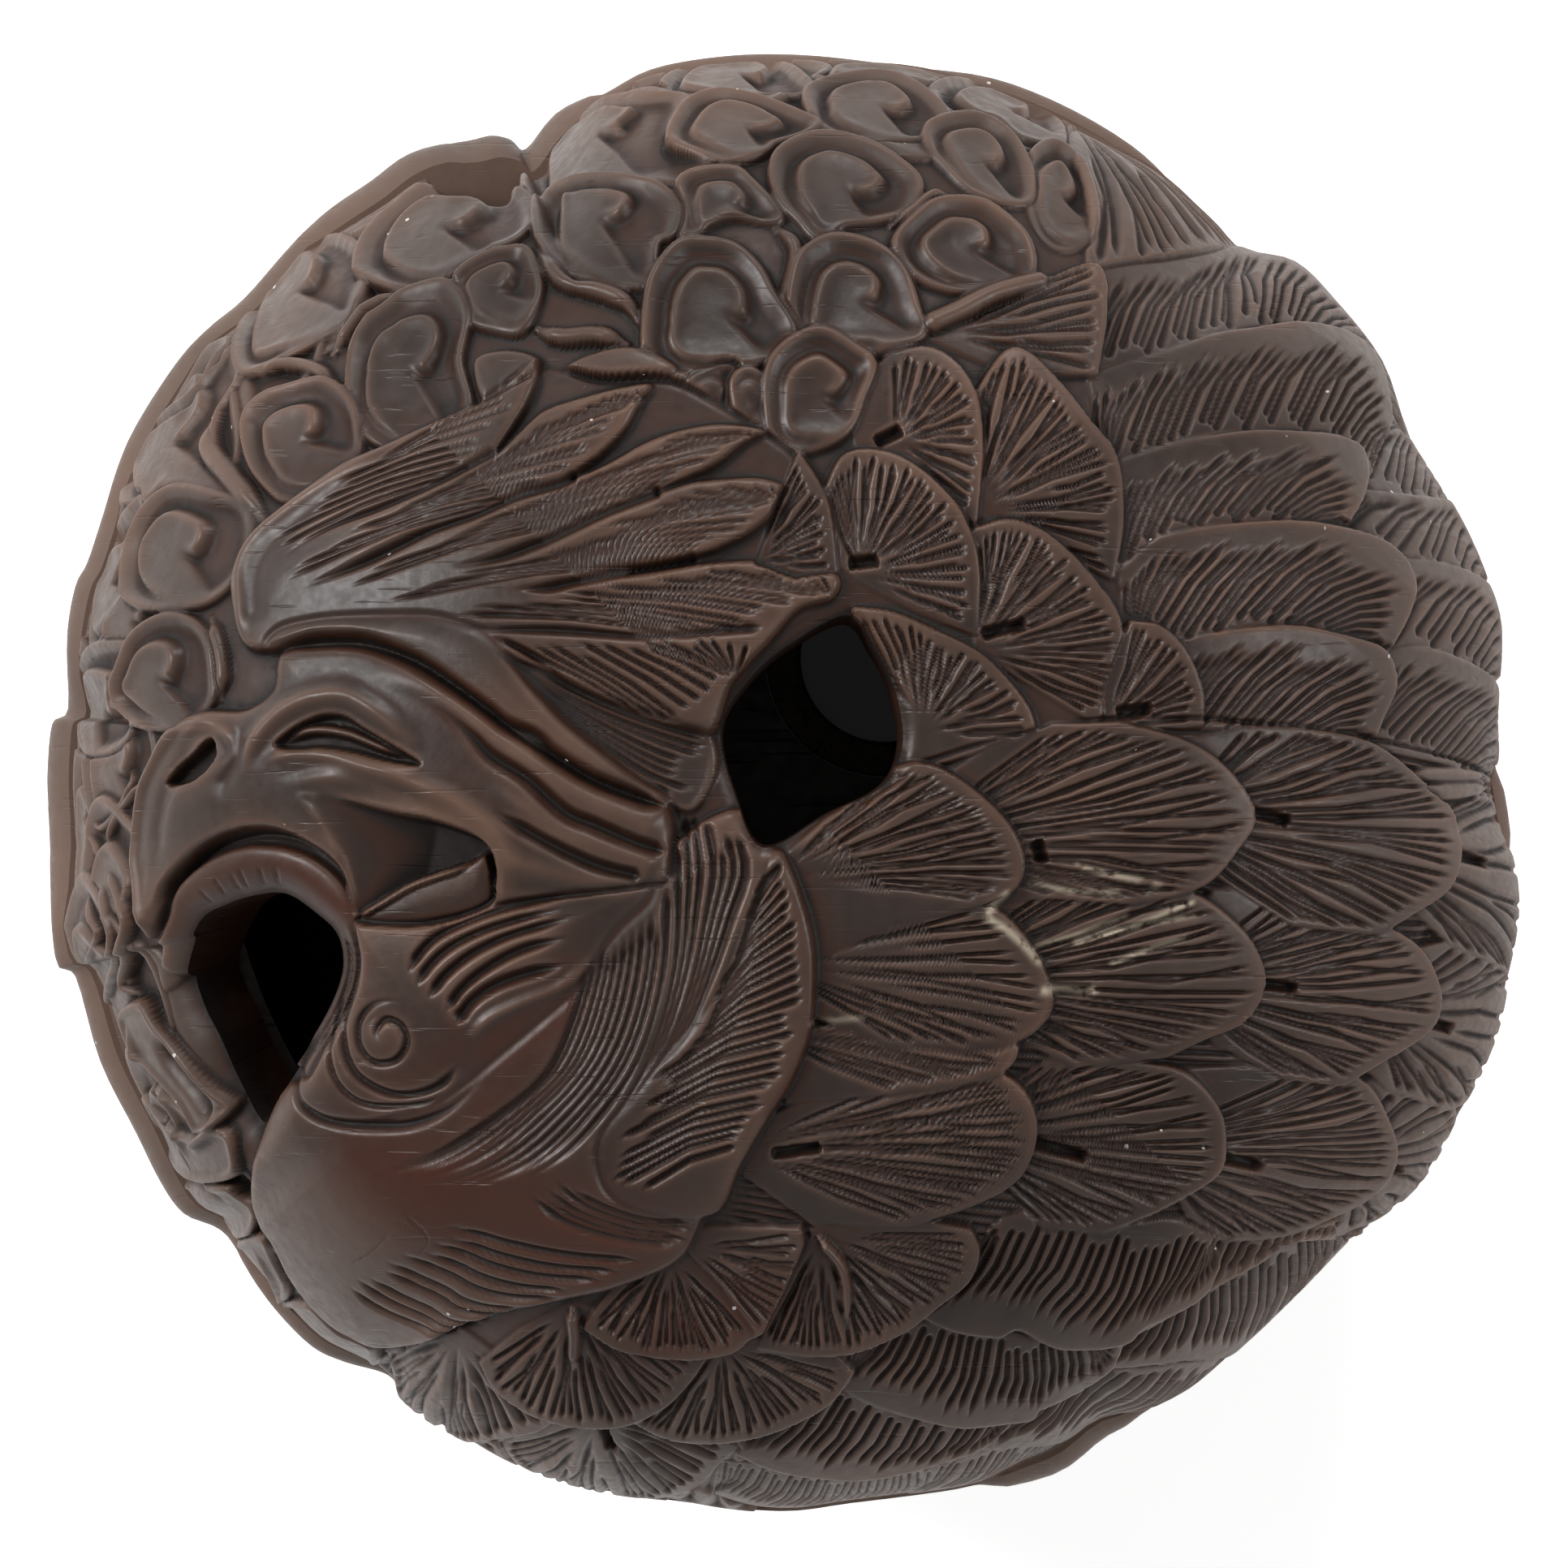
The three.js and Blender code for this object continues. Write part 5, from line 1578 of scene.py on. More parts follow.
BODY: tuple[Form, ...] = (
    Strands("barbs of the ground", ((1000, 1010), (1200, 915), (1500, 880), (1880, 960)), ((860, 1530),
        (1150, 1600), (1450, 1600), (1700, 1500)), 58, 0.11, 0.16, 0.0, (0.05, 0.05), 1.2),
    Vane("rim strip 1", ((880, 1856), (960, 1878), (1060, 1872), (1180, 1850)), ((890, 1815), (960, 1822),
        (1060, 1832), (1150, 1818)), barbs=20, slant=-0.12, low=-0.4, high=-0.25, depth=0.12),
    Vane("rim strip 2", ((1120, 1858), (1200, 1848), (1290, 1832), (1370, 1785)), ((1150, 1822), (1220, 1800),
        (1290, 1792), (1350, 1784)), slant=-0.12, low=-0.4, high=-0.22, depth=0.12),
    Vane("lower feather 1", ((1225, 1800), (1290, 1792), (1350, 1784), (1385, 1772), (1450, 1740),
        (1505, 1702), (1545, 1660)), ((1262, 1755), (1300, 1735), (1350, 1712), (1380, 1700), (1430, 1697),
        (1480, 1688), (1530, 1668)), barbs=14, slant=-0.16, low=-0.36, high=-0.12),
    Vane("lower feather 2", ((905, 1800), (940, 1815), (1000, 1826), (1060, 1828), (1120, 1819), (1172, 1806),
        (1217, 1790), (1250, 1764)), ((940, 1765), (985, 1745), (1040, 1722), (1080, 1738), (1120, 1748),
        (1160, 1758), (1200, 1762), (1235, 1764)), slant=-0.18, low=-0.36, high=-0.06),
    Vane("lower feather 3", ((1365, 1696), (1420, 1692), (1480, 1682), (1540, 1657), (1602, 1605),
        (1670, 1535)), ((1385, 1655), (1430, 1632), (1480, 1602), (1520, 1570), (1560, 1545), (1640, 1510)),
        barbs=15, slant=-0.18, low=-0.36, high=-0.08),
    Vane("lower feather 4", ((1036, 1720), (1080, 1742), (1150, 1760), (1205, 1763), (1268, 1752),
        (1284, 1738), (1332, 1715), (1368, 1690), (1388, 1650)), ((1045, 1672), (1080, 1655), (1120, 1640),
        (1170, 1640), (1230, 1648), (1290, 1655), (1350, 1660)), barbs=19, slant=-0.2, low=-0.34, high=0.0),
    Fan("lower fan 1", (735, 1758), ((615, 1788), (650, 1822), (700, 1840), (770, 1850), (845, 1846),
        (882, 1816), (908, 1795)), base=((850, 1775), (740, 1750), (660, 1765)), barbs=17, high=-0.08,
        slot=((738, 1768), (750, 1800))),
    Fan("lower fan 2", (562, 1648), ((478, 1688), (500, 1737), (550, 1767), (602, 1779), (655, 1772),
        (685, 1750)), base=((620, 1690), (565, 1648), (520, 1662)), barbs=13, high=-0.04),
    Fan("lower fan 3", (888, 1662), ((770, 1752), (820, 1773), (872, 1779), (925, 1773), (975, 1758),
        (1020, 1735), (1050, 1700)), base=((1000, 1662), (888, 1658), (830, 1695)), barbs=18, high=0.0),
    Fan("lower fan 4", (703, 1620), ((590, 1688), (610, 1717), (650, 1742), (705, 1757), (765, 1757),
        (815, 1737), (848, 1707), (868, 1678)), base=((780, 1640), (703, 1614), (640, 1648)), barbs=18,
        high=0.04),
    Ridge("quill of lower fan 4", ((703, 1620), (706, 1655), (704, 1690)), width=0.2, foot=-0.2,
        fade=(0.1, 0.3)),
    Vane("lower feather 5", ((1395, 1650), (1450, 1620), (1500, 1588), (1550, 1560), (1605, 1530),
        (1680, 1520)), ((1370, 1530), (1420, 1520), (1480, 1525), (1540, 1530), (1600, 1522), (1650, 1505)),
        barbs=14, slant=-0.3, high=-0.02),
    Vane("lower feather 6", ((1135, 1626), (1180, 1645), (1230, 1651), (1258, 1642), (1312, 1663),
        (1386, 1656), (1412, 1636), (1480, 1602), (1505, 1565)), ((1185, 1590), (1205, 1560), (1228, 1520),
        (1270, 1500), (1330, 1505), (1400, 1515), (1450, 1510), (1500, 1530)), barbs=19, slant=-0.22,
        high=0.04),
    Fan("lower fan 5", (850, 1542), ((985, 1520), (990, 1570), (965, 1625), (905, 1662)), base=((860, 1600),
        (835, 1550), (860, 1520)), barbs=11, low=-0.3, high=0.0),
    Fan("lower fan 6", (822, 1552), ((720, 1640), (760, 1662), (800, 1670), (850, 1674), (902, 1666),
        (925, 1645)), base=((880, 1590), (835, 1545), (760, 1588)), barbs=15, high=0.05),
    Fan("lower fan 7", (1012, 1528), ((935, 1668), (1000, 1674), (1050, 1668), (1110, 1642), (1150, 1612),
        (1190, 1580), (1204, 1545), (1195, 1520)), base=((1100, 1505), (1005, 1520), (975, 1590)), barbs=24,
        high=0.06, start=0.25),
    Ridge("quill of lower fan 7", ((1010, 1530), (1040, 1570), (1045, 1640)), width=0.16, fade=(0.1, 0.4)),
    Fan("body scale 15", (1655, 1430), ((1790, 1345), (1800, 1400), (1764, 1462), (1722, 1502), (1650, 1532)),
        base=((1660, 1500), (1690, 1340)), high=-0.1, slot=((1714, 1446), (1740, 1450))),
    Fan("body scale 14", (1410, 1425), ((1600, 1330), (1680, 1335), (1716, 1392), (1720, 1430), (1702, 1463),
        (1656, 1494), (1600, 1521), (1525, 1534)), base=((1470, 1505), (1440, 1430), (1460, 1325),
        (1540, 1320)), barbs=26, high=0.04, start=0.22, slot=((1505, 1431), (1560, 1443))),
    Fan("body scale 13", (1170, 1405), ((1380, 1312), (1458, 1325), (1500, 1368), (1508, 1410), (1498, 1447),
        (1430, 1493), (1362, 1521)), base=((1290, 1518), (1240, 1460), (1240, 1350), (1300, 1310)), barbs=26,
        high=0.06, start=0.22, slot=((1270, 1412), (1345, 1431))),
    Fan("body scale 12", (900, 1420), ((1215, 1312), (1262, 1350), (1274, 1400), (1252, 1452), (1195, 1487),
        (1120, 1512)), base=((1000, 1512), (915, 1450), (940, 1385), (1080, 1325)), barbs=24, high=0.08,
        slot=((950, 1427), (1012, 1419))),
    Fan("body scale 11", (930, 1272), ((1235, 1255), (1252, 1292), (1222, 1325), (1100, 1348)),
        base=((970, 1360), (960, 1300), (985, 1255)), high=0.04, slot=((992, 1262), (1072, 1256))),
    Fan("body scale 10", (1690, 1245), ((1850, 1185), (1880, 1210), (1858, 1290), (1825, 1350), (1795, 1370)),
        base=((1720, 1345), (1680, 1310), (1760, 1175), (1800, 1165)), barbs=13, high=-0.08,
        slot=((1768, 1263), (1800, 1272))),
    Fan("body scale 9", (1440, 1218), ((1640, 1138), (1700, 1142), (1752, 1172), (1774, 1225), (1762, 1267),
        (1700, 1312), (1660, 1338)), base=((1590, 1330), (1500, 1285), (1490, 1150), (1500, 1100),
        (1580, 1105)), barbs=26, high=0.05, start=0.22, slot=((1554, 1215), (1605, 1222))),
    Fan("body scale 8", (1150, 1213), ((1390, 1088), (1468, 1102), (1530, 1148), (1555, 1195), (1551, 1230),
        (1528, 1260), (1490, 1277), (1440, 1302)), base=((1330, 1315), (1240, 1275), (1240, 1140),
        (1228, 1105), (1300, 1090)), barbs=26, high=0.07, start=0.22, slot=((1286, 1220), (1350, 1222))),
    Fan("body scale 7", (930, 1188), ((1190, 1102), (1245, 1138), (1281, 1190), (1294, 1238), (1270, 1272),
        (1222, 1292)), base=((1100, 1290), (995, 1250), (1000, 1150), (1080, 1120)), barbs=20, high=0.09,
        start=0.25),
    Fan("body scale 6", (1690, 1045), ((1812, 978), (1850, 995), (1882, 1050), (1892, 1110), (1888, 1180),
        (1866, 1202)), base=((1800, 1165), (1740, 1112), (1785, 1000)), barbs=14, high=-0.08,
        slot=((1800, 1053), (1845, 1065))),
    Fan("body scale 5", (1430, 1005), ((1600, 898), (1690, 915), (1748, 958), (1788, 1000), (1799, 1050),
        (1787, 1092), (1752, 1120), (1705, 1150)), base=((1600, 1140), (1500, 1075), (1500, 950), (1470, 912),
        (1540, 898)), barbs=28, high=0.06, start=0.22, slot=((1545, 1000), (1597, 1012))),
    Fan("body scale 4", (1120, 1040), ((1380, 893), (1460, 915), (1512, 950), (1544, 1002), (1526, 1042),
        (1482, 1090), (1400, 1112)), base=((1300, 1105), (1200, 1112), (1170, 1060), (1180, 950), (1220, 925),
        (1300, 895)), barbs=26, high=0.08, start=0.22, slot=((1279, 1036), (1287, 1064))),
    Fan("body scale 3", (958, 1082), ((1075, 978), (1108, 948), (1152, 948), (1203, 980), (1242, 1020),
        (1259, 1060), (1250, 1092), (1212, 1112)), base=((1100, 1140), (1008, 1180), (998, 1110), (975, 1050),
        (1020, 1010)), barbs=26, high=0.1, start=0.22),
    Plate("small scale 1", ((1757, 948), (1800, 945), (1835, 952), (1828, 962), (1765, 964)), -0.12,
        crown=0.03),
    Plate("small scale 2", ((1765, 966), (1828, 964), (1838, 975), (1790, 988), (1772, 980)), -0.1,
        crown=0.03),
    Tint("wax web", ((1240, 1102), (1218, 1128), (1240, 1145), (1262, 1165), (1280, 1185)), 0.1, 0.9,
        wax=True),
    *numbered(
        Tint, "wax stroke",
        (((1330, 1068), (1380, 1080), (1430, 1092)), 0.08, 0.7, True),
        (((1275, 1088), (1320, 1098), (1380, 1100)), 0.07, 0.6, True),
        (((1330, 1162), (1380, 1148), (1430, 1130), (1470, 1112)), 0.09, 0.9, True),
        (((1275, 1170), (1330, 1152), (1390, 1130)), 0.06, 0.6, True),
        (((1375, 1188), (1420, 1170), (1460, 1156)), 0.07, 0.85, True),
        (((1390, 1145), (1440, 1135), (1475, 1128)), 0.06, 0.6, True),
    ),
    Tint("wax in a slot", ((1286, 1220), (1350, 1222)), 0.13, 1.0, wax=True),
    Tint("wax in another slot", ((1000, 1262), (1065, 1256)), 0.08, 0.4, wax=True),
)

CURLS: tuple[Form, ...] = (
    Curl("curl far left top", ((148, 600), (152, 560), (180, 520), (225, 485), (262, 440), (285, 420),
        (292, 450), (262, 500), (256, 545), (285, 590), (300, 620), (262, 606), (205, 598), (165, 640))),
    Curl("curl far left", ((98, 790), (100, 735), (108, 690), (125, 650), (150, 625), (168, 612), (150, 690),
        (145, 720), (125, 755), (104, 795)), level=-0.15),
    Curl("curl left edge", ((80, 870), (82, 830), (98, 800), (135, 790), (155, 800), (140, 850), (150, 900),
        (120, 925), (92, 920)), level=-0.12),
    Curl("curl at the top edge", ((812, 97), (840, 76), (900, 64), (955, 60), (990, 78), (1002, 98),
        (960, 102), (900, 103), (850, 104)), level=-0.15),
    Curl("curl at the top left edge", ((678, 132), (702, 108), (750, 97), (812, 95), (805, 108), (745, 120),
        (702, 140)), level=-0.15),
    Curl("curl top right edge", ((1150, 98), (1205, 88), (1262, 108), (1302, 128), (1315, 165), (1275, 172),
        (1235, 142), (1185, 130)), level=-0.18),
    Curl("curl right end", ((1272, 192), (1300, 168), (1332, 190), (1348, 240), (1345, 285), (1310, 298),
        (1278, 262)), level=-0.14),
    Curl("curl L", ((998, 100), (1045, 86), (1100, 85), (1152, 110), (1173, 138), (1150, 156), (1110, 161),
        (1060, 160), (1015, 145), (1000, 125)), level=-0.1),
    Curl("curl E", ((650, 238), (647, 205), (667, 165), (700, 139), (745, 117), (800, 108), (845, 112),
        (838, 150), (872, 192), (850, 218), (760, 216), (705, 224), (668, 252))),
    Curl("curl I", ((826, 168), (835, 140), (852, 120), (885, 108), (930, 112), (985, 130), (1008, 143),
        (985, 157), (955, 167), (935, 182), (895, 192), (858, 182))),
    Curl("curl M", ((1148, 148), (1200, 137), (1243, 155), (1271, 195), (1273, 236), (1240, 241), (1200, 224),
        (1170, 197), (1150, 175)), level=-0.06),
    Curl("curl J", ((843, 216), (900, 203), (925, 218), (952, 245), (957, 264), (905, 259), (870, 270),
        (846, 292), (838, 252))),
    Curl("curl K", ((953, 206), (965, 180), (1010, 163), (1065, 172), (1105, 192), (1133, 218), (1121, 251),
        (1080, 263), (1040, 271), (1010, 287), (985, 263), (963, 240))),
    Curl("curl N", ((1106, 293), (1130, 265), (1160, 246), (1205, 246), (1237, 262), (1268, 292), (1272, 332),
        (1235, 347), (1190, 352), (1148, 342), (1118, 322))),
    Curl("curl A", ((286, 442), (290, 405), (302, 372), (320, 343), (350, 315), (400, 291), (442, 302),
        (443, 342), (425, 385), (395, 407), (350, 431), (302, 452))),
    Curl("curl B", ((436, 322), (445, 294), (470, 265), (500, 240), (532, 222), (575, 225), (632, 226),
        (652, 240), (652, 268), (600, 300), (560, 325), (520, 348), (480, 347), (442, 332))),
    Curl("curl F", ((660, 272), (672, 240), (700, 221), (760, 213), (805, 221), (834, 245), (830, 280),
        (808, 292), (803, 330), (792, 347), (740, 342), (690, 320), (669, 297)), rim=0.14),
    Curl("curl G", ((560, 366), (562, 339), (600, 311), (642, 302), (656, 325), (661, 350), (653, 379),
        (638, 402), (612, 400), (580, 390)), level=0.02),
    Curl("curl C", ((430, 502), (429, 450), (440, 410), (475, 375), (500, 357), (547, 345), (572, 380),
        (562, 440), (574, 500), (542, 545), (482, 548), (448, 530))),
    Curl("curl D", ((303, 562), (298, 520), (312, 496), (350, 477), (396, 467), (427, 490), (437, 530),
        (431, 572), (396, 603), (350, 612), (322, 592))),
    Curl("curl O", ((977, 432), (974, 380), (985, 321), (1010, 296), (1042, 289), (1083, 300), (1113, 327),
        (1129, 372), (1137, 407), (1100, 422), (1040, 437), (1000, 442)), level=0.02),
    Curl("curl H", ((799, 442), (797, 390), (804, 345), (825, 310), (850, 295), (900, 299), (932, 325),
        (952, 360), (978, 402), (962, 427), (930, 442), (870, 457), (828, 462)), level=0.02),
    Curl("curl under H", ((850, 470), (875, 455), (905, 452), (905, 500), (870, 520), (845, 500)),
        level=-0.15),
    Curl("curl beside P", ((905, 470), (925, 455), (948, 480), (945, 520), (915, 525)), level=-0.12),
    Curl("curl P", ((946, 477), (955, 440), (985, 414), (1015, 407), (1052, 427), (1074, 446), (1062, 482),
        (1040, 530), (990, 550), (955, 540))),
    Curl("curl Q", ((149, 727), (151, 695), (159, 660), (180, 620), (210, 599), (262, 607), (297, 622),
        (302, 660), (287, 702), (265, 727), (240, 741), (205, 746), (168, 743))),
    Curl("curl R", ((139, 862), (144, 820), (159, 785), (190, 761), (222, 761), (247, 785), (254, 830),
        (254, 862), (230, 887), (200, 895), (162, 887))),
    Plate("leaf over the crest 1", ((582, 442), (620, 428), (662, 438), (650, 462), (615, 480), (592, 492)),
        -0.02, lip=0.2),
    Plate("leaf over the crest 2", ((690, 455), (730, 432), (785, 425), (835, 452), (800, 474), (745, 482),
        (705, 480)), 0.0, crown=0.08, lip=0.25),
    *numbered(
        Ridge, "fold",
        (((255, 505), (248, 545), (275, 582), (300, 612), (318, 640)), 0.4, 0.02, -0.3),
        (((662, 300), (690, 340), (730, 352), (770, 368), (790, 395)), 0.3, 0.05, -0.25),
        (((402, 430), (425, 400), (450, 372), (490, 350)), 0.28, -0.02, -0.3),
        (((300, 455), (345, 442), (385, 450), (410, 475)), 0.26, -0.02, -0.3),
        (((660, 400), (690, 410), (735, 408), (770, 420)), 0.3, 0.0, -0.25),
        (((955, 270), (980, 300), (975, 340), (962, 380)), 0.26, 0.0, -0.3),
        (((1100, 270), (1125, 255), (1150, 235), (1175, 232)), 0.22, 0.0, -0.3),
        (((1135, 400), (1180, 380), (1230, 355), (1300, 338)), 0.35, 0.06, -0.25, (0.1, 0.1)),
        (((400, 280), (430, 262), (470, 236), (502, 218)), 0.28, -0.1, -0.4),
        (((380, 292), (410, 277), (445, 262), (480, 240)), 0.2, -0.1, -0.4),
        (((250, 760), (262, 790), (268, 830), (262, 860)), 0.28, -0.05, -0.35),
        (((585, 500), (570, 530), (590, 545)), 0.25, -0.1, -0.35),
    ),
    Ridge("long edge ridge", ((1318, 165), (1340, 205), (1352, 250), (1350, 300)), 0.26, -0.02, -0.35),
    *numbered(
        Ridge, "left edge ridge",
        (((90, 1095), (98, 1130), (106, 1165), (112, 1205)), 0.2, -0.18, -0.5),
        (((108, 1078), (120, 1120), (128, 1170), (125, 1220), (118, 1248)), 0.26, -0.08, -0.45, (0.15, 0.15)),
        (((118, 1068), (136, 1100), (146, 1140), (146, 1180), (142, 1215), (160, 1235)), 0.26, -0.06, -0.45,
            (0.15, 0.15)),
        (((92, 990), (104, 1030), (118, 1070)), 0.22, -0.1, -0.5),
        (((172, 955), (150, 985), (128, 1020), (118, 1060)), 0.22, -0.12, -0.45),
        (((100, 985), (112, 1020), (135, 1000), (150, 965), (140, 940)), 0.22, -0.15, -0.5),
    ),
    Plate("lower left leaf", ((144, 1248), (168, 1233), (188, 1262), (215, 1295), (250, 1340), (276, 1372),
        (262, 1392), (240, 1402), (215, 1360), (180, 1320), (155, 1290)), -0.1, crown=0.05, rim=0.14),
    Plate("lower left knot 1", ((170, 1350), (200, 1385), (228, 1400), (262, 1390), (282, 1410), (288, 1450),
        (262, 1462), (225, 1455), (200, 1430), (180, 1400)), -0.12, crown=-0.05, rim=0.12),
    Plate("lower left knot 2", ((215, 1465), (262, 1462), (296, 1480), (312, 1510), (295, 1535), (262, 1515)),
        -0.14, crown=0.0, rim=0.12),
    Plate("lower left knot 3", ((280, 1540), (312, 1525), (335, 1560), (352, 1600), (335, 1615), (305, 1580)),
        -0.16, crown=0.02, rim=0.1),
    Plate("lower left knot 4", ((345, 1612), (370, 1610), (415, 1648), (460, 1672), (452, 1695), (400, 1668)),
        -0.18, crown=0.02, rim=0.1),
    Roll("hollow of the leaf", ((186, 1275), (208, 1315), (236, 1350), (258, 1382)), 0.32, -0.45,
        (0.3, 0.15)),
    Roll("fold of the leaf", ((152, 1262), (168, 1305), (190, 1350), (212, 1395), (228, 1440)), 0.2, 0.18,
        (0.15, 0.2)),
    Roll("hollow between the knots", ((178, 1365), (196, 1392), (214, 1420)), 0.22, -0.3, (0.3, 0.3)),
    Roll("crease of the knots", ((228, 1420), (250, 1398), (268, 1380)), 0.16, 0.25, (0.3, 0.2)),
    Roll("hollow under the knots", ((210, 1462), (245, 1470), (285, 1490)), 0.2, -0.3, (0.3, 0.3)),
    Roll("hollow of the third knot", ((262, 1520), (298, 1560), (322, 1598)), 0.22, -0.28, (0.3, 0.3)),
    Roll("fold of the third knot", ((300, 1532), (330, 1578), (350, 1620), (392, 1655)), 0.18, 0.14,
        (0.2, 0.2)),
    Groove("lower left cut", ((150, 1290), (180, 1345), (205, 1400), (235, 1455)), 0.2, 0.25),
)

BREAST: tuple[Form, ...] = (
    Plate("breast", ((345, 1342), (318, 1385), (307, 1440), (308, 1485), (330, 1530), (352, 1572),
        (382, 1612), (422, 1645), (462, 1663), (505, 1662), (560, 1642), (620, 1622), (690, 1606),
        (760, 1590), (835, 1556), (868, 1500), (905, 1432), (955, 1355), (985, 1305), (1001, 1260),
        (1000, 1200), (985, 1100), (955, 1045), (925, 1000), (880, 1005), (830, 1040), (790, 1095),
        (730, 1160), (640, 1240), (560, 1320), (480, 1375), (400, 1352)), 0.02, crown=0.22, drop=0.14),
    Strands("neck beside the cheek", ((722, 1180), (700, 1260), (665, 1330), (600, 1380), (530, 1420),
        (450, 1440)), ((828, 1080), (822, 1200), (795, 1300), (750, 1370), (690, 1430), (600, 1470)), 11,
        0.22, 0.28, fade=(0.08, 0.35), sharp=1.2),
    Strands("neck behind the head", ((828, 1000), (832, 1100), (828, 1200), (800, 1300), (760, 1370),
        (700, 1430)), ((905, 1010), (925, 1070), (905, 1130), (880, 1200), (850, 1270), (800, 1330),
        (745, 1390)), 7, 0.24, 0.3, fade=(0.05, 0.35), sharp=1.2),
    Plate("sickle band", ((950, 1055), (965, 1052), (985, 1095), (1001, 1150), (1005, 1205), (998, 1275),
        (975, 1335), (940, 1390), (912, 1440), (885, 1495), (830, 1500), (760, 1480), (735, 1440),
        (740, 1395), (780, 1350), (812, 1312), (850, 1270), (885, 1210), (905, 1160), (930, 1105)), 0.14,
        crown=0.1, drop=0.1, soft=0.16),
    Barbs("barbs of the sickle band", ((925, 1110), (908, 1185), (867, 1247), (832, 1294), (795, 1340),
        (768, 1378), (750, 1412), (742, 1447), (765, 1482)), ((966, 1060), (980, 1090), (995, 1145),
        (1001, 1206), (992, 1276), (968, 1338), (938, 1385), (910, 1441), (888, 1488)), 33, 0.15, 0.26, 0.05,
        -0.2, (0.12, 0.1)),
    Strands("sweeps under the neck", ((702, 1441), (726, 1472), (796, 1500), (865, 1506)), ((640, 1460),
        (690, 1505), (770, 1530), (850, 1538)), 5, 0.2, 0.24, fade=(0.2, 0.15), sharp=1.2),
    Strands("sweeps of the breast", ((560, 1500), (640, 1520), (720, 1535), (820, 1545)), ((425, 1575),
        (470, 1615), (520, 1640), (570, 1650)), 10, 0.2, 0.24, fade=(0.2, 0.2), sharp=1.2),
    *numbered(
        Groove, "scratch of the breast",
        (((430, 1556), (465, 1535), (490, 1505)), 0.05, 0.05),
        (((500, 1490), (530, 1520), (515, 1545)), 0.05, 0.05),
        (((480, 1500), (540, 1512), (600, 1500)), 0.05, 0.04),
    ),
    Tint("glow of the breast", ((470, 1450), (560, 1470), (660, 1510), (740, 1540)), 2.6, 1.0),
    Tint("glow of the throat side", ((690, 1240), (640, 1320), (600, 1370)), 0.9, 0.8),
    Tint("rim of the sickle band", ((985, 1102), (1000, 1160), (1003, 1230), (990, 1300), (950, 1370)), 0.25,
        0.9),
    Tint("inside of the mouth", ((480, 1030), (540, 1045), (580, 1060)), 0.45, 0.8),
    Tint("glow of the lower fans", ((640, 1670), (760, 1680), (850, 1640), (950, 1600)), 1.1, 0.9),
    Tint("glow under the neck", ((700, 1460), (780, 1520), (850, 1530)), 0.9, 0.5),
)

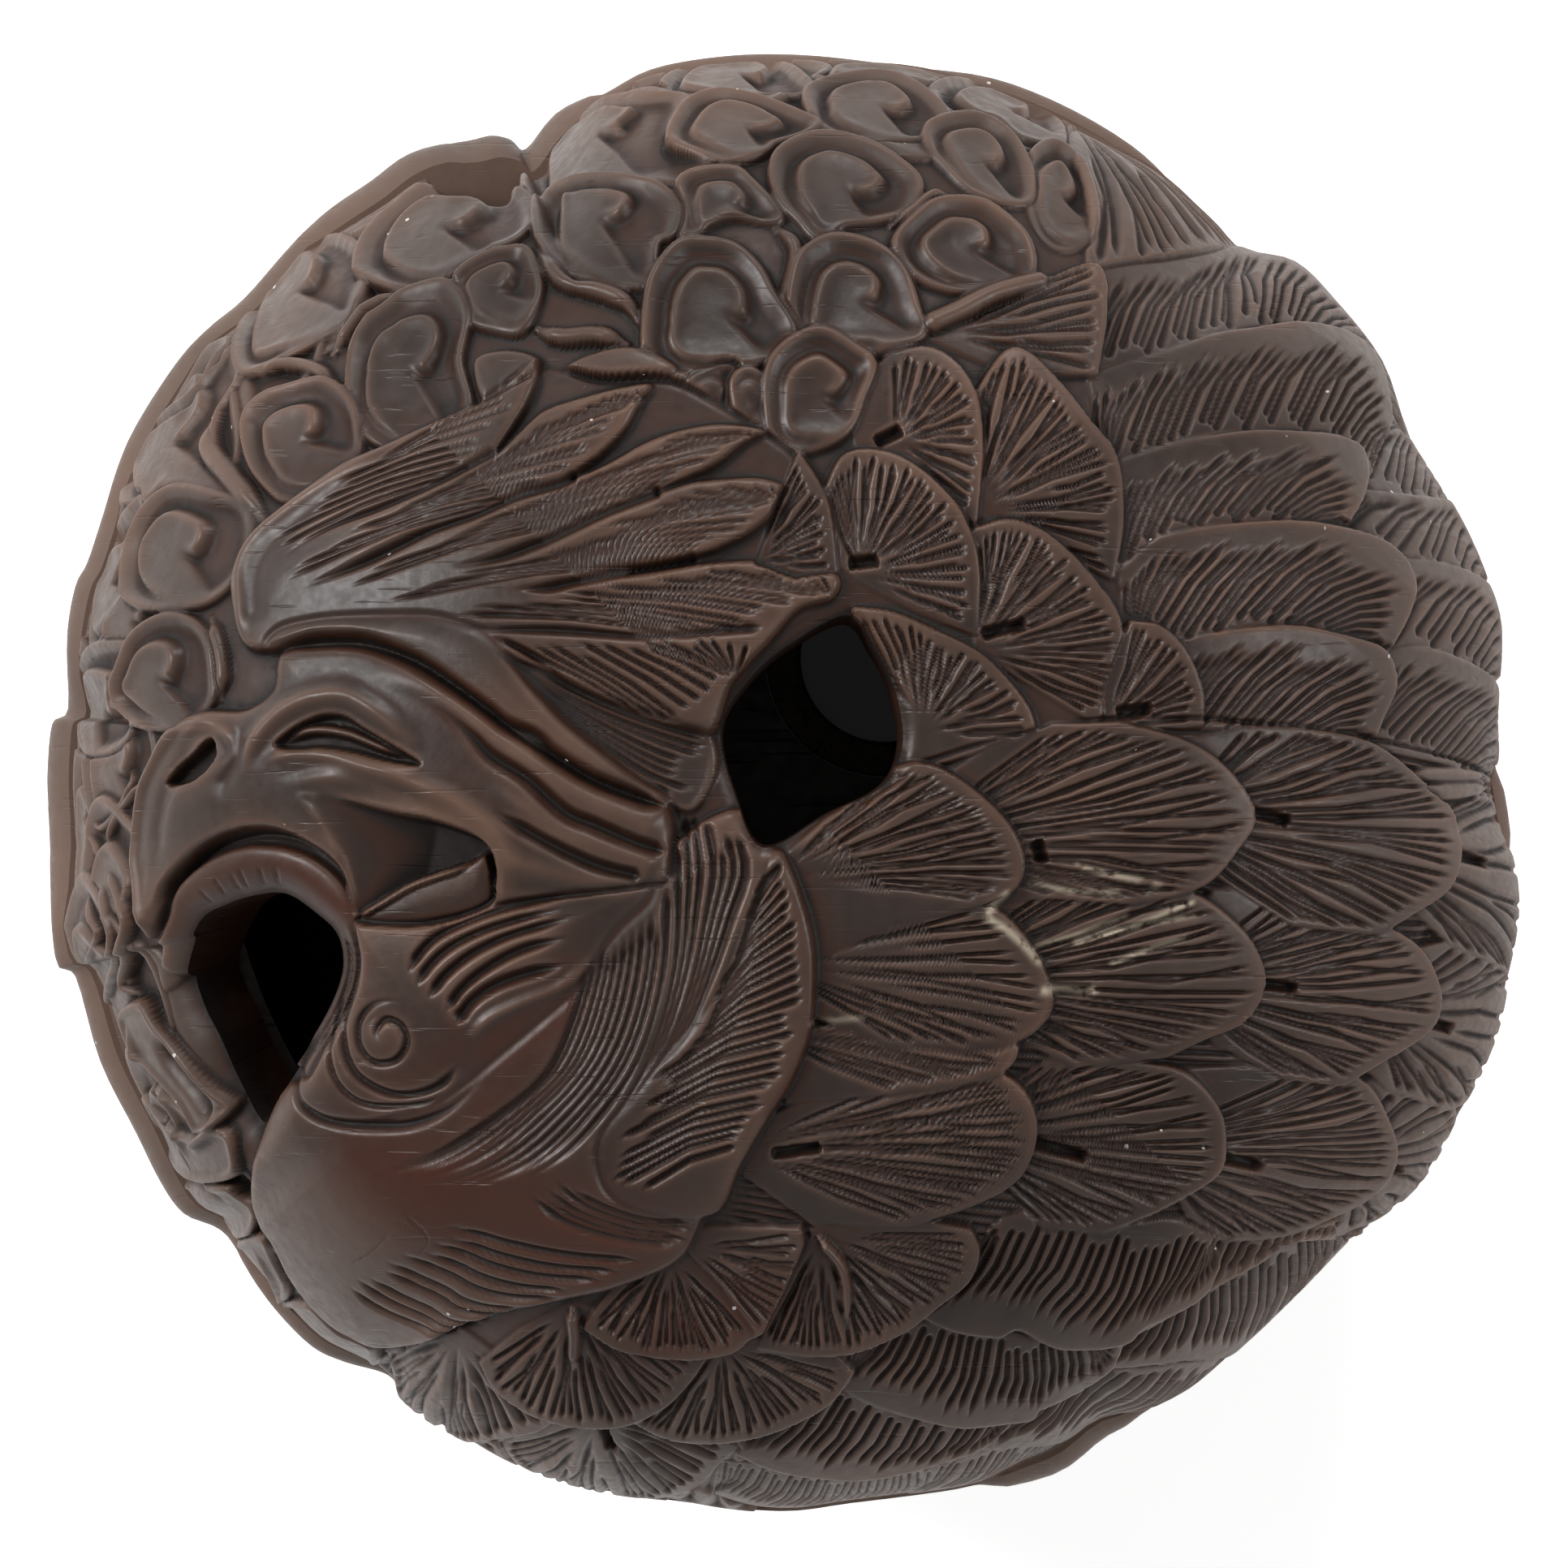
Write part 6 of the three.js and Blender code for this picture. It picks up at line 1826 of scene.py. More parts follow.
CREST: tuple[Form, ...] = (
    Plate("bed of the crest", ((300, 740), (330, 640), (420, 580), (560, 525), (655, 450), (740, 462),
        (822, 462), (890, 495), (942, 527), (985, 560), (1012, 600), (1030, 650), (1030, 730), (960, 785),
        (900, 860), (860, 900), (780, 900), (640, 840)), -0.26, crown=-0.05, drop=0.14),
    Plate("crest", ((303, 798), (288, 762), (283, 720), (290, 690), (310, 655), (345, 625), (380, 598),
        (420, 570), (470, 548), (520, 525), (570, 502), (610, 482), (640, 457), (660, 440), (663, 462),
        (649, 498), (628, 533), (614, 556), (640, 530), (670, 504), (717, 488), (759, 477), (802, 472),
        (788, 498), (770, 530), (738, 562), (706, 586), (744, 572), (796, 543), (844, 527), (891, 521),
        (943, 529), (917, 545), (891, 567), (859, 585), (810, 606), (850, 593), (902, 588), (938, 588),
        (968, 598), (966, 618), (933, 651), (902, 669), (859, 685), (775, 704), (860, 694), (940, 690),
        (1028, 705), (1028, 735), (985, 752), (946, 793), (902, 842), (884, 898), (850, 905), (796, 884),
        (744, 864), (700, 843), (660, 822), (620, 812), (560, 800), (500, 795), (440, 788), (390, 785),
        (345, 800)), 0.1, crown=0.16, lip=0.22, drop=0.14, soft=0.12),
    Roll("lip of the crest", ((303, 790), (298, 745), (298, 700), (318, 662), (352, 632), (390, 605),
        (440, 575), (500, 547)), 0.2, 0.12, (0.1, 0.3)),
    Roll("hollow behind the lip", ((318, 775), (318, 715), (340, 670), (385, 632), (440, 602)), 0.3, -0.08,
        (0.1, 0.4)),
    *numbered(
        Barbs, "barbs of feather",
        (((318, 700), (345, 655), (400, 606), (470, 568), (545, 524), (610, 490), (652, 456)), ((400, 655),
            (455, 632), (523, 602), (575, 576), (610, 552), (638, 510), (660, 462)), 17, 0.1, 0.15, 0.02, 0.5,
            (0.15, 0.1)),
        (((330, 732), (400, 672), (470, 640), (565, 592), (633, 545), (717, 500), (790, 478)), ((425, 706),
            (490, 676), (560, 645), (638, 610), (700, 588), (760, 540), (795, 492)), 20, 0.1, 0.16, 0.02, 0.5,
            (0.15, 0.1)),
        (((385, 742), (470, 698), (560, 660), (660, 612), (744, 580), (820, 543), (910, 530)), ((520, 712),
            (600, 692), (660, 672), (733, 640), (800, 610), (870, 580), (930, 536)), 20, 0.1, 0.17, 0.02, 0.5,
            (0.15, 0.1)),
        (((460, 748), (560, 712), (660, 685), (760, 640), (850, 605), (920, 597), (962, 602)), ((640, 738),
            (700, 726), (775, 706), (850, 688), (902, 668), (940, 645), (965, 618)), 20, 0.1, 0.17, 0.02, 0.5,
            (0.15, 0.1)),
        (((520, 758), (610, 742), (700, 727), (790, 712), (880, 700), (960, 698), (1020, 710)), ((640, 774),
            (720, 778), (800, 784), (870, 781), (930, 775), (980, 752), (1025, 735)), 20, 0.11, 0.22, 0.02,
            0.5, (0.15, 0.1)),
        (((600, 782), (660, 782), (740, 785), (820, 787), (880, 785), (935, 785)), ((690, 835), (744, 862),
            (800, 884), (850, 900), (882, 880), (905, 835)), 15, 0.11, 0.24, 0.02, 0.45, (0.15, 0.1)),
    ),
    *numbered(
        Groove, "quill",
        (((350, 690), (412, 650), (470, 627), (523, 604), (565, 583), (612, 556)), 0.2, 0.24, (0.4, 0.02),
            1.2),
        (((375, 726), (428, 704), (480, 680), (533, 654), (586, 635), (638, 612), (690, 596), (712, 584)),
            0.26, 0.34, (0.3, 0.02), 1.2),
        (((555, 700), (607, 691), (660, 672), (696, 656), (733, 638), (775, 620), (815, 604)), 0.26, 0.32,
            (0.3, 0.02), 1.2),
        (((630, 728), (675, 725), (723, 714), (775, 704), (823, 696), (859, 686)), 0.24, 0.32, (0.25, 0.02),
            1.2, 0.6),
        (((530, 762), (596, 775), (638, 776), (691, 777), (744, 781), (796, 784), (849, 781), (902, 776),
            (944, 773)), 0.22, 0.28, (0.4, 0.05), 1.2),
        (((600, 778), (638, 798), (670, 819), (702, 843), (744, 862), (796, 880), (849, 893)), 0.22, 0.26,
            (0.3, 0.1), 1.2, 0.5),
    ),
    Plate("hollow over the brow", ((620, 806), (665, 830), (702, 850), (760, 874), (820, 890), (872, 902),
        (882, 945), (858, 995), (824, 992), (780, 962), (735, 925), (690, 885), (650, 850)), -0.22,
        crown=-0.08, drop=-0.08, soft=0.2),
    Strands("streaks of the hollow", ((640, 812), (700, 846), (760, 872), (820, 890), (876, 905)),
        ((650, 848), (700, 892), (750, 935), (800, 972), (852, 992)), 8, 0.13, 0.2, fade=(0.2, 0.1),
        sharp=1.2),
    Fan("small feather beside the crest", (930, 690), ((985, 560), (1010, 600), (1022, 640), (1028, 700)),
        base=((980, 706), (935, 690)), barbs=10, high=-0.12),
)

HEAD: tuple[Form, ...] = (
    Plate("brow band", ((330, 800), (345, 775), (400, 762), (480, 758), (540, 760), (596, 778), (625, 806),
        (660, 850), (700, 892), (750, 932), (812, 978), (826, 998), (782, 982), (729, 962), (682, 934),
        (640, 908), (600, 878), (550, 840), (500, 810), (440, 794), (390, 794)), 0.1, crown=0.16, drop=0.1,
        soft=0.3),
    Plate("cheek", ((425, 1120), (500, 1130), (606, 1105), (700, 1085), (795, 1080), (800, 1110), (760, 1150),
        (715, 1215), (662, 1262), (610, 1305), (571, 1338), (530, 1364), (466, 1383), (413, 1380),
        (376, 1364), (361, 1338), (366, 1312), (382, 1285), (405, 1240), (420, 1190)), 0.08, crown=0.2,
        soft=0.4),
    Plate("head", ((250, 876), (215, 892), (190, 930), (172, 975), (165, 1050), (168, 1110), (184, 1160),
        (196, 1120), (212, 1088), (250, 1050), (300, 1030), (345, 1030), (387, 1046), (420, 1075),
        (440, 1128), (500, 1142), (552, 1136), (606, 1118), (680, 1108), (792, 1094), (826, 1082),
        (828, 1000), (782, 986), (729, 964), (682, 936), (640, 909), (600, 878), (550, 840), (500, 812),
        (450, 796), (400, 794), (345, 804), (335, 850), (300, 874)), 0.12, crown=0.22, lip=0.4, drop=0.2),
    Roll("roll of the brow", ((430, 828), (500, 836), (560, 864), (610, 900), (660, 942), (715, 980),
        (770, 1004), (822, 1024)), 0.4, 0.16, (0.25, 0.05)),
    Roll("roll under it", ((600, 952), (640, 985), (690, 1022), (740, 1046), (810, 1066)), 0.32, 0.12,
        (0.3, 0.05)),
    Roll("ridge to the corner of the mouth", ((612, 1040), (640, 1062), (690, 1078), (740, 1088),
        (790, 1096)), 0.35, 0.14, (0.2, 0.3)),
    Roll("roll over the mouth", ((350, 962), (420, 952), (480, 958), (540, 974), (585, 1000), (618, 1040),
        (622, 1095)), 0.34, 0.18, (0.25, 0.2)),
    Roll("upper eyelid", ((303, 958), (318, 915), (345, 882), (382, 862), (424, 856), (455, 868), (490, 895),
        (530, 930)), 0.3, 0.26, (0.2, 0.3)),
    Roll("hollow before the eye", ((300, 895), (292, 940), (270, 985)), 0.34, -0.12, (0.3, 0.3)),
    Roll("edge of the beak", ((290, 880), (245, 888), (213, 908), (190, 945), (176, 992), (170, 1054),
        (173, 1110), (184, 1150)), 0.24, 0.2, (0.15, 0.05)),
    Roll("hollow of the beak", ((255, 915), (226, 945), (208, 985), (200, 1035), (198, 1085)), 0.3, -0.12,
        (0.2, 0.3)),
    Roll("roll over the nostril", ((218, 925), (250, 896), (284, 902), (292, 930), (266, 960)), 0.2, 0.12,
        (0.3, 0.3)),
    Plate("nostril", ((211, 966), (224, 946), (245, 928), (265, 911), (270, 933), (252, 956), (230, 966)),
        -0.3, crown=-0.1, lip=0.12, drop=-0.12),
    Plate("eye", ((344, 918), (368, 897), (400, 883), (428, 884), (452, 899), (482, 917), (520, 942),
        (480, 938), (440, 928), (400, 922), (366, 924)), -0.12, crown=-0.04, lip=0.12, drop=-0.1),
    Ridge("ball of the eye", ((352, 914), (385, 900), (425, 903), (465, 918), (505, 936)), 0.16, 0.2, -0.1,
        (0.2, 0.2)),
    Roll("lower eyelid", ((325, 940), (365, 930), (415, 932), (460, 944), (520, 958)), 0.14, 0.1),
    Roll("hollow under the eye", ((340, 958), (400, 948), (470, 962), (540, 985)), 0.2, -0.07),
    Groove("under the crest", ((334, 801), (361, 793), (397, 788), (445, 790), (487, 804), (518, 819),
        (555, 843), (597, 872), (624, 893), (660, 909), (682, 930), (729, 959), (782, 980), (821, 996)), 0.34,
        0.42, (0.12, 0.05), 1.2, stain=0.7),
    Groove("brow groove", ((520, 866), (550, 880), (582, 906), (608, 933), (650, 959), (697, 1001),
        (734, 1017), (782, 1038), (824, 1051)), 0.32, 0.32, (0.35, 0.05), 1.2, stain=0.4),
    Groove("groove under the brow", ((606, 996), (639, 1017), (676, 1038), (708, 1054), (745, 1069),
        (792, 1080)), 0.28, 0.3, (0.25, 0.05), 1.2),
    Groove("behind the head", ((826, 985), (830, 1030), (828, 1085)), 0.2, 0.2, (0.1, 0.1)),
    Plate("mouth", ((372, 982), (403, 980), (434, 988), (466, 998), (497, 1006), (529, 1012), (561, 1022),
        (587, 1033), (603, 1048), (609, 1069), (608, 1090), (602, 1112), (550, 1133), (492, 1139),
        (440, 1132), (432, 1100), (422, 1055), (400, 1015)), 0.3, -1.0, crown=-0.1, lip=0.12, drop=-0.02,
        root=(385, 1020), tip=(520, 1050), soft=0.22),
    Plate("tongue", ((434, 1136), (470, 1114), (508, 1092), (562, 1074), (596, 1052), (606, 1086),
        (600, 1114), (550, 1133), (490, 1141)), -0.3, crown=0.08, lip=0.14, drop=0.08),
    Ridge("edge of the tongue", ((436, 1133), (468, 1114), (508, 1091), (560, 1073), (585, 1062)), 0.12,
        -0.08, -0.4, (0.1, 0.2)),
    Plate("lip of the beak", ((190, 1190), (200, 1130), (215, 1092), (245, 1062), (287, 1044), (324, 1040),
        (361, 1047), (395, 1064), (425, 1095), (437, 1140), (442, 1190), (428, 1235), (402, 1285),
        (375, 1330), (330, 1300), (350, 1180), (320, 1130), (260, 1140), (220, 1210)), -0.06, crown=0.05,
        drop=0.14, soft=0.14),
    Groove("above the lip of the beak", ((192, 1128), (208, 1091), (229, 1068), (255, 1046), (287, 1031),
        (324, 1026), (361, 1034), (387, 1046), (416, 1060)), 0.28, 0.38, (0.12, 0.3), 1.2, stain=0.6),
    Groove("second line above the lip", ((225, 1080), (262, 1054), (300, 1041), (350, 1043), (385, 1056)),
        0.12, 0.12, (0.2, 0.3)),
    Barbs("scratches of the lip", ((236, 1092), (270, 1070), (320, 1060), (350, 1066)), ((248, 1118),
        (280, 1102), (320, 1096), (345, 1098)), 6, 0.07, 0.07, 0.0),
    Strands("lines beside the beak", ((405, 1120), (418, 1160), (420, 1200), (402, 1250), (372, 1300)),
        ((436, 1130), (446, 1180), (440, 1225), (416, 1275), (386, 1325)), 4, 0.13, 0.16, fade=(0.2, 0.2)),
    Tint("lip of the beak", ((200, 1150), (225, 1100), (270, 1072), (320, 1062), (370, 1074), (420, 1120)),
        0.55, 1.0),
    *numbered(
        Groove, "cheek groove",
        (((506, 1198), (518, 1175), (539, 1154), (571, 1138), (613, 1122), (655, 1112), (712, 1101)), 0.21,
            0.3, (0.1, 0.3), 1.2),
        (((516, 1214), (529, 1191), (555, 1167), (592, 1148), (639, 1133), (700, 1117)), 0.2, 0.28,
            (0.1, 0.3), 1.2),
        (((530, 1229), (550, 1201), (582, 1175), (624, 1154), (676, 1138), (715, 1126)), 0.2, 0.3, (0.1, 0.3),
            1.2),
        (((552, 1245), (571, 1217), (603, 1191), (645, 1169), (705, 1152)), 0.22, 0.32, (0.1, 0.3), 1.2),
        (((562, 1262), (582, 1233), (614, 1212), (655, 1198), (705, 1186)), 0.26, 0.34, (0.1, 0.3), 1.2, 0.5),
    ),
    Roll("fold of the cheek", ((575, 1285), (603, 1255), (640, 1236), (697, 1212), (735, 1170)), 0.16, 0.12,
        (0.2, 0.3)),
    Knob("wattle", (479, 1278), 0.95, 0.34, 0.0),
    Groove("turn of the wattle", ((474, 1284), (468, 1268), (480, 1254), (498, 1262), (504, 1284),
        (490, 1304), (464, 1306), (446, 1286), (446, 1256), (466, 1234), (500, 1230)), 0.16, 0.2,
        (0.1, 0.25)),
    Groove("fold round the wattle 1", ((446, 1205), (430, 1235), (424, 1262), (430, 1300), (450, 1329),
        (492, 1348), (540, 1338), (572, 1304)), 0.22, 0.26, (0.2, 0.15)),
    Groove("fold round the wattle 2", ((424, 1200), (412, 1240), (406, 1285), (416, 1327), (445, 1356),
        (487, 1362), (529, 1356), (560, 1335)), 0.17, 0.2, (0.25, 0.2)),
    Groove("edge of the cheek", ((395, 1262), (380, 1287), (364, 1312), (359, 1340), (376, 1366), (413, 1384),
        (466, 1388), (510, 1384), (556, 1364), (600, 1325)), 0.26, 0.26, (0.15, 0.3)),
    Tint("glow of the throat", ((620, 1300), (660, 1275), (700, 1240)), 0.8, 1.0),
    Tint("glow of the cheek", ((470, 1330), (520, 1320), (560, 1290)), 0.5, 0.4),
)

CENTRE_HOLE: Line = (
    (887, 895), (925, 832), (975, 790), (1045, 755), (1078, 795), (1103, 845), (1114, 915), (1090, 968),
    (1020, 1004), (940, 1045), (905, 980),
)
BEAK_HOLE: Line = (
    (210, 1205), (228, 1140), (262, 1118), (300, 1106), (340, 1104), (378, 1128), (405, 1155), (412, 1195),
    (398, 1240), (370, 1290), (345, 1330), (322, 1365), (303, 1400), (288, 1390), (262, 1340), (240, 1290),
    (218, 1245),
)
SIDE_HOLE: Line = (
    (520, 212), (536, 192), (573, 183), (618, 180), (650, 188), (655, 212), (628, 225), (573, 229),
    (532, 225),
)


@dataclass(frozen=True)
class HoleLip(Form):
    """Worn edge round a pierced hole."""

    name: str
    outline: Line
    width: float = 0.4
    drop: float = 0.22
    usual: float = 0.4

    def carve(self, relief: Relief) -> None:
        """Round the edge down into the hole."""
        outline = smooth(relief.surface.chart(self.outline), closed=True)
        window = relief.window(outline, self.width)
        u, v = relief.cells(window)
        depth, _, _ = depth_inside(outline, u, v)
        fall = (1.0 - np.clip(-depth / self.width, 0.0, 1.0)) ** 2
        relief.level[window] -= self.drop * (self.width / self.usual) * fall


HOLES = (HoleLip("middle", CENTRE_HOLE), HoleLip("beak", BEAK_HOLE, 1.1), HoleLip("side", SIDE_HOLE))


@dataclass(frozen=True)
class Border(Form):
    """Row of lappets round the side of a half, with barbs or as hollow curls."""

    name: str
    first: float
    last: float
    count: int
    root: float
    tip: float
    level: float = -0.05
    barbs: int = 7
    bend: float = 0.0
    overlap: float = 1.3
    stagger: float = 0.0
    ALONG: ClassVar[tuple[float, ...]] = (0.0, 0.3, 0.62, 0.88, 1.0, 0.9, 0.66, 0.3, 0.0)
    ACROSS: ClassVar[tuple[float, ...]] = (-0.55, -0.92, -1.0, -0.66, 0.0, 0.66, 1.0, 0.92, 0.55)

    def carve(self, relief: Relief) -> None:
        """Lay the lappets one after another along the side.

        Args:
            relief: Relief to carve.
        """
        step = (self.last - self.first) / self.count
        for place in range(self.count):
            middle = self.first + step * (place + 0.5 + self.stagger + relief.hand.uniform(-0.1, 0.1))
            reach = (self.tip - self.root) * relief.hand.uniform(0.94, 1.04)
            half = abs(step) / 2.0 * self.overlap * relief.hand.uniform(0.95, 1.1)
            along, across = np.array(self.ALONG), np.array(self.ACROSS)
            share = self.root + reach * along
            turn = np.radians(middle + half * across + self.bend * along)
            ring = np.stack([np.cos(turn), np.sin(turn)], axis=-1) * (share * relief.surface.length)[:, None]
            apex = ring[[0, -1]].mean(0)
            if not self.barbs:
                Curl(self.name, (), self.level, 0.08, 0.34).lay(relief, smooth(ring, closed=True))
                continue
            feather = Fan(
                self.name, (0, 0), (), barbs=self.barbs, low=self.level - 0.3, high=self.level,
                crown=0.04, start=0.12, band=0.1, depth=0.18,
            )
            feather.lay(relief, apex, smooth(ring), apex.reshape(1, 2))


@dataclass(frozen=True)
class FlatFoot(Form):
    """Plain flat foot with a cut ring round it."""

    name: str
    radius: float = SIZES.foot_radius

    def carve(self, relief: Relief) -> None:
        """Level the foot and cut its ring."""
        turn = np.linspace(0.0, FULL_TURN, 181)
        ring = np.stack([np.cos(turn), np.sin(turn)], axis=-1)
        relief.plate(ring[:-1] * (self.radius + 0.1), 0.0, 0.0, 0.0, 0.35, 0.12)
        relief.cut([ring * (self.radius + 0.55)], 0.3, 0.1, (0.0, 0.0), None, 1.5)


@dataclass(frozen=True)
class RimBand(Form):
    """Smooth band along the seam."""

    name: str
    start: float
    level: float = 0.0
    step: float = 0.012

    def carve(self, relief: Relief) -> None:
        """Level the band."""
        whole = slice(0, 2 * relief.half + 1)
        share, _, _ = relief.surface.polar(*relief.cells((whole, whole)))
        relief.level += (self.level - relief.level) * ease((share - self.start) / self.step)


FACE_SIDE: tuple[Form, ...] = (
    Border("lower side feathers", -128.0, 62.0, 21, 0.82, 0.985, -0.12, 8, 2.0),
    Border("upper side feathers", -124.0, 60.0, 19, 0.7, 0.9, -0.1, 8, 2.0, stagger=0.5),
    Border("lower side curls", 66.0, 192.0, 11, 0.82, 0.98, -0.14, 0, -3.0),
    Border("upper side curls", 70.0, 192.0, 10, 0.7, 0.89, -0.12, 0, -3.0, stagger=0.5),
    Border("side folds", 192.0, 232.0, 3, 0.76, 0.975, -0.2, 0, -3.0),
)

BACK_CARVING: tuple[Form, ...] = (
    Border("feathers at the rim", -130.0, 64.0, 21, 0.82, 0.985, -0.1, 8, 3.0),
    Border("curls at the rim", 66.0, 230.0, 15, 0.82, 0.98, -0.1, 0, -4.0),
    Border("second feathers", -134.0, 62.0, 18, 0.68, 0.88, -0.08, 9, 4.0, stagger=0.5),
    Border("second curls", 70.0, 226.0, 13, 0.69, 0.87, -0.08, 0, -5.0, stagger=0.5),
    Border("third feathers", -140.0, 70.0, 16, 0.55, 0.75, -0.06, 9, 5.0),
    Border("third curls", 76.0, 220.0, 10, 0.56, 0.74, -0.06, 0, -6.0),
    Border("inner feathers", -150.0, 210.0, 22, 0.39, 0.6, -0.06, 8, 8.0, stagger=0.5),
    RimBand("smooth band at the seam", 0.945),
    FlatFoot("foot"),
)


class Body(Enum):
    """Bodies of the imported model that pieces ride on."""

    BACK = "back"
    FACE = "face"


class Finish(Enum):
    """Material slots of the record."""

    WOOD_FACE = "wood_face"
    WOOD_BACK = "wood_back"
    HORN = "horn"


Colour = tuple[float, float, float]


class Nodes:
    """Small helper that lays shader nodes out and joins them."""

    def __init__(self, tree: bpy.types.NodeTree) -> None:
        """Take the tree."""
        self.tree = tree

    def put(self, socket: bpy.types.NodeSocket, value: object) -> None:
        """Join an input to a socket, or give it a plain value."""
        if isinstance(value, bpy.types.NodeSocket):
            self.tree.links.new(value, socket)
        else:
            socket.default_value = value

    def node(self, kind: str, **values: object) -> bpy.types.Node:
        """Add a node and set its properties and inputs.

        Args:
            kind: Type of the node.
            values: Properties, or inputs by name with spaces as underscores, which may be sockets.

        Returns:
            The node.
        """
        node = self.tree.nodes.new(kind)
        for name, value in values.items():
            if hasattr(node, name):
                setattr(node, name, value)
                continue
            self.put(node.inputs[name.replace("_", " ")], value)
        return node

    def curve(
        self, value: bpy.types.NodeSocket, low: float, high: float, to_low: float = 0.0,
        to_high: float = 1.0,
    ) -> bpy.types.NodeSocket:
        """Return a value mapped from one range to another, and clipped."""
        node = self.node("ShaderNodeMapRange", Value=value)
        for name, number in (("From Min", low), ("From Max", high), ("To Min", to_low), ("To Max", to_high)):
            node.inputs[name].default_value = number
        return node.outputs[0]

    def maths(self, operation: str, first: object, second: object) -> bpy.types.NodeSocket:
        """Return two values combined."""
        node = self.node("ShaderNodeMath", operation=operation)
        for socket, value in zip(node.inputs, (first, second)):
            self.put(socket, value)
        return node.outputs[0]

    def length(self, vector: bpy.types.NodeSocket) -> bpy.types.NodeSocket:
        """Return a vector's length."""
        node = self.node("ShaderNodeVectorMath", operation="LENGTH")
        self.put(node.inputs[0], vector)
        return node.outputs["Value"]

    def seen(self) -> bpy.types.NodeSocket:
        """Return 1 on what the camera, gloss or glass sees, and 0 on what lights the object."""
        path = self.node("ShaderNodeLightPath").outputs
        gloss = self.maths("MAXIMUM", path["Is Glossy Ray"], path["Is Transmission Ray"])
        return self.maths("MAXIMUM", path["Is Camera Ray"], gloss)


class Shading(Nodes):
    """New material with its Principled shader, read at Object coordinates."""

    def __init__(self, name: str) -> None:
        """Start the material."""
        self.material = bpy.data.materials.new(name)
        self.material.use_nodes = True
        super().__init__(self.material.node_tree)
        self.shader = self.tree.nodes["Principled BSDF"]
        self.place = self.node("ShaderNodeTexCoord").outputs["Object"]

    def noise(self, scale: tuple[float, float, float], detail: float = 3.0) -> bpy.types.NodeSocket:
        """Return noise on Object coordinates, stretched by a scale along each axis."""
        spot = self.node("ShaderNodeMapping", Vector=self.place, Scale=scale).outputs[0]
        return self.node("ShaderNodeTexNoise", Vector=spot, Scale=1.0, Detail=detail).outputs["Fac"]

    def mix(self, share: bpy.types.NodeSocket, first: object, second: object) -> bpy.types.NodeSocket:
        """Return two colours mixed by a share."""
        node = self.node("ShaderNodeMix", data_type="RGBA")
        self.put(node.inputs[0], share)
        for socket, value in ((node.inputs[6], first), (node.inputs[7], second)):
            self.put(socket, value if isinstance(value, bpy.types.NodeSocket) else (*value, 1.0))
        return node.outputs[2]

    def finish(self, **values: object) -> bpy.types.Material:
        """Set the shader's inputs by name, with spaces as underscores, and return the material."""
        for name, value in values.items():
            self.put(self.shader.inputs[name.replace("_", " ")], value)
        return self.material


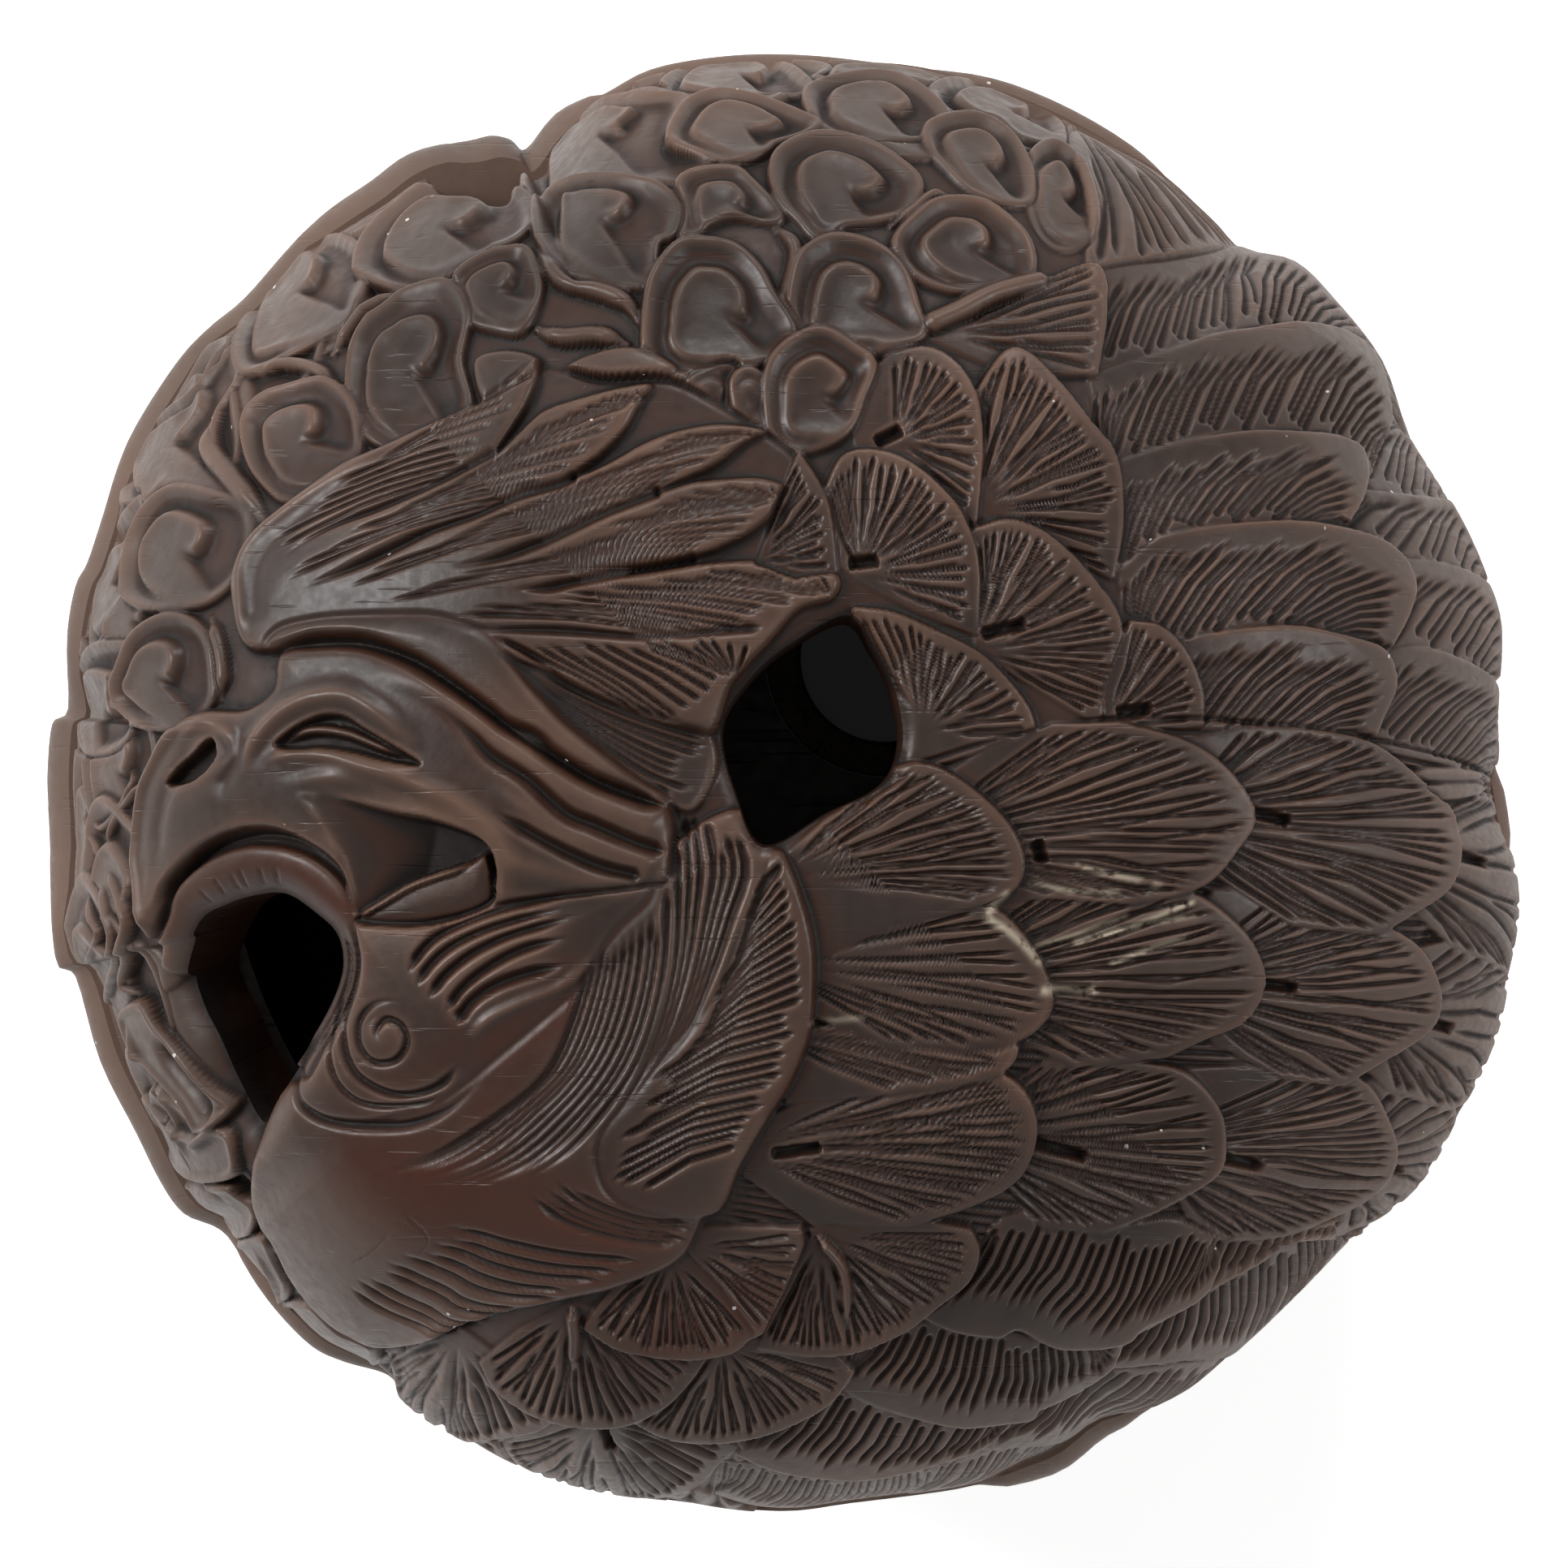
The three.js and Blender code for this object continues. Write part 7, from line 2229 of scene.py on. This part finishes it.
@dataclass(frozen=True)
class CarvedWood:
    """Dark stained and polished wood, lighter on its ridges by wear and a painted highlight, with painted
    shade in its hollows and painted light on its outer sides.
    """

    name: str
    body: Colour = (0.0130, 0.0078, 0.0060)
    # Ridge colour: wear with a painted highlight; handled colour: handling wear with painted light on the
    # outer sides; shade and groove: painted shade in hollows
    ridge: Colour = (0.098, 0.055, 0.038)
    handled_and_lit: Colour = (0.120, 0.080, 0.062)
    shade: Colour = (0.023, 0.0068, 0.0024)
    groove: Colour = (0.0034, 0.0016, 0.0009)
    stain: Colour = (0.030, 0.0066, 0.0016)
    wax: Colour = (0.30, 0.25, 0.19)
    dust: Colour = (0.42, 0.40, 0.37)
    grain: float = 900.0
    roughness: float = 0.38
    specular: float = 0.21
    bump: float = 0.5
    handled_and_lit_from: float = 0.0160
    handled_and_lit_to: float = 0.0208

    def material(self) -> bpy.types.Material:
        """Build the material."""
        s = Shading(self.name)
        carving = s.node("ShaderNodeAttribute", attribute_name=CARVING)
        parts = s.node("ShaderNodeSeparateColor", Color=carving.outputs["Color"])
        cavity, ridge, stain = parts.outputs
        wax = carving.outputs["Alpha"]
        grain = s.noise((self.grain, self.grain * 0.12, self.grain), 5.0)
        cloud = s.noise((160.0, 160.0, 160.0), 3.0)
        fleck = s.noise((2600.0, 2600.0, 2600.0), 2.0)
        # Ridges lighter by wear and a painted highlight
        wear_and_highlight = s.maths("MULTIPLY", s.curve(ridge, 0.08, 0.75), s.curve(cloud, 0.32, 0.62, 0.35, 1.0))
        colour = s.mix(s.curve(grain, 0.35, 0.68), self.body, tuple(1.6 * part for part in self.body))
        colour = s.mix(s.maths("MULTIPLY", s.curve(cloud, 0.45, 0.75), 0.3), colour, self.stain)
        colour = s.mix(s.maths("MULTIPLY", stain, s.curve(cloud, 0.3, 0.6, 0.45, 1.0)), colour, self.stain)
        # Outer sides lighter and rougher, by handling wear and painted light, growing with distance from the
        # axis
        flat = s.node("ShaderNodeMapping", Vector=s.place, Scale=(1.0, 1.0, 0.0))
        outer_wear_and_light = s.curve(s.length(flat.outputs[0]), self.handled_and_lit_from, self.handled_and_lit_to)
        outer_wear_and_light = s.maths("MULTIPLY", outer_wear_and_light, s.curve(cloud, 0.3, 0.65, 0.3, 0.7))
        colour = s.mix(outer_wear_and_light, colour, self.handled_and_lit)
        wear_and_highlight = s.maths("MULTIPLY", wear_and_highlight, s.curve(stain, 0.0, 1.0, 0.75, 0.12))
        colour = s.mix(wear_and_highlight, colour, self.ridge)
        # Painted shade in hollows, darkest in deep grooves
        colour = s.mix(s.curve(cavity, 0.04, 0.32, 0.0, 0.85), colour, self.shade)
        colour = s.mix(s.curve(cavity, 0.25, 0.75, 0.0, 0.95), colour, self.groove)
        colour = s.mix(s.maths("MULTIPLY", wax, s.curve(fleck, 0.35, 0.5)), colour, self.wax)
        dust = s.node("ShaderNodeTexVoronoi", Vector=s.place, Scale=900.0, Randomness=1.0)
        speck = s.maths("LESS_THAN", dust.outputs["Distance"], 0.055)
        sparse = s.curve(s.noise((420.0, 420.0, 420.0), 1.0), 0.6, 0.62)
        colour = s.mix(s.maths("MULTIPLY", speck, sparse), colour, self.dust)
        rough = s.curve(fleck, 0.3, 0.7, self.roughness - 0.05, self.roughness + 0.08)
        rough = s.maths("ADD", s.curve(cavity, 0.1, 0.9, 0.0, 0.3), rough)
        rough = s.maths("ADD", rough, s.maths("MULTIPLY", wax, 0.25))
        rough = s.maths("ADD", rough, s.maths("MULTIPLY", outer_wear_and_light, 0.25))
        scratch = s.curve(s.noise((260.0, 5200.0, 900.0), 2.0), 0.64, 0.72)
        height = s.maths("ADD", s.maths("MULTIPLY", grain, 0.5), s.maths("MULTIPLY", fleck, 0.35))
        height = s.maths("SUBTRACT", height, s.maths("MULTIPLY", scratch, 0.5))
        bump = s.node("ShaderNodeBump", Height=height, Strength=self.bump, Distance=0.00006)
        return s.finish(
            Base_Color=colour, Roughness=rough, Normal=bump.outputs[0], Specular_IOR_Level=self.specular
        )


@dataclass(frozen=True)
class Horn:
    """Polished black buffalo horn with faint brown streaks."""

    name: str
    body: Colour = (0.010, 0.008, 0.007)
    streak: Colour = (0.060, 0.035, 0.020)
    roughness: float = 0.16
    specular: float = 0.5

    def material(self) -> bpy.types.Material:
        """Build the material."""
        s = Shading(self.name)
        streak = s.noise((500.0, 500.0, 2200.0), 4.0)
        colour = s.mix(s.curve(streak, 0.5, 0.75), self.body, self.streak)
        fine = s.noise((3000.0, 3000.0, 3000.0), 2.0)
        rough = s.curve(fine, 0.3, 0.7, self.roughness - 0.04, self.roughness + 0.08)
        bump = s.node("ShaderNodeBump", Height=fine, Strength=0.15, Distance=0.00003)
        return s.finish(
            Base_Color=colour, Roughness=rough, Normal=bump.outputs[0], Specular_IOR_Level=self.specular
        )


class Geometry:
    """Geometry Nodes tree with named inputs, run once on an empty mesh."""

    def __init__(self, name: str) -> None:
        """Start the tree."""
        self.tree = bpy.data.node_groups.new(name, "GeometryNodeTree")
        face = self.tree.interface
        face.new_socket("Geometry", in_out="OUTPUT", socket_type="NodeSocketGeometry")
        self.inputs = self.tree.nodes.new("NodeGroupInput")
        self.values: dict[str, float] = {}

    def size(self, name: str, value: float) -> bpy.types.NodeSocket:
        """Add a named input for a size and return its socket."""
        socket = self.tree.interface.new_socket(name, in_out="INPUT", socket_type="NodeSocketFloat")
        self.values[socket.identifier] = value
        return self.inputs.outputs[name]

    def node(
        self, kind: str, inputs: dict[int | str, object] | None = None, **settings: object
    ) -> bpy.types.Node:
        """Add a node.

        Args:
            kind: Type of the node.
            inputs: Its inputs, by number or name, as values or sockets.
            settings: Its properties.

        Returns:
            The node.
        """
        node = self.tree.nodes.new(kind)
        for name, value in settings.items():
            setattr(node, name, value)
        for key, value in (inputs or {}).items():
            if isinstance(value, bpy.types.NodeSocket):
                self.tree.links.new(value, node.inputs[key])
            else:
                node.inputs[key].default_value = value
        return node

    def maths(self, operation: str, first: object, second: object = 0.0) -> bpy.types.NodeSocket:
        """Return two values combined."""
        return self.node("ShaderNodeMath", {0: first, 1: second}, operation=operation).outputs[0]

    def build(
        self, name: str, shape: bpy.types.NodeSocket, material: bpy.types.Material
    ) -> bpy.types.Object:
        """Close the tree and turn its result into a plain mesh.

        Args:
            name: Name of the piece.
            shape: Geometry to show.
            material: Its material.

        Returns:
            The new object.
        """
        real = self.node("GeometryNodeRealizeInstances", {0: shape}).outputs[0]
        dressed = self.node("GeometryNodeSetMaterial", {"Geometry": real, "Material": material})
        out = self.tree.nodes.new("NodeGroupOutput")
        self.tree.links.new(dressed.outputs[0], out.inputs[0])
        source = add_object(name + "_source", bpy.data.meshes.new(name + "_source"))
        modifier = source.modifiers.new("shape", "NODES")
        modifier.node_group = self.tree
        for identifier, value in self.values.items():
            modifier[identifier] = value
        seen = source.evaluated_get(bpy.context.evaluated_depsgraph_get())
        mesh = bpy.data.meshes.new_from_object(seen)
        source.modifiers.remove(modifier)
        bpy.data.objects.remove(source)
        mesh.name = name
        return add_object(name, mesh)


def finish_mesh(thing: bpy.types.Object, turn: Matrix, material: bpy.types.Material) -> None:
    """Put a piece in its place, face it outwards and shade it smooth.

    Args:
        thing: The piece.
        turn: Turn and place, applied to its mesh.
        material: Its material.
    """
    shape = bmesh.new()
    shape.from_mesh(thing.data)
    bmesh.ops.remove_doubles(shape, verts=shape.verts, dist=1e-6)
    bmesh.ops.recalc_face_normals(shape, faces=shape.faces)
    bmesh.ops.transform(shape, matrix=turn, verts=shape.verts)
    shape.to_mesh(thing.data)
    shape.free()
    thing.data.materials.clear()
    thing.data.materials.append(material)
    thing.data.shade_smooth()
    thing.data.set_sharp_from_angle(angle=math.radians(40.0))


@dataclass
class CordHole:
    """Ring of horn in the foot's cord hole, and the wooden collar over it."""

    inner: float = 2.4
    outer: float = 3.4
    x: float = 2.9
    y: float = 3.6
    recess: float = 0.2
    height: float = 1.2
    rounding: float = 0.25

    def ring(
        self, name: str, low: float, high: float, rounding: float, material: bpy.types.Material
    ) -> bpy.types.Object:
        """Sweep a rounded section round the hole.

        Args:
            name: Name of the piece.
            low: Height of its lower face.
            high: Height of its upper face.
            rounding: Radius of its edges.
            material: Its material.

        Returns:
            The piece.
        """
        g = Geometry(name)
        inner, outer = g.size("Inner radius", self.inner * MM), g.size("Outer radius", self.outer * MM)
        deep, round_off = g.size("Height", (high - low) * MM), g.size("Rounding", rounding * MM)
        middle = g.maths("MULTIPLY", g.maths("ADD", inner, outer), 0.5)
        path = g.node("GeometryNodeCurvePrimitiveCircle", {"Resolution": 96, "Radius": middle})
        width = g.maths("SUBTRACT", outer, inner)
        section = g.node("GeometryNodeCurvePrimitiveQuadrilateral", {0: width, 1: deep})
        soft = g.node("GeometryNodeFilletCurve", {"Curve": section.outputs[0], "Radius": round_off})
        for socket in soft.inputs:
            if socket.name == "Limit Radius":
                socket.default_value = True
            if socket.name == "Count":
                socket.default_value = 6
        if hasattr(soft, "mode"):
            soft.mode = "POLY"
        sweep = {"Curve": path.outputs[0], "Profile Curve": soft.outputs[0]}
        swept = g.node("GeometryNodeCurveToMesh", sweep)
        thing = g.build(name, swept.outputs[0], material)
        place = Matrix.Translation((self.x * MM, self.y * MM, (low + high) / 2.0 * MM))
        finish_mesh(thing, place, material)
        return thing


@dataclass
class Peg:
    """Turned peg of horn with a rounded end."""

    name: str
    radius: float
    length: float
    rounding: float
    cross_hole: float = 0.0
    cross_rise: float = 0.0

    def build(self, turn: Matrix, material: bpy.types.Material) -> bpy.types.Object:
        """Sweep the peg along its axis, round its end and drill its cross hole.

        Args:
            turn: Turn and place of its foot, with its rounded end along Z.
            material: Its material.

        Returns:
            The piece.
        """
        g = Geometry(self.name)
        radius, length = g.size("Radius", self.radius * MM), g.size("Length", self.length * MM)
        rounding = g.size("Rounding", self.rounding * MM)
        tip = g.node("ShaderNodeCombineXYZ", {2: length})
        line = g.node("GeometryNodeCurvePrimitiveLine", {"End": tip.outputs[0]})
        fine = g.node("GeometryNodeResampleCurve", {"Curve": line.outputs[0], "Count": 72})
        height = g.node("GeometryNodeSplineParameter").outputs["Length"]
        over = g.maths("SUBTRACT", height, g.maths("SUBTRACT", length, rounding))
        share = g.maths("MAXIMUM", g.maths("DIVIDE", over, rounding), 0.0)
        arc = g.maths("SUBTRACT", 1.0, g.maths("POWER", share, 2.0))
        arc = g.maths("SQRT", g.maths("MAXIMUM", arc, 0.0004))
        narrow = g.maths("SUBTRACT", radius, g.maths("MULTIPLY", rounding, g.maths("SUBTRACT", 1.0, arc)))
        wide = g.node("GeometryNodeSetCurveRadius", {"Curve": fine.outputs[0], "Radius": narrow})
        section = g.node("GeometryNodeCurvePrimitiveCircle", {"Resolution": 48, "Radius": 1.0})
        sweep = {"Curve": wide.outputs[0], "Profile Curve": section.outputs[0], "Fill Caps": True}
        swept = g.node("GeometryNodeCurveToMesh", sweep)
        for socket in swept.inputs:
            if socket.name == "Scale":
                g.tree.links.new(narrow, socket)
        shape = swept.outputs[0]
        if self.cross_hole:
            hole = g.size("Cross hole radius", self.cross_hole * MM)
            rise = g.size("Cross hole rise", self.cross_rise * MM)
            reach = g.maths("MULTIPLY", radius, 4.0)
            drill = g.node("GeometryNodeMeshCylinder", {"Vertices": 40, "Radius": hole, "Depth": reach})
            spot = g.node("ShaderNodeCombineXYZ", {2: g.maths("SUBTRACT", length, rise)})
            across = {"Geometry": drill.outputs[0], "Translation": spot.outputs[0]}
            across["Rotation"] = (math.pi / 2, 0.0, 0.0)
            drill = g.node("GeometryNodeTransform", across)
            parts = {0: shape, 1: drill.outputs[0]}
            # The default solver leaves stray faces, which differ from run to run
            cut = g.node("GeometryNodeMeshBoolean", parts, operation="DIFFERENCE", solver="EXACT")
            shape = cut.outputs[0]
        thing = g.build(self.name, shape, material)
        finish_mesh(thing, turn, material)
        return thing


def dress(thing: bpy.types.Object, body: Body, finish: Finish) -> None:
    """Let a piece ride on its body.

    Args:
        thing: The piece.
        body: Body that carries it.
        finish: Its material slot. Not used.
    """
    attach(thing, body.value)
    logger.info("piece %s on %s: %d faces", thing.name, body.value, len(thing.data.polygons))


@dataclass
class FaceHalf:
    """Carved and pierced face half, with its eye and its cord eyelet."""

    seam: float
    height: float = 14.0
    cells: int = 768
    coarse: int = 8
    pitch: float = 0.045
    ground: float = -0.4
    seed: int = 7
    rows: tuple[str, ...] = ("left", "middle", "right")
    columns: tuple[str, ...] = ("bottom", "centre", "top")

    def surface(self) -> CarvedSurface:
        """Return its outer surface."""
        return CarvedSurface(Turning.face(self.seam, self.height), Edge(0.0, 1.0), self.seam, MASSES)

    def paint(self) -> Relief:
        """Carve its relief, form by form."""
        relief = Relief(self.surface(), self.ground, self.pitch, self.seed)
        for group in (FACE_SIDE, WING, BODY, CURLS, BREAST, CREST, HEAD, HOLES):
            for form in group:
                form.carve(relief)
        return relief

    def build(self, wood: bpy.types.Material) -> Relief:
        """Mesh the half in nine blocks.

        Args:
            wood: Its material.

        Returns:
            Its relief, from which the eye takes its place.
        """
        relief = self.paint()
        surface = relief.surface
        top = self.seam + SIZES.socket_height
        corners = [(SIZES.socket_radius, top), (SIZES.socket_radius, self.seam)]
        inner = InnerWall.below(
            surface.turning, SIZES.face_wall, SIZES.socket_radius, corners, self.cells // 2 // self.coarse
        )
        holes = tuple(smooth(surface.chart(lip.outline), closed=True) for lip in HOLES)
        mesher = ShellMesher(relief, inner, self.cells, self.coarse, holes)
        step = self.cells // 3
        for i, row in enumerate(self.rows):
            for j, column in enumerate(self.columns):
                name = f"face_carving_{column}_{row}"
                thing = mesher.block(name, (i * step, (i + 1) * step), (j * step, (j + 1) * step))
                thing.data.materials.append(wood)
                dress(thing, Body.FACE, Finish.WOOD_FACE)
                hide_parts("face_half")
        return relief


@dataclass
class BackHalf:
    """Carved back half with its spigot, its flat foot and its cord hole."""

    seam: float
    hole: CordHole = field(default_factory=CordHole)
    cells: int = 448
    coarse: int = 8
    pitch: float = 0.06
    ground: float = -0.4
    seed: int = 19
    clearance: float = 0.02
    collar_rounding: float = 0.15

    def build(self, wood: bpy.types.Material, horn: bpy.types.Material) -> None:
        """Mesh the half in four blocks, and set its cord hole.

        Args:
            wood: Material of the half.
            horn: Material of the ring.
        """
        turning = Turning.back(self.seam)
        surface = CarvedSurface(turning, Edge(10.0, 0.0), self.seam, ())
        relief = Relief(surface, self.ground, self.pitch, self.seed)
        for form in BACK_CARVING:
            form.carve(relief)
        radii = turning.radii - SIZES.back_floor * turning.outward
        heights = turning.heights - SIZES.back_floor * turning.upward
        start = float(heights[np.argmax(radii >= SIZES.spigot_inner)])
        top = self.seam + SIZES.spigot_height
        corners = [
            (SIZES.spigot_inner, start), (SIZES.spigot_inner, top),
            (SIZES.spigot_radius, top), (SIZES.spigot_radius, self.seam),
        ]
        inner = InnerWall.below(
            turning, SIZES.back_floor, SIZES.spigot_inner, corners, self.cells // 2 // self.coarse
        )
        turn = np.linspace(0.0, FULL_TURN, 97)[:-1]
        reach = self.hole.outer + self.clearance
        ring = np.stack([self.hole.x + reach * np.cos(turn), self.hole.y + reach * np.sin(turn)], axis=-1)
        mesher = ShellMesher(relief, inner, self.cells, self.coarse, (ring,))
        step = self.cells // 2
        for i, row in enumerate(("left", "right")):
            for j, column in enumerate(("bottom", "top")):
                name = f"back_carving_{column}_{row}"
                thing = mesher.block(name, (i * step, (i + 1) * step), (j * step, (j + 1) * step))
                thing.data.materials.append(wood)
                dress(thing, Body.BACK, Finish.WOOD_BACK)
                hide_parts("back_half")
        low = self.hole.recess + self.hole.height
        collar = self.hole.ring("cord_hole_collar", low, SIZES.back_floor, self.collar_rounding, wood)
        dress(collar, Body.BACK, Finish.WOOD_BACK)
        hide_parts("back_half")
        ring = self.hole.ring("horn_ring", self.hole.recess, low, self.hole.rounding, horn)
        dress(ring, Body.BACK, Finish.HORN)
        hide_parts("cord_hole_ring")


@dataclass
class FacePegs:
    """Horn pegs let into the face half: the eye's pupil and the cord's eyelet."""

    eye: Place = (416.0, 893.0)
    pupil_radius: float = 0.3
    pupil_length: float = 1.8
    pupil_rounding: float = 0.25
    pupil_stand: float = 0.02
    eyelet_radius: float = 1.3
    eyelet_rounding: float = 0.5
    cross_hole: float = 0.7
    cross_rise: float = 1.4

    def build(self, relief: Relief, horn: bpy.types.Material) -> None:
        """Set both pegs.

        Args:
            relief: Relief of the face.
            horn: Their material.
        """
        surface = relief.surface
        spot = surface.chart((self.eye,))[0]
        around = spot + np.array([[0.0, 0.0], [0.3, 0.0], [0.0, 0.3]])
        level = relief.sample(relief.level, around[:1, 0], around[:1, 1])
        places = surface.points(around[:, 0], around[:, 1], np.repeat(level, 3))
        normal = Vector(np.cross(places[1] - places[0], places[2] - places[0])).normalized()
        foot = Vector(places[0]) + normal * (self.pupil_stand - self.pupil_length)
        turn = normal.to_track_quat("Z", "Y").to_matrix().to_4x4()
        pupil = Peg("horn_pupil", self.pupil_radius, self.pupil_length, self.pupil_rounding)
        dull = Horn("dull horn of the pupil", streak=(0.012, 0.009, 0.008), roughness=0.55, specular=0.12)
        thing = pupil.build(Matrix.Translation(foot * MM) @ turn, dull.material())
        dress(thing, Body.FACE, Finish.HORN)
        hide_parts("eye_pupil")
        low, high = (np.array(corner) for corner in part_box("cord_eyelet"))
        middle, length = (low + high) / 2.0, (high[2] - low[2]) / MM
        eyelet = Peg(
            "horn_eyelet", self.eyelet_radius, length, self.eyelet_rounding, self.cross_hole, self.cross_rise
        )
        turn = Matrix.Translation((middle[0], middle[1], high[2])) @ Matrix.Rotation(math.pi, 4, "X")
        thing = eyelet.build(turn, horn)
        dress(thing, Body.FACE, Finish.HORN)
        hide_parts("cord_eyelet")


@dataclass(frozen=True)
class Lamp:
    """Soft lamp that faces the object, with sizes in metres and its power in watts."""

    name: str
    place: tuple[float, float, float]
    width: float
    height: float
    power: float

    def hang(self) -> None:
        """Hang the lamp."""
        light = bpy.data.lights.new(self.name, "AREA")
        light.shape = "RECTANGLE"
        light.size, light.size_y = self.width, self.height
        light.energy = self.power
        lamp = add_object(self.name, light)
        lamp.location = self.place
        lamp.rotation_euler = (-Vector(self.place)).to_track_quat("-Z", "Y").to_euler()


LAMPS = (
    Lamp("left soft light", (-0.38, 0.14, 0.30), 0.16, 0.26, 3.266),
    Lamp("right soft light", (0.42, 0.02, 0.26), 0.16, 0.26, 1.426),
    Lamp("far soft light", (0.04, 0.5, 0.3), 0.28, 0.14, 2.07),
    Lamp("near soft light", (0.0, -0.5, 0.3), 0.6, 0.3, 0.276),
)


@dataclass
class Studio:
    """Pale floor, soft side lights and the camera straight above the face."""

    seam: float
    reach: float = 2.0
    # Radii over which the floor's glow fades down to the shaded level: a painted shadow under the object
    shade: tuple[float, float] = (0.009, 0.014)
    shaded: float = 0.009
    glow: float = 0.62
    world_light: float = 0.1

    def stage(self) -> None:
        """Lay the floor, whose glow fades out under the object as a painted shadow."""
        mesh = bpy.data.meshes.new("floor")
        sides = ((-1, -1), (1, -1), (1, 1), (-1, 1))
        mesh.from_pydata([(x * self.reach, y * self.reach, 0) for x, y in sides], [], [(0, 1, 2, 3)])
        thing = add_object("floor", mesh)
        s = Shading("pale floor")
        # Painted shadow: the floor's glow fades out under the object
        glow_past_painted_shadow = s.curve(s.length(s.place), self.shade[0], self.shade[1], self.shaded)
        mesh.materials.append(s.finish(
            Base_Color=(0.82, 0.82, 0.82, 1.0), Roughness=0.9, Specular_IOR_Level=0.1,
            Emission_Color=(1.0, 1.0, 1.0, 1.0),
            Emission_Strength=s.maths("MULTIPLY", s.maths("MULTIPLY", s.seen(), self.glow), glow_past_painted_shadow),
        ))

    def light(self) -> None:
        """Set the lamps and the world."""
        for lamp in LAMPS:
            lamp.hang()
        world = bpy.data.worlds.new("studio")
        bpy.context.scene.world = world
        world.use_nodes = True
        ground = world.node_tree.nodes["Background"]
        ground.inputs["Color"].default_value = (1.0, 1.0, 1.0, 1.0)
        nodes = Nodes(world.node_tree)
        strength = nodes.curve(nodes.seen(), 0.0, 1.0, self.world_light)
        nodes.put(ground.inputs["Strength"], strength)
        bpy.context.scene.view_settings.view_transform = "Standard"

    def camera(self) -> None:
        """Hang the camera over the face, with the top of the carving up."""
        lens = bpy.data.cameras.new("camera")
        lens.sensor_width = 36.0
        half = VIEW.image_pixels / 2.0 * SIZES.rim_radius / VIEW.rim_pixels
        lens.lens = lens.sensor_width / 2.0 * VIEW.distance / half
        lens.shift_x = (VIEW.image_pixels / 2.0 - VIEW.centre_x) / VIEW.image_pixels
        lens.shift_y = (VIEW.centre_y - VIEW.image_pixels / 2.0) / VIEW.image_pixels
        lens.clip_start, lens.clip_end = 0.01, 20.0
        camera = add_object("camera", lens)
        camera.location = (0.0, 0.0, (VIEW.distance + self.seam) * MM)
        bpy.context.scene.camera = camera


def main() -> None:
    """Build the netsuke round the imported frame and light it."""
    logging.basicConfig(level=logging.INFO, format="%(message)s")
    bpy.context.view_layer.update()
    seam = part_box("face_half")[0][2] / MM
    wood_face = CarvedWood("wood of the face").material()
    wood_back = CarvedWood("wood of the back", body=(0.030, 0.019, 0.013)).material()
    horn = Horn("black horn").material()
    studio = Studio(seam)
    studio.camera()
    relief = FaceHalf(seam).build(wood_face)
    BackHalf(seam).build(wood_back, horn)
    FacePegs().build(relief, horn)
    studio.stage()
    studio.light()


if __name__ == "__main__":
    main()
